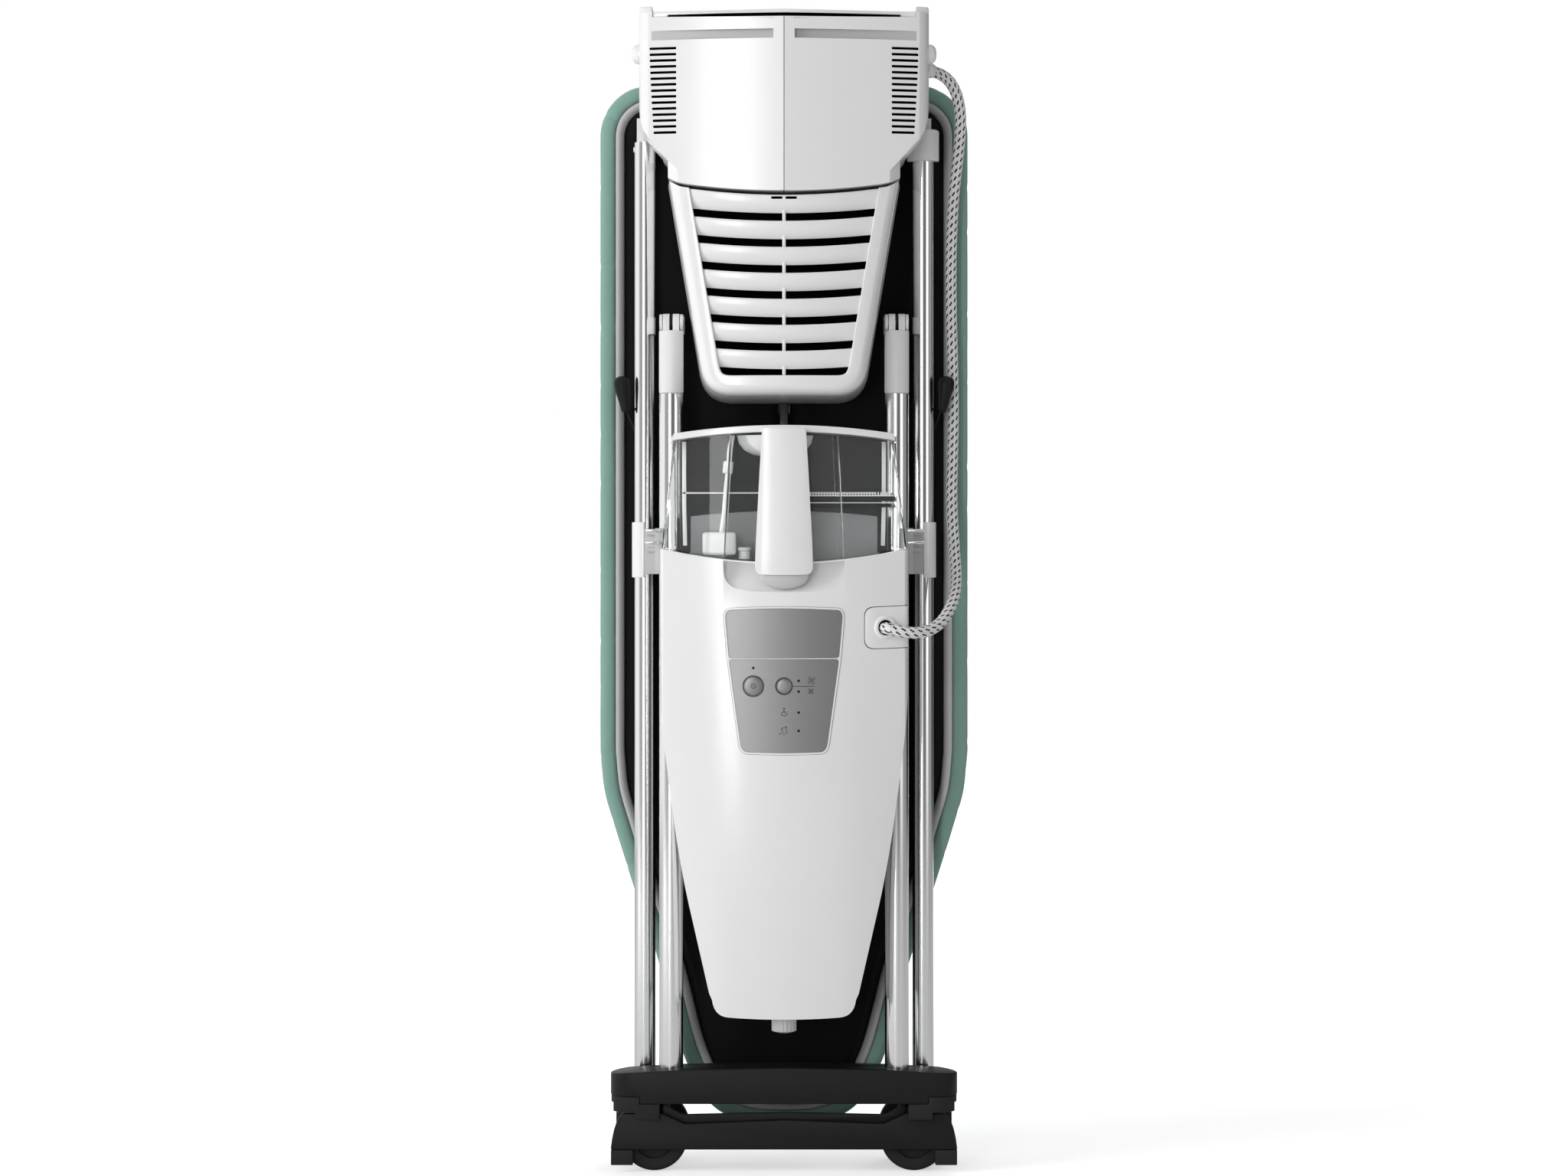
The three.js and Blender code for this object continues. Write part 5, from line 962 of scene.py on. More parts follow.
def tube(name, radius, wall, start, end, sides=64):
    """An open tube: a turned wall with slightly rounded lips."""
    long = (Vector(end) - Vector(start)).length
    inner = radius - wall
    profile = [
        (inner, 0.3), (inner + 0.3, 0), (radius - 0.3, 0), (radius, 0.3),
        (radius, long - 0.3), (radius - 0.3, long), (inner + 0.3, long), (inner, long - 0.3), (inner, 0.3),
    ]
    return turned(name, profile, start, end, sides)


def both_sides(piece, name, slot, material, solid):
    """Finishes a right-hand piece and its mirror image; each stands for its own side's solid."""
    other = mirror_copy(piece, name + "_left")
    piece.name = name + "_right"
    for made, side in ((piece, "_right"), (other, "_left")):
        finish(made, body_of(solid + side), slot, material, solid + side)


# %% [markdown]
# ## Legs
# The outer legs carry the wheels and the inner ones the generator. They are chromed steel tubes. A plain
# tube is round, so its reflections come out as the long light and dark stripes of the photograph, once
# there is something dark and something light around it to reflect.

# %% Outer legs
OUTER_X, OUTER_Y = 160.5, 28
INNER_X, INNER_Y = 128.8, -15
OUTER_PIVOT_Z, INNER_PIVOT_Z = 1170, 967


def leg_pin(name, radius, reach):
    """A rod along the outer leg's hinge, to cut with."""
    a, b = ((OUTER_X + side * reach, OUTER_Y, OUTER_PIVOT_Z) for side in (-1, 1))
    return add_rod(name, radius, a, b, 24)


outer_leg = tube("outer_leg_tube", 12.25, 1.5, (OUTER_X, OUTER_Y, 46.3), (OUTER_X, OUTER_Y, 1178))
carve(
    outer_leg,
    add_box("slot", (OUTER_X - 3.3, OUTER_Y - 8.3, 1148), (OUTER_X + 3.3, OUTER_Y + 20, 1180)),
    leg_pin("pin_hole", 3.25, 20),
)
soften(outer_leg, 0, smooth=35)
both_sides(outer_leg, "outer_leg_tube", "chrome", chrome, "outer_leg")

# %% Inner legs
inner_leg = tube("inner_leg_tube", 13.7, 1.5, (INNER_X, INNER_Y, 94.3), (INNER_X, INNER_Y, 885.7))
both_sides(inner_leg, "inner_leg_tube", "chrome", chrome, "inner_leg")
print("legs: 4 tubes")

# %% [markdown]
# A white sleeve caps each inner leg. Its two tines stand either side of the hinge's middle plate, with a
# dark slot between them, and a spigot reaches down into the tube.

# %% Leg sleeves
sleeve_profile = [
    (0, 0), (12.4, 0), (13.4, 0.4), (13.9, 1.6), (14, 3), (14, 70.4), (13.8, 71.2), (13.2, 71.6),
    (0, 71.6),
]
sleeve = turned("leg_sleeve", sleeve_profile, (INNER_X, INNER_Y, 886), (INNER_X, INNER_Y, 957.6), 64)
spigot = rounded_rod("spigot", 11.8, (INNER_X, INNER_Y, 841), (INNER_X, INNER_Y, 888), 1.0)
carve(sleeve, add_box("hinge_room", (INNER_X - 20, INNER_Y + 8, 955), (INNER_X + 20, INNER_Y + 30, 990)))
sleeve = join("leg_sleeve", sleeve, spigot)
for near, far in ((-9.3, -1.9), (1.9, 9.3)):
    x0, x1 = INNER_X + near, INNER_X + far
    tine = add_box("tine", (x0, INNER_Y - 10.5, 955), (x1, INNER_Y + 10, INNER_PIVOT_Z))
    head = add_rod("tine_head", 10.2, (x0, INNER_Y, INNER_PIVOT_Z), (x1, INNER_Y, INNER_PIVOT_Z), 48)
    carve(tine, head, operation="UNION")
    soften(tine, 0.9, 35, 3, 35)
    sleeve = join("leg_sleeve", sleeve, tine)
both_sides(sleeve, "leg_sleeve_moulded", "white_shell", white_satin, "leg_sleeve")

# %% Hinges and the cap on the right leg
for side in ("right", "left"):
    fork = dress("inner_hinge_" + side, white_satin, "white_shell", 0.7, segments=3)
    # Where each fork sits in the sleeve's slot it is black: painted shade in the slot.
    fork.data.materials.append(black_plastic)
    for face in fork.data.polygons:
        face.material_index = int(abs(abs(face.center.x) - INNER_X * MM) < 0.0019)
    dress("outer_hinge_" + side, white_satin, "white_shell", 0.5)

cap_profile = [
    (0, 0), (17.2, 0), (18.2, 0.5), (18.5, 1.6), (18.5, 33.5), (17.9, 35.2), (16.4, 36), (0, 36),
]
cap = turned("leg_cap", cap_profile, (OUTER_X, OUTER_Y, 1156), (OUTER_X, OUTER_Y, 1192), 64)
carve(
    cap,
    add_rod("room", 12.55, (OUTER_X, OUTER_Y, 1150), (OUTER_X, OUTER_Y, 1200), 48),
    leg_pin("pin_room", 3.3, 13.55),
    add_box("back", (OUTER_X - 25, OUTER_Y, 1150), (OUTER_X + 25, OUTER_Y + 30, 1200)),
)
soften(outwards(cap), 0.3, 35, 2, 35)
finish(cap, body_of("leg_top_cap"), "white_shell", white_satin, "leg_top_cap")
print("hinges and cap")

# %% [markdown]
# ## Release levers and height rail
# Two drop-shaped levers free the legs. The head is one smooth turned drop; thin steel rods join it to its
# pivot on the pan. The rail in the middle of the pan is a chromed bar in two guide blocks.

# %% Release levers
lever_profile = [
    (0, 0), (2.6, 0.3), (4.2, 1.4), (5.0, 3.2), (5.5, 7), (6.4, 13), (7.5, 19), (8.5, 24),
    (9.2, 28.5), (9.5, 32.5), (9.2, 36), (8.2, 39), (6.2, 41.2), (3.4, 42.3), (0, 42.7),
]
lever = turned("lever_drop", lever_profile, (182.3, 22.5, 866), (188.1, 22.5, 908.3), 40, 60)
pieces = [
    rounded_rod("lever_neck", 1.6, (182.75, 22.5, 871), (182.75, 45.6, 871), 0.5, 20),
    rounded_rod("lever_rod", 1.6, (182.75, 44.2, 871.6), (169, 44.2, 838), 0.5, 20),
    rounded_rod("lever_pin", 1.6, (162.7, 44.2, 838), (175.3, 44.2, 838), 0.3, 20),
]
lever = join("lever_drop", lever, *pieces)
both_sides(lever, "release_lever_drop", "black_plastic", black_plastic, "release_lever")

# %% Height rail
rail = rounded_rod("rail_bar", 6, (0, 36, 420), (0, 36, 884), 0.8, 48)
blocks = [add_box("guide", (-6.5, 36, z + 6.5), (6.5, 46.7, z + 26)) for z in (420, 858)]
for guide in blocks:
    soften(guide, 0.8)
rail = join("height_rail_bar", rail, *blocks)
finish(rail, "board", "chrome", dark_chrome, "height_rail")
print("levers and rail")

# %% [markdown]
# ## Wheels and feet
# Each wheel is a rubber tyre on a plastic hub with a raised ring round its axle. One wheel is turned, and
# copied to the four places, each copy with its own mesh, because each wheel turns by itself.

# %% Wheels
WHEEL_X = 148
wheel_profile = [
    (5.3, 0.6), (6.0, 0), (9.4, 0), (10, 0.6), (10, 3.6), (10.5, 4), (22.2, 4), (23, 3.4),
    (23.6, 1.0), (25, 0.35), (33.5, 0.35), (35.6, 0.9), (37.1, 2.6), (37.8, 5.2), (38, 8.6),
    (38, 10.4), (37.8, 13.8), (37.1, 16.4), (35.6, 18.1), (33.5, 18.65), (25, 18.65), (23.6, 18),
    (23, 15.6), (22.2, 15), (10.5, 15), (10, 15.4), (10, 18.4), (9.4, 19), (6, 19), (5.3, 18.4),
    (5.3, 0.6),
]
for row_name, y in (("front", -28), ("rear", 59)):
    for side_name, x in (("right", WHEEL_X), ("left", -WHEEL_X)):
        name = row_name + "_wheel_" + side_name
        made = turned(name + "_turned", wheel_profile, (x, y, 38), (x, y + 19, 38), 72)
        finish(made, body_of(name), "wheel_rubber", black_rubber, name)
print("wheels: 4")

# %% [markdown]
# The wheeled foot is one black moulding: a beam whose face plate hoods the front wheels, and two pods
# with the axles. Their solids have the right shape; their edges are rounded as a mould would leave them.

# %% Wheeled foot, foot bar, pads
dress("wheel_beam", black_plastic, "black_plastic", 1.6, segments=3)
for side in ("right", "left"):
    dress("wheel_pod_" + side, black_plastic, "black_plastic", 0.9)
    dress("rubber_foot_" + side, black_rubber, "wheel_rubber", 1.2, segments=3)
    dress("foot_pad_" + side, black_rubber, "wheel_rubber", 0.8)
dress("front_foot_bar", black_plastic, "black_plastic", 1.2, segments=3)

# %% [markdown]
# ## Rear housing
# The fan's housing is moulded in two white halves that meet on a shallow ridge. Its form is where two
# drawings meet: the plan, seen from above, and the outline, seen from the front. Each is drawn as a face,
# extruded, and the two are intersected; then the edges are rounded, the halves parted, and slots cut.


# %% Drawing helpers
def drawn(name, outline, plane, low, high):
    """An outline extruded along the axis that its plane leaves out: XZ along Y, XY along Z."""
    if plane == "XZ":
        points, way = [(x, low, z) for x, z in outline], (0, (high - low) * MM, 0)
    else:
        points, way = [(x, y, low) for x, y in outline], (0, 0, (high - low) * MM)
    piece = add_mesh(name, points, [tuple(range(len(points)))])
    edit(piece)
    bpy.ops.mesh.extrude_region_move(TRANSFORM_OT_translate={"value": way})
    bpy.ops.mesh.select_all(action="SELECT")
    bpy.ops.mesh.normals_make_consistent(inside=False)
    bpy.ops.object.mode_set(mode="OBJECT")
    return piece


def bend(a, control, b, steps=8):
    """Points on a curve from a to b that leans towards the control point."""
    curve = []
    for k in range(steps + 1):
        t = k / steps
        pairs = zip(a, control, b)
        curve.append(tuple(p * (1 - t) ** 2 + 2 * q * t * (1 - t) + r * t * t for p, q, r in pairs))
    return curve


def both_halves(side):
    """A closed outline from its right side, listed from one end on X = 0 to the other."""
    return side + [(-x, z) for x, z in reversed(side) if x > 0.01]


def rounded(points, radius, steps=6):
    """An outline with its corners rounded."""
    result = []
    for i, corner in enumerate(points):
        corner = Vector(corner)
        before, after = Vector(points[i - 1]) - corner, Vector(points[(i + 1) % len(points)]) - corner
        reach = min(radius, before.length / 2.1, after.length / 2.1)
        start, end = corner + before.normalized() * reach, corner + after.normalized() * reach
        result += bend(tuple(start), tuple(corner), tuple(end), steps)
    return result


# %% Lip of the wheeled foot
lip_outline = [
    (0, 55), (108, 52), (134, 63), (138.5, 66), (138.5, 75), (135, 76.5), (118, 66.5), (113, 65.4),
    (60, 66.6), (0, 67.6),
]
lip = drawn("wheel_beam_lip", both_halves(lip_outline), "XZ", -31.5, -28.4)
soften(lip, 1.0, 35, 3)
finish(lip, "wheel_frame", "black_plastic", black_plastic)

# %% Form of the housing
HOUSING_TOP, HOUSING_FRONT, HOUSING_HALF = 1313, -95, 164
SEAM_HALF, LUG_X = 131.0, 148.3


def ridge_y(x, inset=0):
    """The housing's front over its width: two slightly bulging faces that meet on the ridge."""
    return HOUSING_FRONT + inset + 0.085 * abs(x) + 0.0004 * x * x


def seam_z(x, half=SEAM_HALF, middle=1109.5, rise=12.5):
    """The seam between housing and exhaust box sags in the middle and turns up at the sides."""
    x = abs(x)
    return middle + rise * (x / half) ** 2 + 5 * max(0.0, (x - half + 14) / 14) ** 1.5


def housing_plan(inset, back):
    """Seen from above."""
    wide = HOUSING_HALF - inset
    flat = wide - 15
    side = [(flat * k / 16, ridge_y(flat * k / 16, inset)) for k in range(17)]
    side += bend(side[-1], (wide - 0.5, side[-1][1] + 4), (wide, side[-1][1] + 23), 8)[1:]
    side += [(wide, back), (0, back)]
    return both_halves(side)


def housing_outline(inset):
    """Seen from the front: a neck that widens to the full width."""
    neck = SEAM_HALF - inset
    side = [(neck * k / 14, seam_z(neck * k / 14, neck) + inset) for k in range(15)]
    side += [(neck, 1146.5 + inset / 2), (152.5 - inset, 1170 + inset / 2)]
    side += [(158.6 - inset, 1180 + inset / 2), (162.4 - inset, 1192), (164 - inset, 1207)]
    side += [(164 - inset, HOUSING_TOP - inset), (0, HOUSING_TOP - inset)]
    return both_halves(side)


# %% Housing as a hollow form
def housing_form(name, inset, edge):
    """The housing as a full form, drawn inset by so many millimetres, with rounded edges."""
    low_back = 46.7 if inset == 0 else 49
    form = drawn(name, housing_plan(inset, low_back), "XY", 1100, 1254.8)
    high = drawn("high", housing_plan(inset, 87 - inset), "XY", 1254.5 + inset, 1325)
    carve(form, high, operation="UNION")
    carve(form, drawn("front", housing_outline(inset), "XZ", -110, 110), operation="INTERSECT")
    for side in (-1, 1):
        x0, x1 = sorted((side * (139 - inset), side * 170))
        carve(form, add_box("leg_room", (x0, -inset, 1090), (x1, 120, 1211 + inset)))
    edit(form)
    bpy.ops.mesh.dissolve_limited(angle_limit=math.radians(0.4))
    bpy.ops.object.mode_set(mode="OBJECT")
    for side in (-1, 1):
        x = 119 - inset * 0.6
        face = ridge_y(x, inset)
        facet = [(x, -130), (x, face), (x + 15, face + 19), (170, face + 19), (170, -130)]
        facet = drawn("facet", [(side * x, y) for x, y in facet], "XY", 1085, 1195)
        below = [(110, 1080), (170, 1080), (170, 1189), (110, 1123.1)]
        below = drawn("below", [(side * x, z) for x, z in below], "XZ", -140, 0)
        carve(form, carve(facet, below, operation="INTERSECT"))
    if edge:
        soften(form, edge, 28, 4, 30)
    return form


housing = housing_form("rear_housing", 0, 2.2)
carve(housing, housing_form("housing_room", 8, 0))
print("housing faces", len(housing.data.polygons))

# %% [markdown]
# Two grip grooves run out from the seam: deep at their inner ends, they fade into the surface. Fifteen
# vent slots with round ends stand at each side. A knob with a domed end sits low on each flank.

# %% Grooves, vents, cap seat, knobs
for side in (-1, 1):
    groove = drawn(
        "groove",
        [(side * 12, -104), (side * 12, ridge_y(12) + 7.4), (side * 60, ridge_y(60) + 6.2),
         (side * 110, ridge_y(110) + 3.0), (side * 152, ridge_y(152) - 0.2), (side * 152, -104)],
        "XY", 1280.4, 1290.8,
    )
    carve(housing, groove)
    fine_groove = [(11, -104), (11, ridge_y(11) + 2.2), (33, ridge_y(33) + 0.4), (33, -104)]
    fine_groove = [(side * x, y) for x, y in fine_groove]
    carve(housing, drawn("fine_groove", fine_groove, "XY", 1302.3, 1303.3))
    pocket = ((117, 2.0), (136, 2.0), (155, 2.0), (155, 18), (117, 18))
    pocket = [(side * x, ridge_y(x) + out) for x, out in pocket]
    carve(housing, drawn("pocket", pocket, "XY", 1172, 1276))

slots = []
for k in range(15):
    z = 1271 - 6.76 * k
    outer = 151.5 - 4.6 * (k / 14) ** 1.4
    outline = rounded([(121, z - 1.5), (outer, z - 1.5), (outer, z + 1.5), (121, z + 1.5)], 1.4, 4)
    slots.append(drawn("vent", outline, "XZ", -90, -64))
    slots.append(mirror_copy(slots[-1], "vent"))
vents = join("vents", *slots)
carve(housing, vents)
seat_line = [(x, 1306.7 - 2.0 * (1 - (x / LUG_X) ** 2)) for x in across(LUG_X, 20)]
carve(housing, drawn("cap_seat", seat_line + [(LUG_X, 1330), (-LUG_X, 1330)], "XZ", -110, 84.3))
for side in (-1, 1):
    plan = [(side * LUG_X, -64), (side * 163.7, -58), (side * 163.7, 46.5), (side * LUG_X, 46.5)]
    lug = drawn("lug", plan, "XY", 1306, 1320.6)
    soften(lug, 2.4, 35, 4)
    carve(housing, lug, operation="UNION")

# %% Part the halves
carve(housing, add_box("half", (0.4, -150, 1000), (200, 150, 1400)), operation="INTERSECT")
knob_profile = [
    (0, 0), (10.6, 0), (11, 0.4), (11, 3.4), (10.4, 6.2), (8.6, 8.6), (6.2, 10), (3.2, 10.6), (0, 10.8),
]
knob = turned("knob", knob_profile, (162, -45, 1269), (173, -45, 1269), 48)
housing = join("rear_housing", housing, knob)
soften(housing, 0.35, 42, 2, 32)
left = mirror_copy(housing, "rear_housing_left")
for half, name in ((housing, "right"), (left, "left")):
    true_curve(half, lambda x: math.copysign(0.085 + 0.0008 * abs(x), x), 9)
    half.name = half.data.name = "rear_shell_" + name + "_moulded"
    finish(half, "board", "white_shell", white_plastic, "rear_shell_" + name)
    # The faces inside the grip grooves get this grey as painted shade.
    half.data.materials.append(grey_bracket_and_groove_shade)
    for face in half.data.polygons:
        x, y, z = face.center / MM
        groove_shade = 1280.2 < z < 1291 and 11 < abs(x) < 152
        face.material_index = int(groove_shade and ridge_y(x) + 0.3 < y < -40)
print("housing halves:", len(housing.data.polygons), len(left.data.polygons))
dress("rear_top_cap", white_plastic, "white_shell", 1.0, segments=3)
dress("iron_rest", grey_plastic, "grey_plastic", 0.5)
dress("hose_inlet", white_plastic, "white_shell", 0.4)

# %% [markdown]
# Inside the vents and louvres lies plain black shade. A thin black sheet just behind the openings paints
# that shade.

# %% Painted shade behind the vents and seams
vent_shade_line = [(x, ridge_y(x) + 2.5) for x in (118, 127, 136, 145, 154)]
vent_shade_back = [(x, y + 1) for x, y in reversed(vent_shade_line)]
vent_shade = drawn("vent_shade_sheet", vent_shade_line + vent_shade_back, "XY", 1173, 1275)
both = join("vent_shade_sheets", vent_shade, mirror_copy(vent_shade, "vent_shade_sheet"))
finish(both, "board", "black_plastic", shade_black)
# Thin black strips behind the seam under the top cap and behind the parting line of the halves paint the
# shade in those gaps.
seam_back = [(x, ridge_y(x) + 1.2) for x in across(SEAM_HALF, 20)]
seam_back += [(x, y + 1) for x, y in reversed(seam_back)]
shadow_strip = drawn("cap_seam_shade", seam_back, "XY", 1303.4, 1308.8)
middle_shade_strip = add_box("middle_seam_shade", (-1.4, HOUSING_FRONT + 1.6, 1111), (1.4, HOUSING_FRONT + 2.6, 1304))
finish(join("seam_shade_strips", shadow_strip, middle_shade_strip), "board", "black_plastic", shade_black)

# %% [markdown]
# ## Exhaust box
# The slatted box below the housing blows the air out. Its frame is a soft tray: a ring that follows a
# U-shaped line, with a flat band in front and a wall that rounds away behind it.

# %% Tray line
BOX_TOP, BOX_BOTTOM = 1118.4, 894.4
BOX_HALF_TOP, BOX_HALF_BOTTOM = 129.5, 92.0


def box_seam(x):
    """The upper edge of the exhaust box, just under the housing's seam."""
    return seam_z(x, 129.5, 1105.9)


def box_half(z):
    """Half of the box's width at a height."""
    return BOX_HALF_BOTTOM + (BOX_HALF_TOP - BOX_HALF_BOTTOM) * (z - BOX_BOTTOM) / (BOX_TOP - BOX_BOTTOM)


LOW_Z, CORNER = 880.8, 31
corner_x = box_half(LOW_Z)
tray_line = [((corner_x - CORNER) * k / 12, LOW_Z) for k in range(12)]
wall_foot = (box_half(LOW_Z + CORNER), LOW_Z + CORNER)
tray_line += bend((corner_x - CORNER, LOW_Z), (corner_x, LOW_Z), wall_foot, 12)
for k in range(1, 25):
    z = LOW_Z + CORNER + (1150 - LOW_Z - CORNER) * k / 24
    tray_line.append((box_half(z), z))
steps = 8
tray_line += [(box_half(1150) * (1 - k / steps), 1150.0) for k in range(1, steps + 1)]
fine = [Vector((x, 0, z)) for x, z in tray_line]
fine, _ = evenly(fine, 5.0)
tray_line = [(p.x, p.z) for p in fine]
tray_line += [(-x, z) for x, z in reversed(tray_line[1:-1])]


def bow_y(x):
    """The front of the exhaust box bows back towards its sides."""
    return 16 * (x / 120.5) ** 2


def along_tray(name, rings):
    """A closed band along the tray's line; the front of every ring bows."""
    ways = outward(tray_line)
    points = []
    for inset, y in rings:
        fade = min(1.0, max(0.0, (40 - y) / 80))
        for (x, z), way in zip(tray_line, ways):
            px, pz = x - way.x * inset, z - way.y * inset
            points.append((px, y + bow_y(min(abs(px), 121)) * fade, pz))
    return outwards(add_mesh(name, points, ring_faces(len(tray_line), len(rings), True)))


# %% Frame
FRAME_RINGS = [
    (22, -74), (22, -86.2), (21.8, -87.2), (21.2, -87.8), (20.2, -88), (11.6, -88), (9.6, -87.7),
    (7.4, -86.8), (5.2, -85), (3.3, -82.2), (1.8, -78.2), (0.8, -72.8), (0.2, -66), (0, -58),
    (-1.5, -20), (-2.5, 20), (-3, 46.6), (0.5, 46.6), (2.5, -56), (4, -70), (8, -76), (14, -79),
    (19, -76),
]
frame_piece = along_tray("exhaust_frame", FRAME_RINGS)
under_seam = [(x, box_seam(x)) for x in across(140, 40)]
keep = drawn("under_seam", under_seam + [(150, 870), (-150, 870)], "XZ", -120, 60)
carve(frame_piece, keep, operation="INTERSECT")
soften(frame_piece, 0.4, 50, 2, 38)

# %% [markdown]
# The louvres are bowed bars with a round front: the top edge stands out, the lower part turns in. One
# grid is bent for each bar, because each is a little shorter than the one above, and gets its thickness
# from Solidify. A thin rib ties them together in the middle.


# %% Louvres
def gap_edge(index, x, lower):
    """Height of the upper or lower edge of the gap with this number."""
    top = BOX_TOP - 26.8 - index * 29.8
    outer = box_half(top) - 22
    sag = 6.6 - index * 0.6
    return top - (8.8 if lower else 0) - sag * (1 - min(1.0, abs(x) / outer) ** 2)


def louvre(index):
    """The bar with this number, counted from the top."""
    let_go()
    bpy.ops.mesh.primitive_grid_add(x_subdivisions=56, y_subdivisions=14, size=2)
    piece = bpy.context.object
    middle = BOX_TOP - 12 - index * 29.8
    reach = box_half(middle) - 17
    for vertex in piece.data.vertices:
        u, v = vertex.co.x, (vertex.co.y + 1) / 2
        x = u * reach
        low = gap_edge(index, x, False)
        high = gap_edge(index - 1, x, True) if index else box_seam(x) - 0.4
        down = 1 - v
        back = 6.5 * max(0.0, (down - 0.15) / 0.85) ** 2.2 + 1.2 * max(0.0, 1 - down / 0.06) ** 2
        ends = 2.5 * max(0.0, abs(u) - 0.9) / 0.1
        vertex.co = mm(x, -86.4 + bow_y(x) + back + ends, low + (high - low) * v)
    settle(piece, "louvre")
    outwards(piece)
    if piece.data.polygons[0].normal.y > 0:
        piece.data.flip_normals()
    apply(piece, "SOLIDIFY", thickness=2.4 * MM, offset=-1.0, use_even_offset=True)
    soften(piece, 0.35, 50, 2, 45)
    return piece


bars = [louvre(k) for k in range(7)]
for side in (-1, 1):
    x0, x1 = sorted((side * 1.6, side * 14.4))
    outline = rounded([(x0, 1100.6), (x1, 1100.6), (x1, 1103.6), (x0, 1103.6)], 1.2, 4)
    carve(bars[0], drawn("slot", outline, "XZ", -100, -70))
rib = add_box("rib", (-1.9, -82.5, 903), (1.9, -78, 1100))
soften(rib, 0.7, 35, 3)
grille = join("exhaust_grille_moulded", frame_piece, *bars, rib)
finish(grille, "board", "white_shell", white_plastic, "exhaust_grille")
print("grille faces", len(grille.data.polygons))

# %% Black sheet of painted shade behind the louvres
let_go()
bpy.ops.mesh.primitive_grid_add(x_subdivisions=24, y_subdivisions=12, size=2)
sheet = bpy.context.object
for vertex in sheet.data.vertices:
    z = 1000 + 102 * vertex.co.y
    x = vertex.co.x * (box_half(z) - 8)
    vertex.co = mm(x, -71 + bow_y(x), z)
settle(sheet, "exhaust_shade_sheet")
apply(sheet, "SOLIDIFY", thickness=1.0 * MM, offset=0)
finish(sheet, "board", "black_plastic", shade_black)
coat(black_plastic, "fan_volute", "fan_impeller")
coat(plain_steel, "fan_motor")
print("exhaust box dressed")

# %% [markdown]
# ## Steam generator
# The generator's body is one bulging white front on a flat back. Its form comes from two drawings again:
# the plan gives the bulge, and the outline gives the shield shape. The finger recess under the tank is
# cut out with a wedge whose floor rises in a curve, so that the recess fades out at its lower end.

# %% Form of the generator
GEN_FRONT, GEN_SPLIT, GEN_HALF = -90, -36, 140
SIDE_LINE = [
    (77.5, 0, 180), (88.5, 0, 228), (100, 0, 278), (110.7, 0, 325.2), (120, 0, 375.9),
    (127.6, 0, 428.2), (134.5, 0, 484), (138.6, 0, 522), (140, 0, 556), (140, 0, 600), (140, 0, 830),
]


def bulge_y(x, front=GEN_FRONT):
    """The generator's front over its width."""
    return front + 18 * (x / 136) ** 2


def generator_plan(front, wide, back):
    """Seen from above: the front bulges over its width and rounds into the sides."""
    side = [(x, bulge_y(x, front)) for x in [(wide - 4) * k / 28 for k in range(29)]]
    last = side[-1]
    side += bend(last, (wide - 0.3, last[1] + 3), (wide, last[1] + 13), 6)[1:]
    side += [(wide, back), (0, back)]
    return both_halves(side)


def generator_outline(inset, top):
    """Seen from the front: a shield with a faintly curved bottom."""
    corner = 77.5 - inset
    low = 180 + inset
    side = [(corner * k / 8, low + 3 * (k / 8) ** 2) for k in range(7)]
    side += bend((corner - 15, low + 2), (corner + 1, low + 3.2), (corner + 3.2, low + 21), 7)
    line_up = [(p.x - inset, p.z) for p in through(SIDE_LINE, 5) if low + 24 < p.z < 700]
    side += line_up + [(GEN_HALF - inset, top), (0, top)]
    return both_halves(side)


def generator_form(name, inset, edge):
    """The body as a full form, drawn inset by so many millimetres."""
    form = drawn(name, generator_plan(GEN_FRONT + inset, GEN_HALF - inset, 10), "XY", 150, 800)
    carve(form, drawn("front", generator_outline(inset, 790), "XZ", -120, 40), operation="INTERSECT")
    if edge:
        soften(form, edge, 40, 5, 30)
    return form


# %% Cutters for the tank's edge and the recess
def tank_edge(x):
    """Height of the curved edge where body and tank meet."""
    return 692 + 16 * (x / GEN_HALF) ** 2


def edge_prism(name, lift, high, low=-1):
    """All that lies above the tank's edge, or below it where high is false."""
    wave_line = [(x, tank_edge(x) + lift) for x in across(150, 30)]
    far = 900 if high else 100
    return drawn(name, wave_line + [(150, far), (-150, far)], "XZ", -130, 60)


def wedge(name, half_low, half_high, low, high, floor):
    """A cutter for a recess: an outline seen from the front, with a floor that rises in a curve."""
    outline = [(0, low), (half_low * 0.55, low + 1.2)]
    outline += bend((half_low - 20, low + 3.5), (half_low, low + 6), (half_low, low + 26), 8)
    outline += [(half_high, high), (0, high)]
    tool = drawn(name, both_halves(outline), "XZ", -130, -50)
    side = [(-135, low - 3), *[floor(t / 10) for t in range(11)], (-135, floor(1)[1])]
    points = [(x, y, z) for x in (-90, 90) for y, z in side]
    count = len(side)
    faces = [tuple(range(count)), tuple(reversed(range(count, 2 * count)))]
    faces += [(i, i + count, (i + 1) % count + count, (i + 1) % count) for i in range(count)]
    carve(tool, outwards(add_mesh("floor", points, faces)), operation="INTERSECT")
    return soften(tool, 5, 50, 4, 40)


# %% Body with its recess
front = generator_form("generator_front_moulded", 0, 6)
recess = wedge(
    "recess", 68, 68, 659, 720, lambda t: (-92 + 22 * (1 - (1 - t) ** 3), 656 + 66 * t)
)
carve(front, recess)
soften(front, 3.4, 30, 5, 32)
print("generator faces", len(front.data.polygons))

# %% [markdown]
# The two grey panels sit in one white bezel, and the hose port's plate lies flush in the right side. A
# piece of the same form, cut to its outline, follows the bulge exactly. So each panel is a slice of the
# form, and the openings are cut with the same outlines, a little larger.


# %% Panels and bezel
POWER_X, KEY_Z = -34.4, 553.9


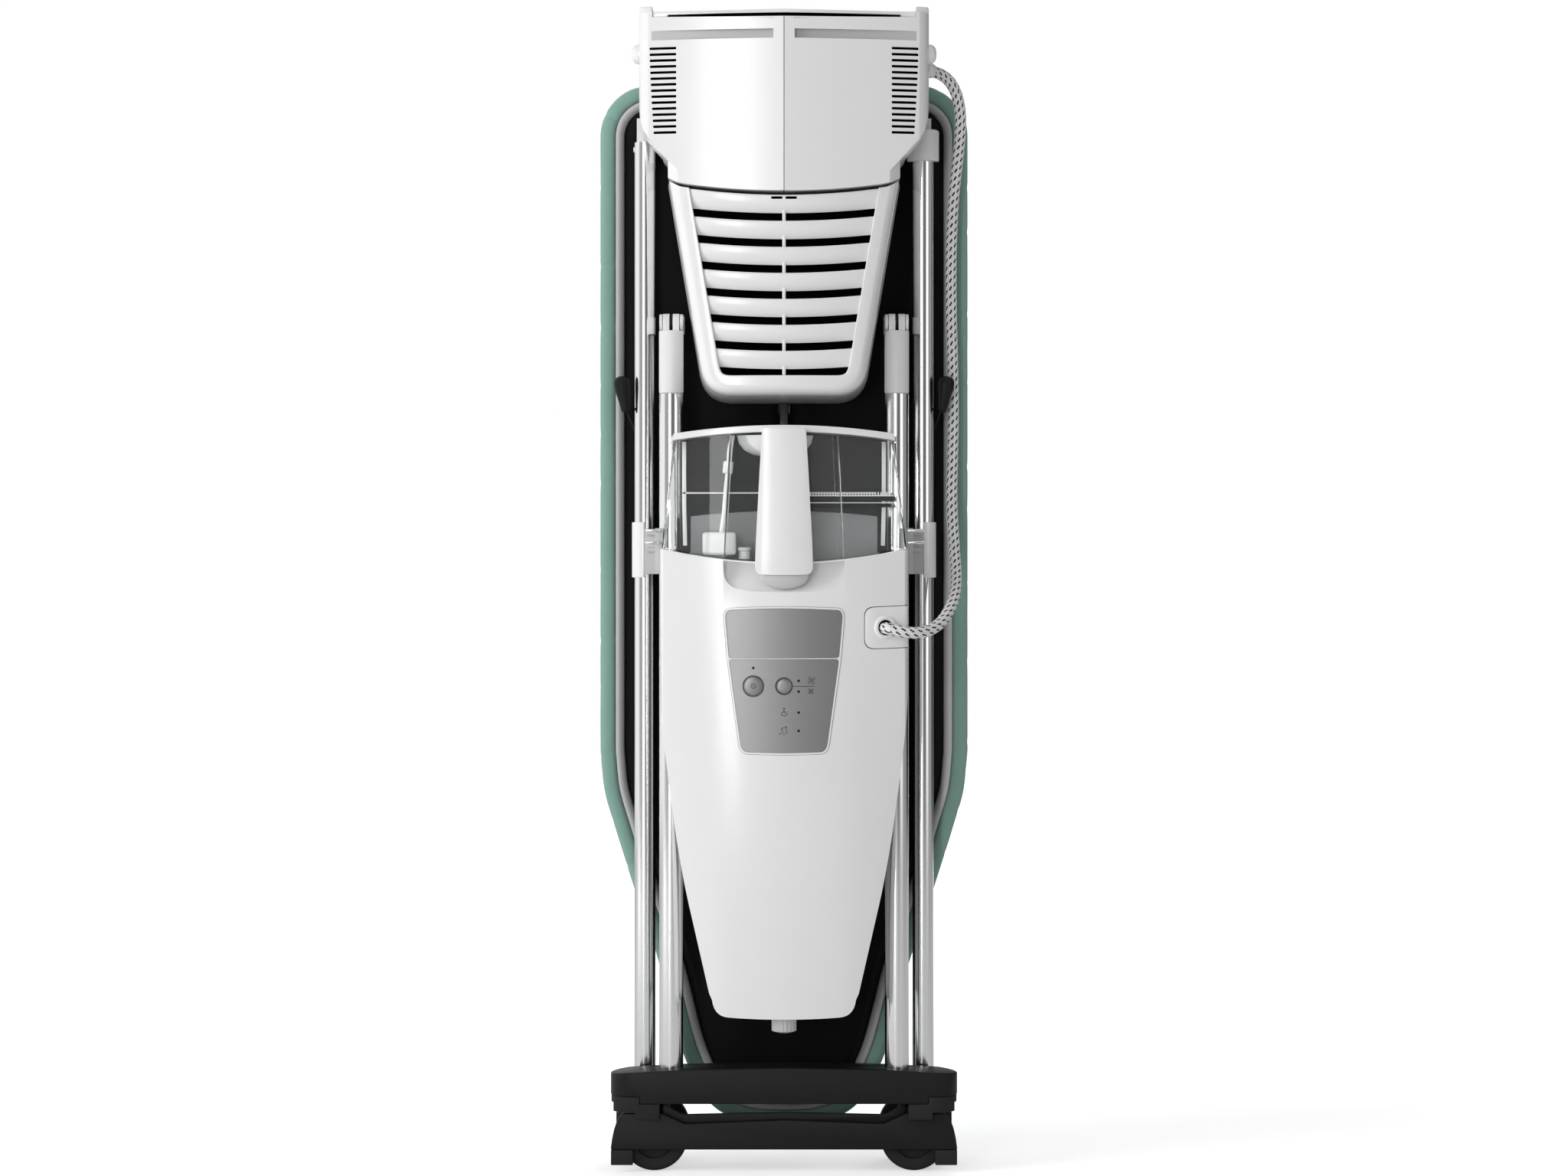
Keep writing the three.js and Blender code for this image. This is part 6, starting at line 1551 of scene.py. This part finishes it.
def panel_outline(grow, part):
    """The outline of the upper or lower panel, or of both together."""
    top, split_high, split_low, bottom = 640 + grow, 585.5 - grow, 583.9 + grow, 480 - grow
    high_corner = bend((65.4 + grow, 629), (66.6 + grow, top), (57, top - 0.8), 7)
    high_corner += [(28, top + 0.4), (0, top + 0.8)]
    if part == "upper":
        lowest = bend((58, split_high), (61.6 + grow, split_high), (61.9 + grow, split_high + 3.5), 4)
        return both_halves([(0, split_high)] + lowest + high_corner)
    side = [(0, bottom - 1), (22, bottom - 0.6)]
    side += bend((40, bottom), (46.5 + grow, bottom), (48.5 + grow, 488), 7)
    if part == "lower":
        side += bend((61.2 + grow, 580), (61.7 + grow, split_low), (58, split_low), 4)
        return both_halves(side + [(0, split_low)])
    return both_halves(side + [(61.7 + grow, 584)] + high_corner)


# %% Slices of the form
def slice_of_form(name, outline, proud, thickness):
    """A plate that follows the bulge of the body, proud of it by so much."""
    outer = generator_plan(GEN_FRONT - proud, GEN_HALF + 2, -20)
    plate = drawn(name, outer, "XY", 440, 700)
    inner = drawn("inner", generator_plan(GEN_FRONT - proud + thickness, GEN_HALF + 4, -10), "XY", 430, 710)
    carve(plate, drawn("cut", outline, "XZ", -120, -30), operation="INTERSECT")
    return carve(plate, inner)


def opening(outline, back=-40):
    """A cutter that goes through the front."""
    return drawn("opening", outline, "XZ", -120, back)


carve(front, opening(panel_outline(2.7, "both")))
bezel = slice_of_form("panel_bezel", panel_outline(2.35, "both"), 0.55, 3.6)
for part in ("upper", "lower"):
    carve(bezel, opening(panel_outline(0.25, part)))
soften(bezel, 0.45, 40, 3, 40)
finish(bezel, "generator_frame", "white_shell", white_plastic)
for part in ("upper", "lower"):
    panel = slice_of_form("panel_" + part + "_curved", panel_outline(0, part), 0.1, 3)
    if part == "lower":
        for x, reach in ((POWER_X, 11.45), (0, 9.15)):
            carve(panel, add_rod("hole", reach, (x, -100, KEY_Z), (x, -80, KEY_Z), 64))
    soften(panel, 0.5, 40, 3, 40)
    true_curve(panel, lambda x: 36 * x / 136 ** 2)
    finish(panel, "generator_frame", "grey_plastic", panel_grey, "panel_" + part)
print("panels done")

# %% [markdown]
# A thin black rim round the port's plate paints the shade of the gap round it. The hose comes out of a dark
# hole in a soft ring; a black disc behind the ring paints the hole's shade.

# %% Hose port
PORT_X, PORT_Z = 114.4, 619.5


def port_outline(grow):
    """The plate's outline; its right end lies past the generator's side."""
    left, low, high = 90.8 - grow, PORT_Z - 23.4 - grow, PORT_Z + 22.4 + grow
    curve = bend((141, low + 1.4), (120, low + 0.2), (left + 11, low), 3)
    curve += bend((left + 11, low), (left, low), (left, low + 11), 8)[1:]
    curve += bend((left, high - 11), (left, high), (left + 11, high + 0.4), 8)
    return curve + [(141, high + 2.2)]


port_y = bulge_y(PORT_X)
slope = math.atan(36 * PORT_X / 136 ** 2)
aim = Vector((math.sin(slope), -math.cos(slope), 0))
eye = Vector((PORT_X, port_y, PORT_Z))


def at_port(out):
    """A point on the port's axis, so far out of the surface."""
    return tuple(eye + aim * out)


def side_trim(reach):
    """All of the port that lies nearer to the middle than reach."""
    return add_box("side_trim", (60, -120, 560), (reach, 0, 680))


carve(front, opening(port_outline(0.75), -69))
plate = slice_of_form("port_plate", port_outline(0), 0.25, 3)
ring_profile = [
    (8.6, -3), (13.6, -3), (13.6, 0.1), (13.1, 0.9), (11.9, 1.7), (10.6, 2.0), (9.4, 1.7),
    (8.7, 0.9), (8.4, -0.2), (8.6, -3),
]
carve(plate, add_rod("eye", 8.9, at_port(-6), at_port(6), 48))
carve(plate, side_trim(139.6), operation="INTERSECT")
soften(plate, 0.35, 40, 2, 40)
ring = turned("port_ring", ring_profile, at_port(0), at_port(1), 56)
plate = join("hose_port_plate", plate, ring)
finish(plate, "generator_frame", "white_shell", white_plastic, "hose_port")
gap_shade = slice_of_form("port_gap_shade", port_outline(0.72), 0.05, 3.4)
carve(gap_shade, opening(port_outline(0.02)))
carve(gap_shade, side_trim(139.8), operation="INTERSECT")
hole_shade_profile = [(0, -4), (8.3, -4), (8.3, -2.6), (7.6, -1.4), (6.9, -1.0), (0, -1.0)]
hole_shade = turned("port_hole_shade", hole_shade_profile, at_port(0), at_port(1), 48)
finish(join("port_gap_shade", gap_shade, hole_shade), "generator_frame", "black_plastic", shade_black)
inside_route = [(112.4, -70, 619.0), (114.6, -79, 618.8), HOSE_ROUTE[0], (121, -87.6, 617.5)]
inside_line, _ = evenly(through(inside_route, 8), 1.6)
stub = sweep("hose_end_braided", inside_line, HOSE_RADIUS - 0.05, 40)
finish(stub, "generator_frame", "hose_braid", hose_braid)

# %% [markdown]
# Now the front is cut to its top edge and opened at the back, and Solidify gives it a wall, which
# keeps every curve. A thin bright bead runs along the top edge.

# %% Wall of the front
carve(front, edge_prism("above", 0, True))
carve(front, add_box("behind", (-160, GEN_SPLIT, 100), (160, 60, 900)))
carve(front, add_rod("plug_hole", 9.3, (0, -62, 176), (0, -62, 190), 40))
delete_faces(front, lambda centre, normal: normal.y > 0.9 and centre.y > (GEN_SPLIT - 0.5) * MM)
soften(apply(front, "SOLIDIFY", thickness=2.4 * MM, offset=-1.0), 0, smooth=32)
bead_line = []
for x in across(137.6, 44):
    wide = max(0.0, abs(x) - 134) / 4
    bead_line.append(Vector((x, bulge_y(x) + 2.2 + 4 * wide ** 2, tank_edge(x) - 0.2)))
bead = sweep("edge_bead", bead_line, 1.15, 12)
front = join("generator_front_moulded", front, bead)
finish(front, "generator_frame", "white_shell", white_plastic, "generator_front")
print("front faces", len(front.data.polygons))

# %% Back shell and the rest behind the tank
back_shell = refined("generator_back", "generator_back_finished", 1.0)
finish(back_shell, "generator_frame", "white_shell", white_plastic, "generator_back")
for vertex in back_shell.data.vertices:
    if vertex.co.z > 0.740 and vertex.co.y < -0.02:
        vertex.co.z -= 0.005
top_bow = [(x, 751.6 - 6.1 * (x / 106) ** 2) for x in range(106, -1, -6)]
bowed = both_halves([(0, 690), (106, 690)] + top_bow)
rest_face = drawn("tank_rest_face", bowed, "XZ", -35.9, -22)
soften(rest_face, 0.8, 35, 3)
finish(rest_face, "generator_frame", "grey_plastic", rest_grey)
back_shell.data.materials.append(rest_grey)
for face in back_shell.data.polygons:
    if face.center.z > 0.684 and face.center.y < -0.02:
        face.material_index = 1

# %% [markdown]
# Buttons, lamps and icons. The marks are thin raised lines, swept in code; they are the plain signs that
# such panels carry: on and off, two fans, steam, and water.


# %% Marks on the lower panel
def on_panel(x, z, out=0.12):
    """A point in front of the lower panel."""
    return Vector((x, bulge_y(x) - 0.1 - out, z))


def stroke(points, radius=0.32, out=0.12):
    return sweep("mark", [on_panel(x, z, out) for x, z in points], radius, 6)


def arc(x, z, radius, start=0, end=360, steps=40):
    turn = [math.radians(start + (end - start) * k / steps) for k in range(steps + 1)]
    return [(x + radius * math.cos(a), z + radius * math.sin(a)) for a in turn]


BLADE = [(0.15, 0.05), (0.5, 0.42), (0.85, 0.5), (0.95, 0.2), (0.7, -0.05), (0.3, -0.08), (0.15, 0.05)]


def fan_sign(x, z, size):
    """Four small blades round a middle."""
    blades = []
    for k in range(4):
        turn = math.radians(90 * k + 20)
        c, s = math.cos(turn) * size, math.sin(turn) * size
        blades.append(stroke([(x + u * c - v * s, z + u * s + v * c) for u, v in BLADE], 0.24))
    return blades


# %% Signs and lamps
strokes = [
    (arc(POWER_X, KEY_Z, 11.9, steps=64), 0.3),
    (arc(0, KEY_Z, 9.6, steps=56), 0.3),
    ([(9.8, KEY_Z), (22, KEY_Z), (34, KEY_Z)], 0.28),
    (arc(0, 524.3, 3.6, 200, 340, 16), 0.3),
    ([(-3.6, 523.2), (-1.2, 525.6), (0, 523.4), (1.2, 525.6), (3.6, 523.2)], 0.26),
    ([(0, 523.6), (0, 529.4)], 0.3),
    ([(-1.4, 528.2), (0, 529.6), (1.4, 528.2)], 0.26),
    ([(-3.2, 506.4), (1.4, 508.2), (3.6, 501.6), (-0.8, 500.0), (-3.2, 506.4)], 0.3),
    ([(1.4, 508.2), (3.3, 508.6), (3.0, 506.8)], 0.26),
    ([(-4.6, 501.4), (-5.2, 500.2), (-4.4, 499.6), (-3.9, 500.4), (-4.6, 501.4)], 0.3),
]
marks = [stroke(points, radius) for points, radius in strokes]
marks += fan_sign(30.5, 560.2, 4.6) + fan_sign(30.0, 548.2, 3.6)
finish(join("panel_marks", *marks), "generator_frame", "black_plastic", black_plastic)

led_profile = [(0, -0.6), (1.5, -0.6), (1.5, 0.05), (1.2, 0.35), (0.6, 0.55), (0, 0.6)]
lamps = []
for x, z in ((POWER_X, 574.3), (16.4, 560.0), (16.4, 547.8), (16.4, 524.4), (16.4, 503.8)):
    lamps.append(turned("led", led_profile, on_panel(x, z, 0), on_panel(x, z, 1), 20))
finish(join("panel_lamps", *lamps), "generator_frame", "grey_plastic", black_plastic)

# %% Buttons
for x, reach, solid in ((POWER_X, 11, "power_button"), (0, 8.8, "fan_button")):
    profile = [
        (0, 0.2), (reach * 0.5, 0.1), (reach * 0.9, -0.15), (reach - 0.5, -0.45), (reach, -1.0),
        (reach, -3.4), (reach + 1.4, -3.4), (reach + 1.4, -4.6), (0, -4.6),
    ]
    made = turned(solid + "_domed", profile, on_panel(x, KEY_Z, 0), on_panel(x, KEY_Z, 1), 56)
    finish(made, body_of(solid), "grey_plastic", panel_grey, solid)
bar = [(POWER_X, KEY_Z - 1.5), (POWER_X, KEY_Z + 1.5)]
sign = [stroke(arc(POWER_X, KEY_Z, 2.6, steps=28), 0.26, 0.32), stroke(bar, 0.26, 0.34)]
finish(join("power_sign", *sign), body_of("power_button"), "black_plastic", black_plastic)
print("buttons and marks done")

# %% [markdown]
# ## Water tank
# The tank is clear, so its wall matters from both sides: a full form is cut with the finger recess and
# given a wall by Solidify. Clear plastic is never perfectly clear; a little of it is mixed with a faint
# white scatter, which turns what is black behind it into the dark grey of the photograph.

# %% Clear plastic
clear_plastic, tree, shader, place = new_material("Clear tank plastic")
handled = node(tree, "Group", node_tree=smudge, Roughness=0.02, Spread=0.03, Vector=place)
for socket, value in (("Base Color", (0.96, 0.97, 0.97)), ("Transmission Weight", 1.0), ("IOR", 1.22),
                      ("Roughness", handled.outputs["Roughness"])):
    put(tree, shader.inputs[socket], value)
haze = node(tree, "BsdfDiffuse", Color=(0.85, 0.85, 0.85))
veil = node(tree, "MixShader", Fac=0.012)
put(tree, veil.inputs[1], shader.outputs[0])
put(tree, veil.inputs[2], haze.outputs[0])
put(tree, tree.nodes["Material Output"].inputs["Surface"], veil.outputs[0])

# %% Tank
TANK_FRONT, TANK_BACK = -86, -36.2


def tank_half(z):
    """Half of the tank's width at a height."""
    return 138.5 - 15.5 * (z - 708) / 130


def lid_line(lift):
    """The lid's bowed upper line."""
    return [(x, 838 + lift + 9 * (1 - (x / 124) ** 2)) for x in across(126, 24)]


def tank_form(name, front, back, grow=0.0):
    """The tank's full form; grow makes it wider at both sides."""
    form = drawn(name, generator_plan(front, 139, back), "XY", 660, 880)
    low, high = tank_half(670) + grow, tank_half(870) + grow
    sides = [(-low, 670), (low, 670), (high, 870), (-high, 870)]
    return carve(form, drawn("sides", sides, "XZ", -130, 20), operation="INTERSECT")


tank = tank_form("water_tank_clear", TANK_FRONT, TANK_BACK)
soften(tank, 5, 50, 5, 35)
finger_floor = lambda t: (-100 + 26 * min(1.0, t * 8), 596 + 280 * t)
carve(tank, wedge("finger_room", 69.5, 57, 600, 870, finger_floor))
soften(tank, 1.6, 45, 3, 35)
carve(tank, edge_prism("below", 1.4, False))
roof = [(x, z - 8.4) for x, z in lid_line(0)]
carve(tank, drawn("roof", roof + [(150, 900), (-150, 900)], "XZ", -130, 20))
delete_faces(tank, lambda centre, normal: normal.z > 0.8 and centre.z > 0.815)
soften(apply(tank, "SOLIDIFY", thickness=2.2 * MM, offset=-1.0), 0, smooth=35)
finish(tank, "tank", "clear_tank", clear_plastic, "water_tank")

# %% Lid
lid = tank_form("tank_lid_moulded", TANK_FRONT - 1.2, TANK_BACK, 1.4)
band = lid_line(0) + list(reversed(lid_line(-7.6)))
carve(lid, drawn("band", band, "XZ", -130, 20), operation="INTERSECT")
soften(lid, 1.7, 40, 4, 40)
finish(lid, "tank", "white_shell", white_plastic, "tank_lid")

# %% Handle and thumb rest
handle_side = [(0, 678.6), (12, 678.6), *bend((24.5, 679), (32, 679.4), (32.4, 688), 7)]
handle_side += [(31.6, 716), (29.4, 757), (27.4, 795), (25.4, 828)]
handle_side += [*bend((24.9, 838), (24.6, 843), (21, 843), 4), (0, 843)]
handle = drawn("tank_handle_moulded", both_halves(handle_side), "XZ", -104, -86.3)
bulged = [(x, -100 + 3.2 * (x / 32) ** 2) for x in across(40, 16)]
carve(handle, drawn("bulge", bulged + [(40, -80), (-40, -80)], "XY", 650, 860), operation="INTERSECT")
soften(handle, 2.2, 40, 5, 38)
let_go()
bpy.ops.mesh.primitive_uv_sphere_add(segments=48, ring_count=24, radius=1)
thumb = bpy.context.object
thumb.scale = (0.0278, 0.0062, 0.0148)
thumb.location = (0, -0.0898, 0.6772)
settle(thumb, "thumb_rest")
take(thumb)
bpy.ops.object.shade_smooth()
finish(thumb, "tank", "grey_plastic", light_grey)
finish(handle, "tank", "white_shell", white_plastic, "tank_handle")
print("tank faces", len(tank.data.polygons), "lid", len(lid.data.polygons))

# %% [markdown]
# Inside the tank the photograph shows a filler bowl under the lid, a suction tube with a collar, a filter
# box with a small valve beside it, a toothed bar that carries the float, and two pale posts in the corners.

# %% Inside the tank
bowl_profile = [
    (0, -24.5), (14, -24), (26, -21.5), (35, -16.5), (41, -9), (43.5, 0), (42, 0), (39.5, -8.6),
    (33.8, -15.4), (25.4, -20), (13.8, -22.3), (0, -22.8),
]
BOWL_Y = -60
bowl = turned("filler_bowl", bowl_profile, (-10, BOWL_Y, 836), (-10, BOWL_Y, 837), 56)
middle = Matrix.Translation((0, BOWL_Y * MM, 0))
bowl.data.transform(middle @ Matrix.Diagonal((1, 0.5, 1, 1)) @ middle.inverted())
TUBE_ROUTE = [
    (-58, -62, 836), (-61, -62, 822), (-63, -62, 800), (-65, -62, 780), (-68, -61, 745),
    (-73, -60, 713), (-75, -60, 702),
]
tube_line, _ = evenly(through(TUBE_ROUTE, 8), 3.0)
suction = sweep("suction_tube", tube_line, 2.7, 16)
collar = rounded_rod("collar", 5.6, (-62.8, -62, 807), (-64.0, -62, 793), 1.2, 32)
filter_box = add_box("filter_box", (-92, -70, 701), (-54, -48, 727))
soften(filter_box, 4, 35, 5)
valve = rounded_rod("valve", 6.6, (-44.5, -60, 696), (-44.5, -60, 706), 1.0, 32)
valve_cap = rounded_rod("valve_cap", 7.6, (-44.5, -60, 706), (-44.5, -60, 710), 0.8, 32)
fittings = join("tank_fittings", bowl, suction, collar, filter_box, valve, valve_cap)
finish(fittings, "tank", "white_shell", white_plastic)

# %% Posts, comb and teeth
posts = []
for side in (-1, 1):
    outline = [(114.5, 712), (109.8, 712), (110.8, 760), (110.8, 830), (115.5, 830), (115.5, 760)]
    posts.append(drawn("post", [(side * x, z) for x, z in outline], "XZ", -43, -39.5))
    soften(posts[-1], 0.5, 35, 2)
posts.append(add_box("shelf", (-116, -43, 771), (104, -41.6, 772.6)))
finish(join("tank_posts", *posts), "tank", "white_shell", white_plastic)

comb = add_box("comb_bar", (28, -52, 762.5), (124, -45, 768.5))
comb = join("float_comb", comb, add_box("comb_foot", (28, -50, 755.5), (121, -46, 759.5)))
soften(comb, 0.3, 40, 1)
finish(comb, "tank", "black_plastic", black_plastic)
teeth = [add_box("tooth_row", (28, -52.6, 767.8), (124, -51.4, 769.2))]
teeth.append(add_box("tooth_row", (28, -52.6, 760), (124, -51.6, 761)))
for k in range(28):
    teeth.append(add_box("tooth", (29 + 3.2 * k, -52.6, 768.6), (30.6 + 3.2 * k, -50, 772.6)))
finish(join("comb_teeth", *teeth), "tank", "white_shell", white_plastic)

# %% [markdown]
# Last the small pieces: the ribbed drain plug, the transport clips, the grey brackets with their pins,
# and the pieces hidden inside the generator, which keep their solids.

# %% Plug, clips, brackets, inner parts
ribs = []
for k in range(72):
    angle = math.tau * k / 72
    reach = 14 - (0.0, 0.25, 0.85, 0.25)[k % 4]
    ribs.append((reach * math.cos(angle), -62 + reach * math.sin(angle)))
plug = drawn("drain_plug_ribbed", ribs, "XY", 164.4, 179.6)
dome_profile = [(0, -2.6), (6, -2.2), (10.5, -1.2), (13.2, 0), (13.6, 1.5), (0, 1.5)]
dome = turned("dome", dome_profile, (0, -62, 164.4), (0, -62, 165.4), 48)
neck = rounded_rod("neck", 8.8, (0, -62, 179), (0, -62, 188.6), 0.5, 40)
soften(plug, 0.3, 60, 2, 30)
plug = join("drain_plug_ribbed", plug, dome, neck)
finish(plug, body_of("drain_plug"), "grey_plastic", light_grey, "drain_plug")

for side in ("right", "left"):
    dress("leg_clip_" + side, white_plastic, "white_shell", 1.2, segments=3)
    dress("side_bracket_" + side, grey_bracket_and_groove_shade, "grey_plastic", 0.6)
pins = []
for sign_x in (-1, 1):
    for z in (715.6, 729.2):
        a, b = (sign_x * 140.6, -32.6, z), (sign_x * 159.6, -32.6, z)
        pins.append(rounded_rod("bracket_pin", 1.7, a, b, 0.5, 20))
finish(join("bracket_pins", *pins), "generator_frame", "chrome", chrome)
coat(plain_steel, "boiler")
coat(brass, "heating_element")
coat(grey_plastic, "pump")
coat(card_green, "circuit_card")
print("generator done")

# %% [markdown]
# ## Studio
# A plain pale floor and white surroundings. The large key light at the left models the white shells, a
# tall strip in front draws the bright lines in them, a weak fill opens the right side, and a light from
# behind shows the ironing side. The floor brightens with distance, so that it has no edge in the picture.

# %% Floor
let_go()
bpy.ops.mesh.primitive_circle_add(vertices=96, radius=9, fill_type="NGON")
floor = called(bpy.context.object, "studio_floor")
pale, tree, shader, place = new_material("Pale floor")
away = node(tree, "VectorMath", operation="LENGTH", Vector=place).outputs["Value"]
fade = node(tree, "MapRange", interpolation_type="SMOOTHSTEP", Value=away,
            From_Min=0.7, From_Max=2.6, To_Min=0.52, To_Max=1.0)
in_view = node(tree, "LightPath").outputs["Is Camera Ray"]
for socket, value in (("Base Color", (0.82, 0.82, 0.82)), ("Roughness", 0.9), ("Emission Strength", 1.0),
                      ("Emission Color", math_node(tree, "MULTIPLY", in_view, fade.outputs["Result"]))):
    put(tree, shader.inputs[socket], value)
floor.data.materials.append(pale)

# %% [markdown]
# Polished tubes show only what stands round them, so a photographer hangs white, grey and black cloths
# round the object. A wide drum does that here: bands that run from white to black with the angle round
# the table. Only glossy rays see it; light, shadows and the camera pass through.

# %% Drum of reflector cloths
let_go()
bpy.ops.mesh.primitive_cylinder_add(
    vertices=128, radius=5.5, depth=14, end_fill_type="NOTHING", location=(0, 0, 2)
)
drum = called(bpy.context.object, "reflector_drum")
cloths, tree, shader, place = new_material("Reflector cloths")
parts = parts_of(tree, place)
angle = math_node(tree, "ARCTAN2", parts["X"], math_node(tree, "MULTIPLY", parts["Y"], -1.0))
share = math_node(tree, "MULTIPLY_ADD", angle, 1 / math.tau, 0.5)
bands = node(tree, "ValToRGB", Fac=share)
BANDS = [
    (-180, 0.9), (-70, 1.0), (-58, 0.40), (-17, 0.34), (-13, 1.0), (-2, 1.0), (2, 0.15), (31, 0.13),
    (35, 0.95), (57, 0.95), (62, 0.32), (102, 0.26), (107, 0.02), (160, 0.03), (176, 0.6),
]
ramp = bands.color_ramp
while len(ramp.elements) < len(BANDS):
    ramp.elements.new(0.5)
for element, (degrees, level) in zip(ramp.elements, BANDS):
    element.position = (degrees + 180) / 360
    element.color = (level, level, level, 1)
glow = node(tree, "Emission", Color=bands.outputs["Color"])
put(tree, tree.nodes["Material Output"].inputs["Surface"], glow.outputs[0])
drum.data.materials.append(cloths)
for kind in ("camera", "diffuse", "shadow", "transmission", "volume_scatter"):
    setattr(drum, "visible_" + kind, False)

# %% World and lamps
world = bpy.data.worlds.new("studio_white")
bpy.context.scene.world = world
world.use_nodes = True
tree = world.node_tree
background = tree.nodes["Background"].inputs
rays = node(tree, "LightPath").outputs
sees = math_node(tree, "ADD", rays["Is Camera Ray"], rays["Is Glossy Ray"], clamp=True)
sees = math_node(tree, "ADD", sees, rays["Is Transmission Ray"], clamp=True)
put(tree, background["Strength"], math_node(tree, "MULTIPLY_ADD", sees, 0.66, 0.34))
put(tree, background["Color"], (1, 1, 1, 1))


def lamp(name, place, target, size, power):
    """A soft rectangular lamp that looks at its target."""
    data = bpy.data.lights.new(name, "AREA")
    data.shape = "RECTANGLE"
    data.size, data.size_y = size
    data.energy = power
    light = placed(name, data)
    light.location = place
    light.rotation_euler = (Vector(target) - Vector(place)).to_track_quat("-Z", "Y").to_euler()
    return light


CENTRE = (0, 0, 0.7)
key = lamp("key_light", (-3.75, -2.05, 1.7), CENTRE, (1.8, 3.0), 108)
lamp("strip_light", (-1.3, -4.35, 1.0), CENTRE, (0.6, 2.8), 44)
lamp("fill_light", (2.6, -2.6, 1.4), (0, 0, 0.6), (1.2, 2.0), 5)
back = lamp("back_light", (1.6, 4.2, 1.8), CENTRE, (2.0, 2.6), 70)
key.visible_glossy = back.visible_glossy = False
bpy.context.scene.view_settings.view_transform = "Standard"
print("studio ready")
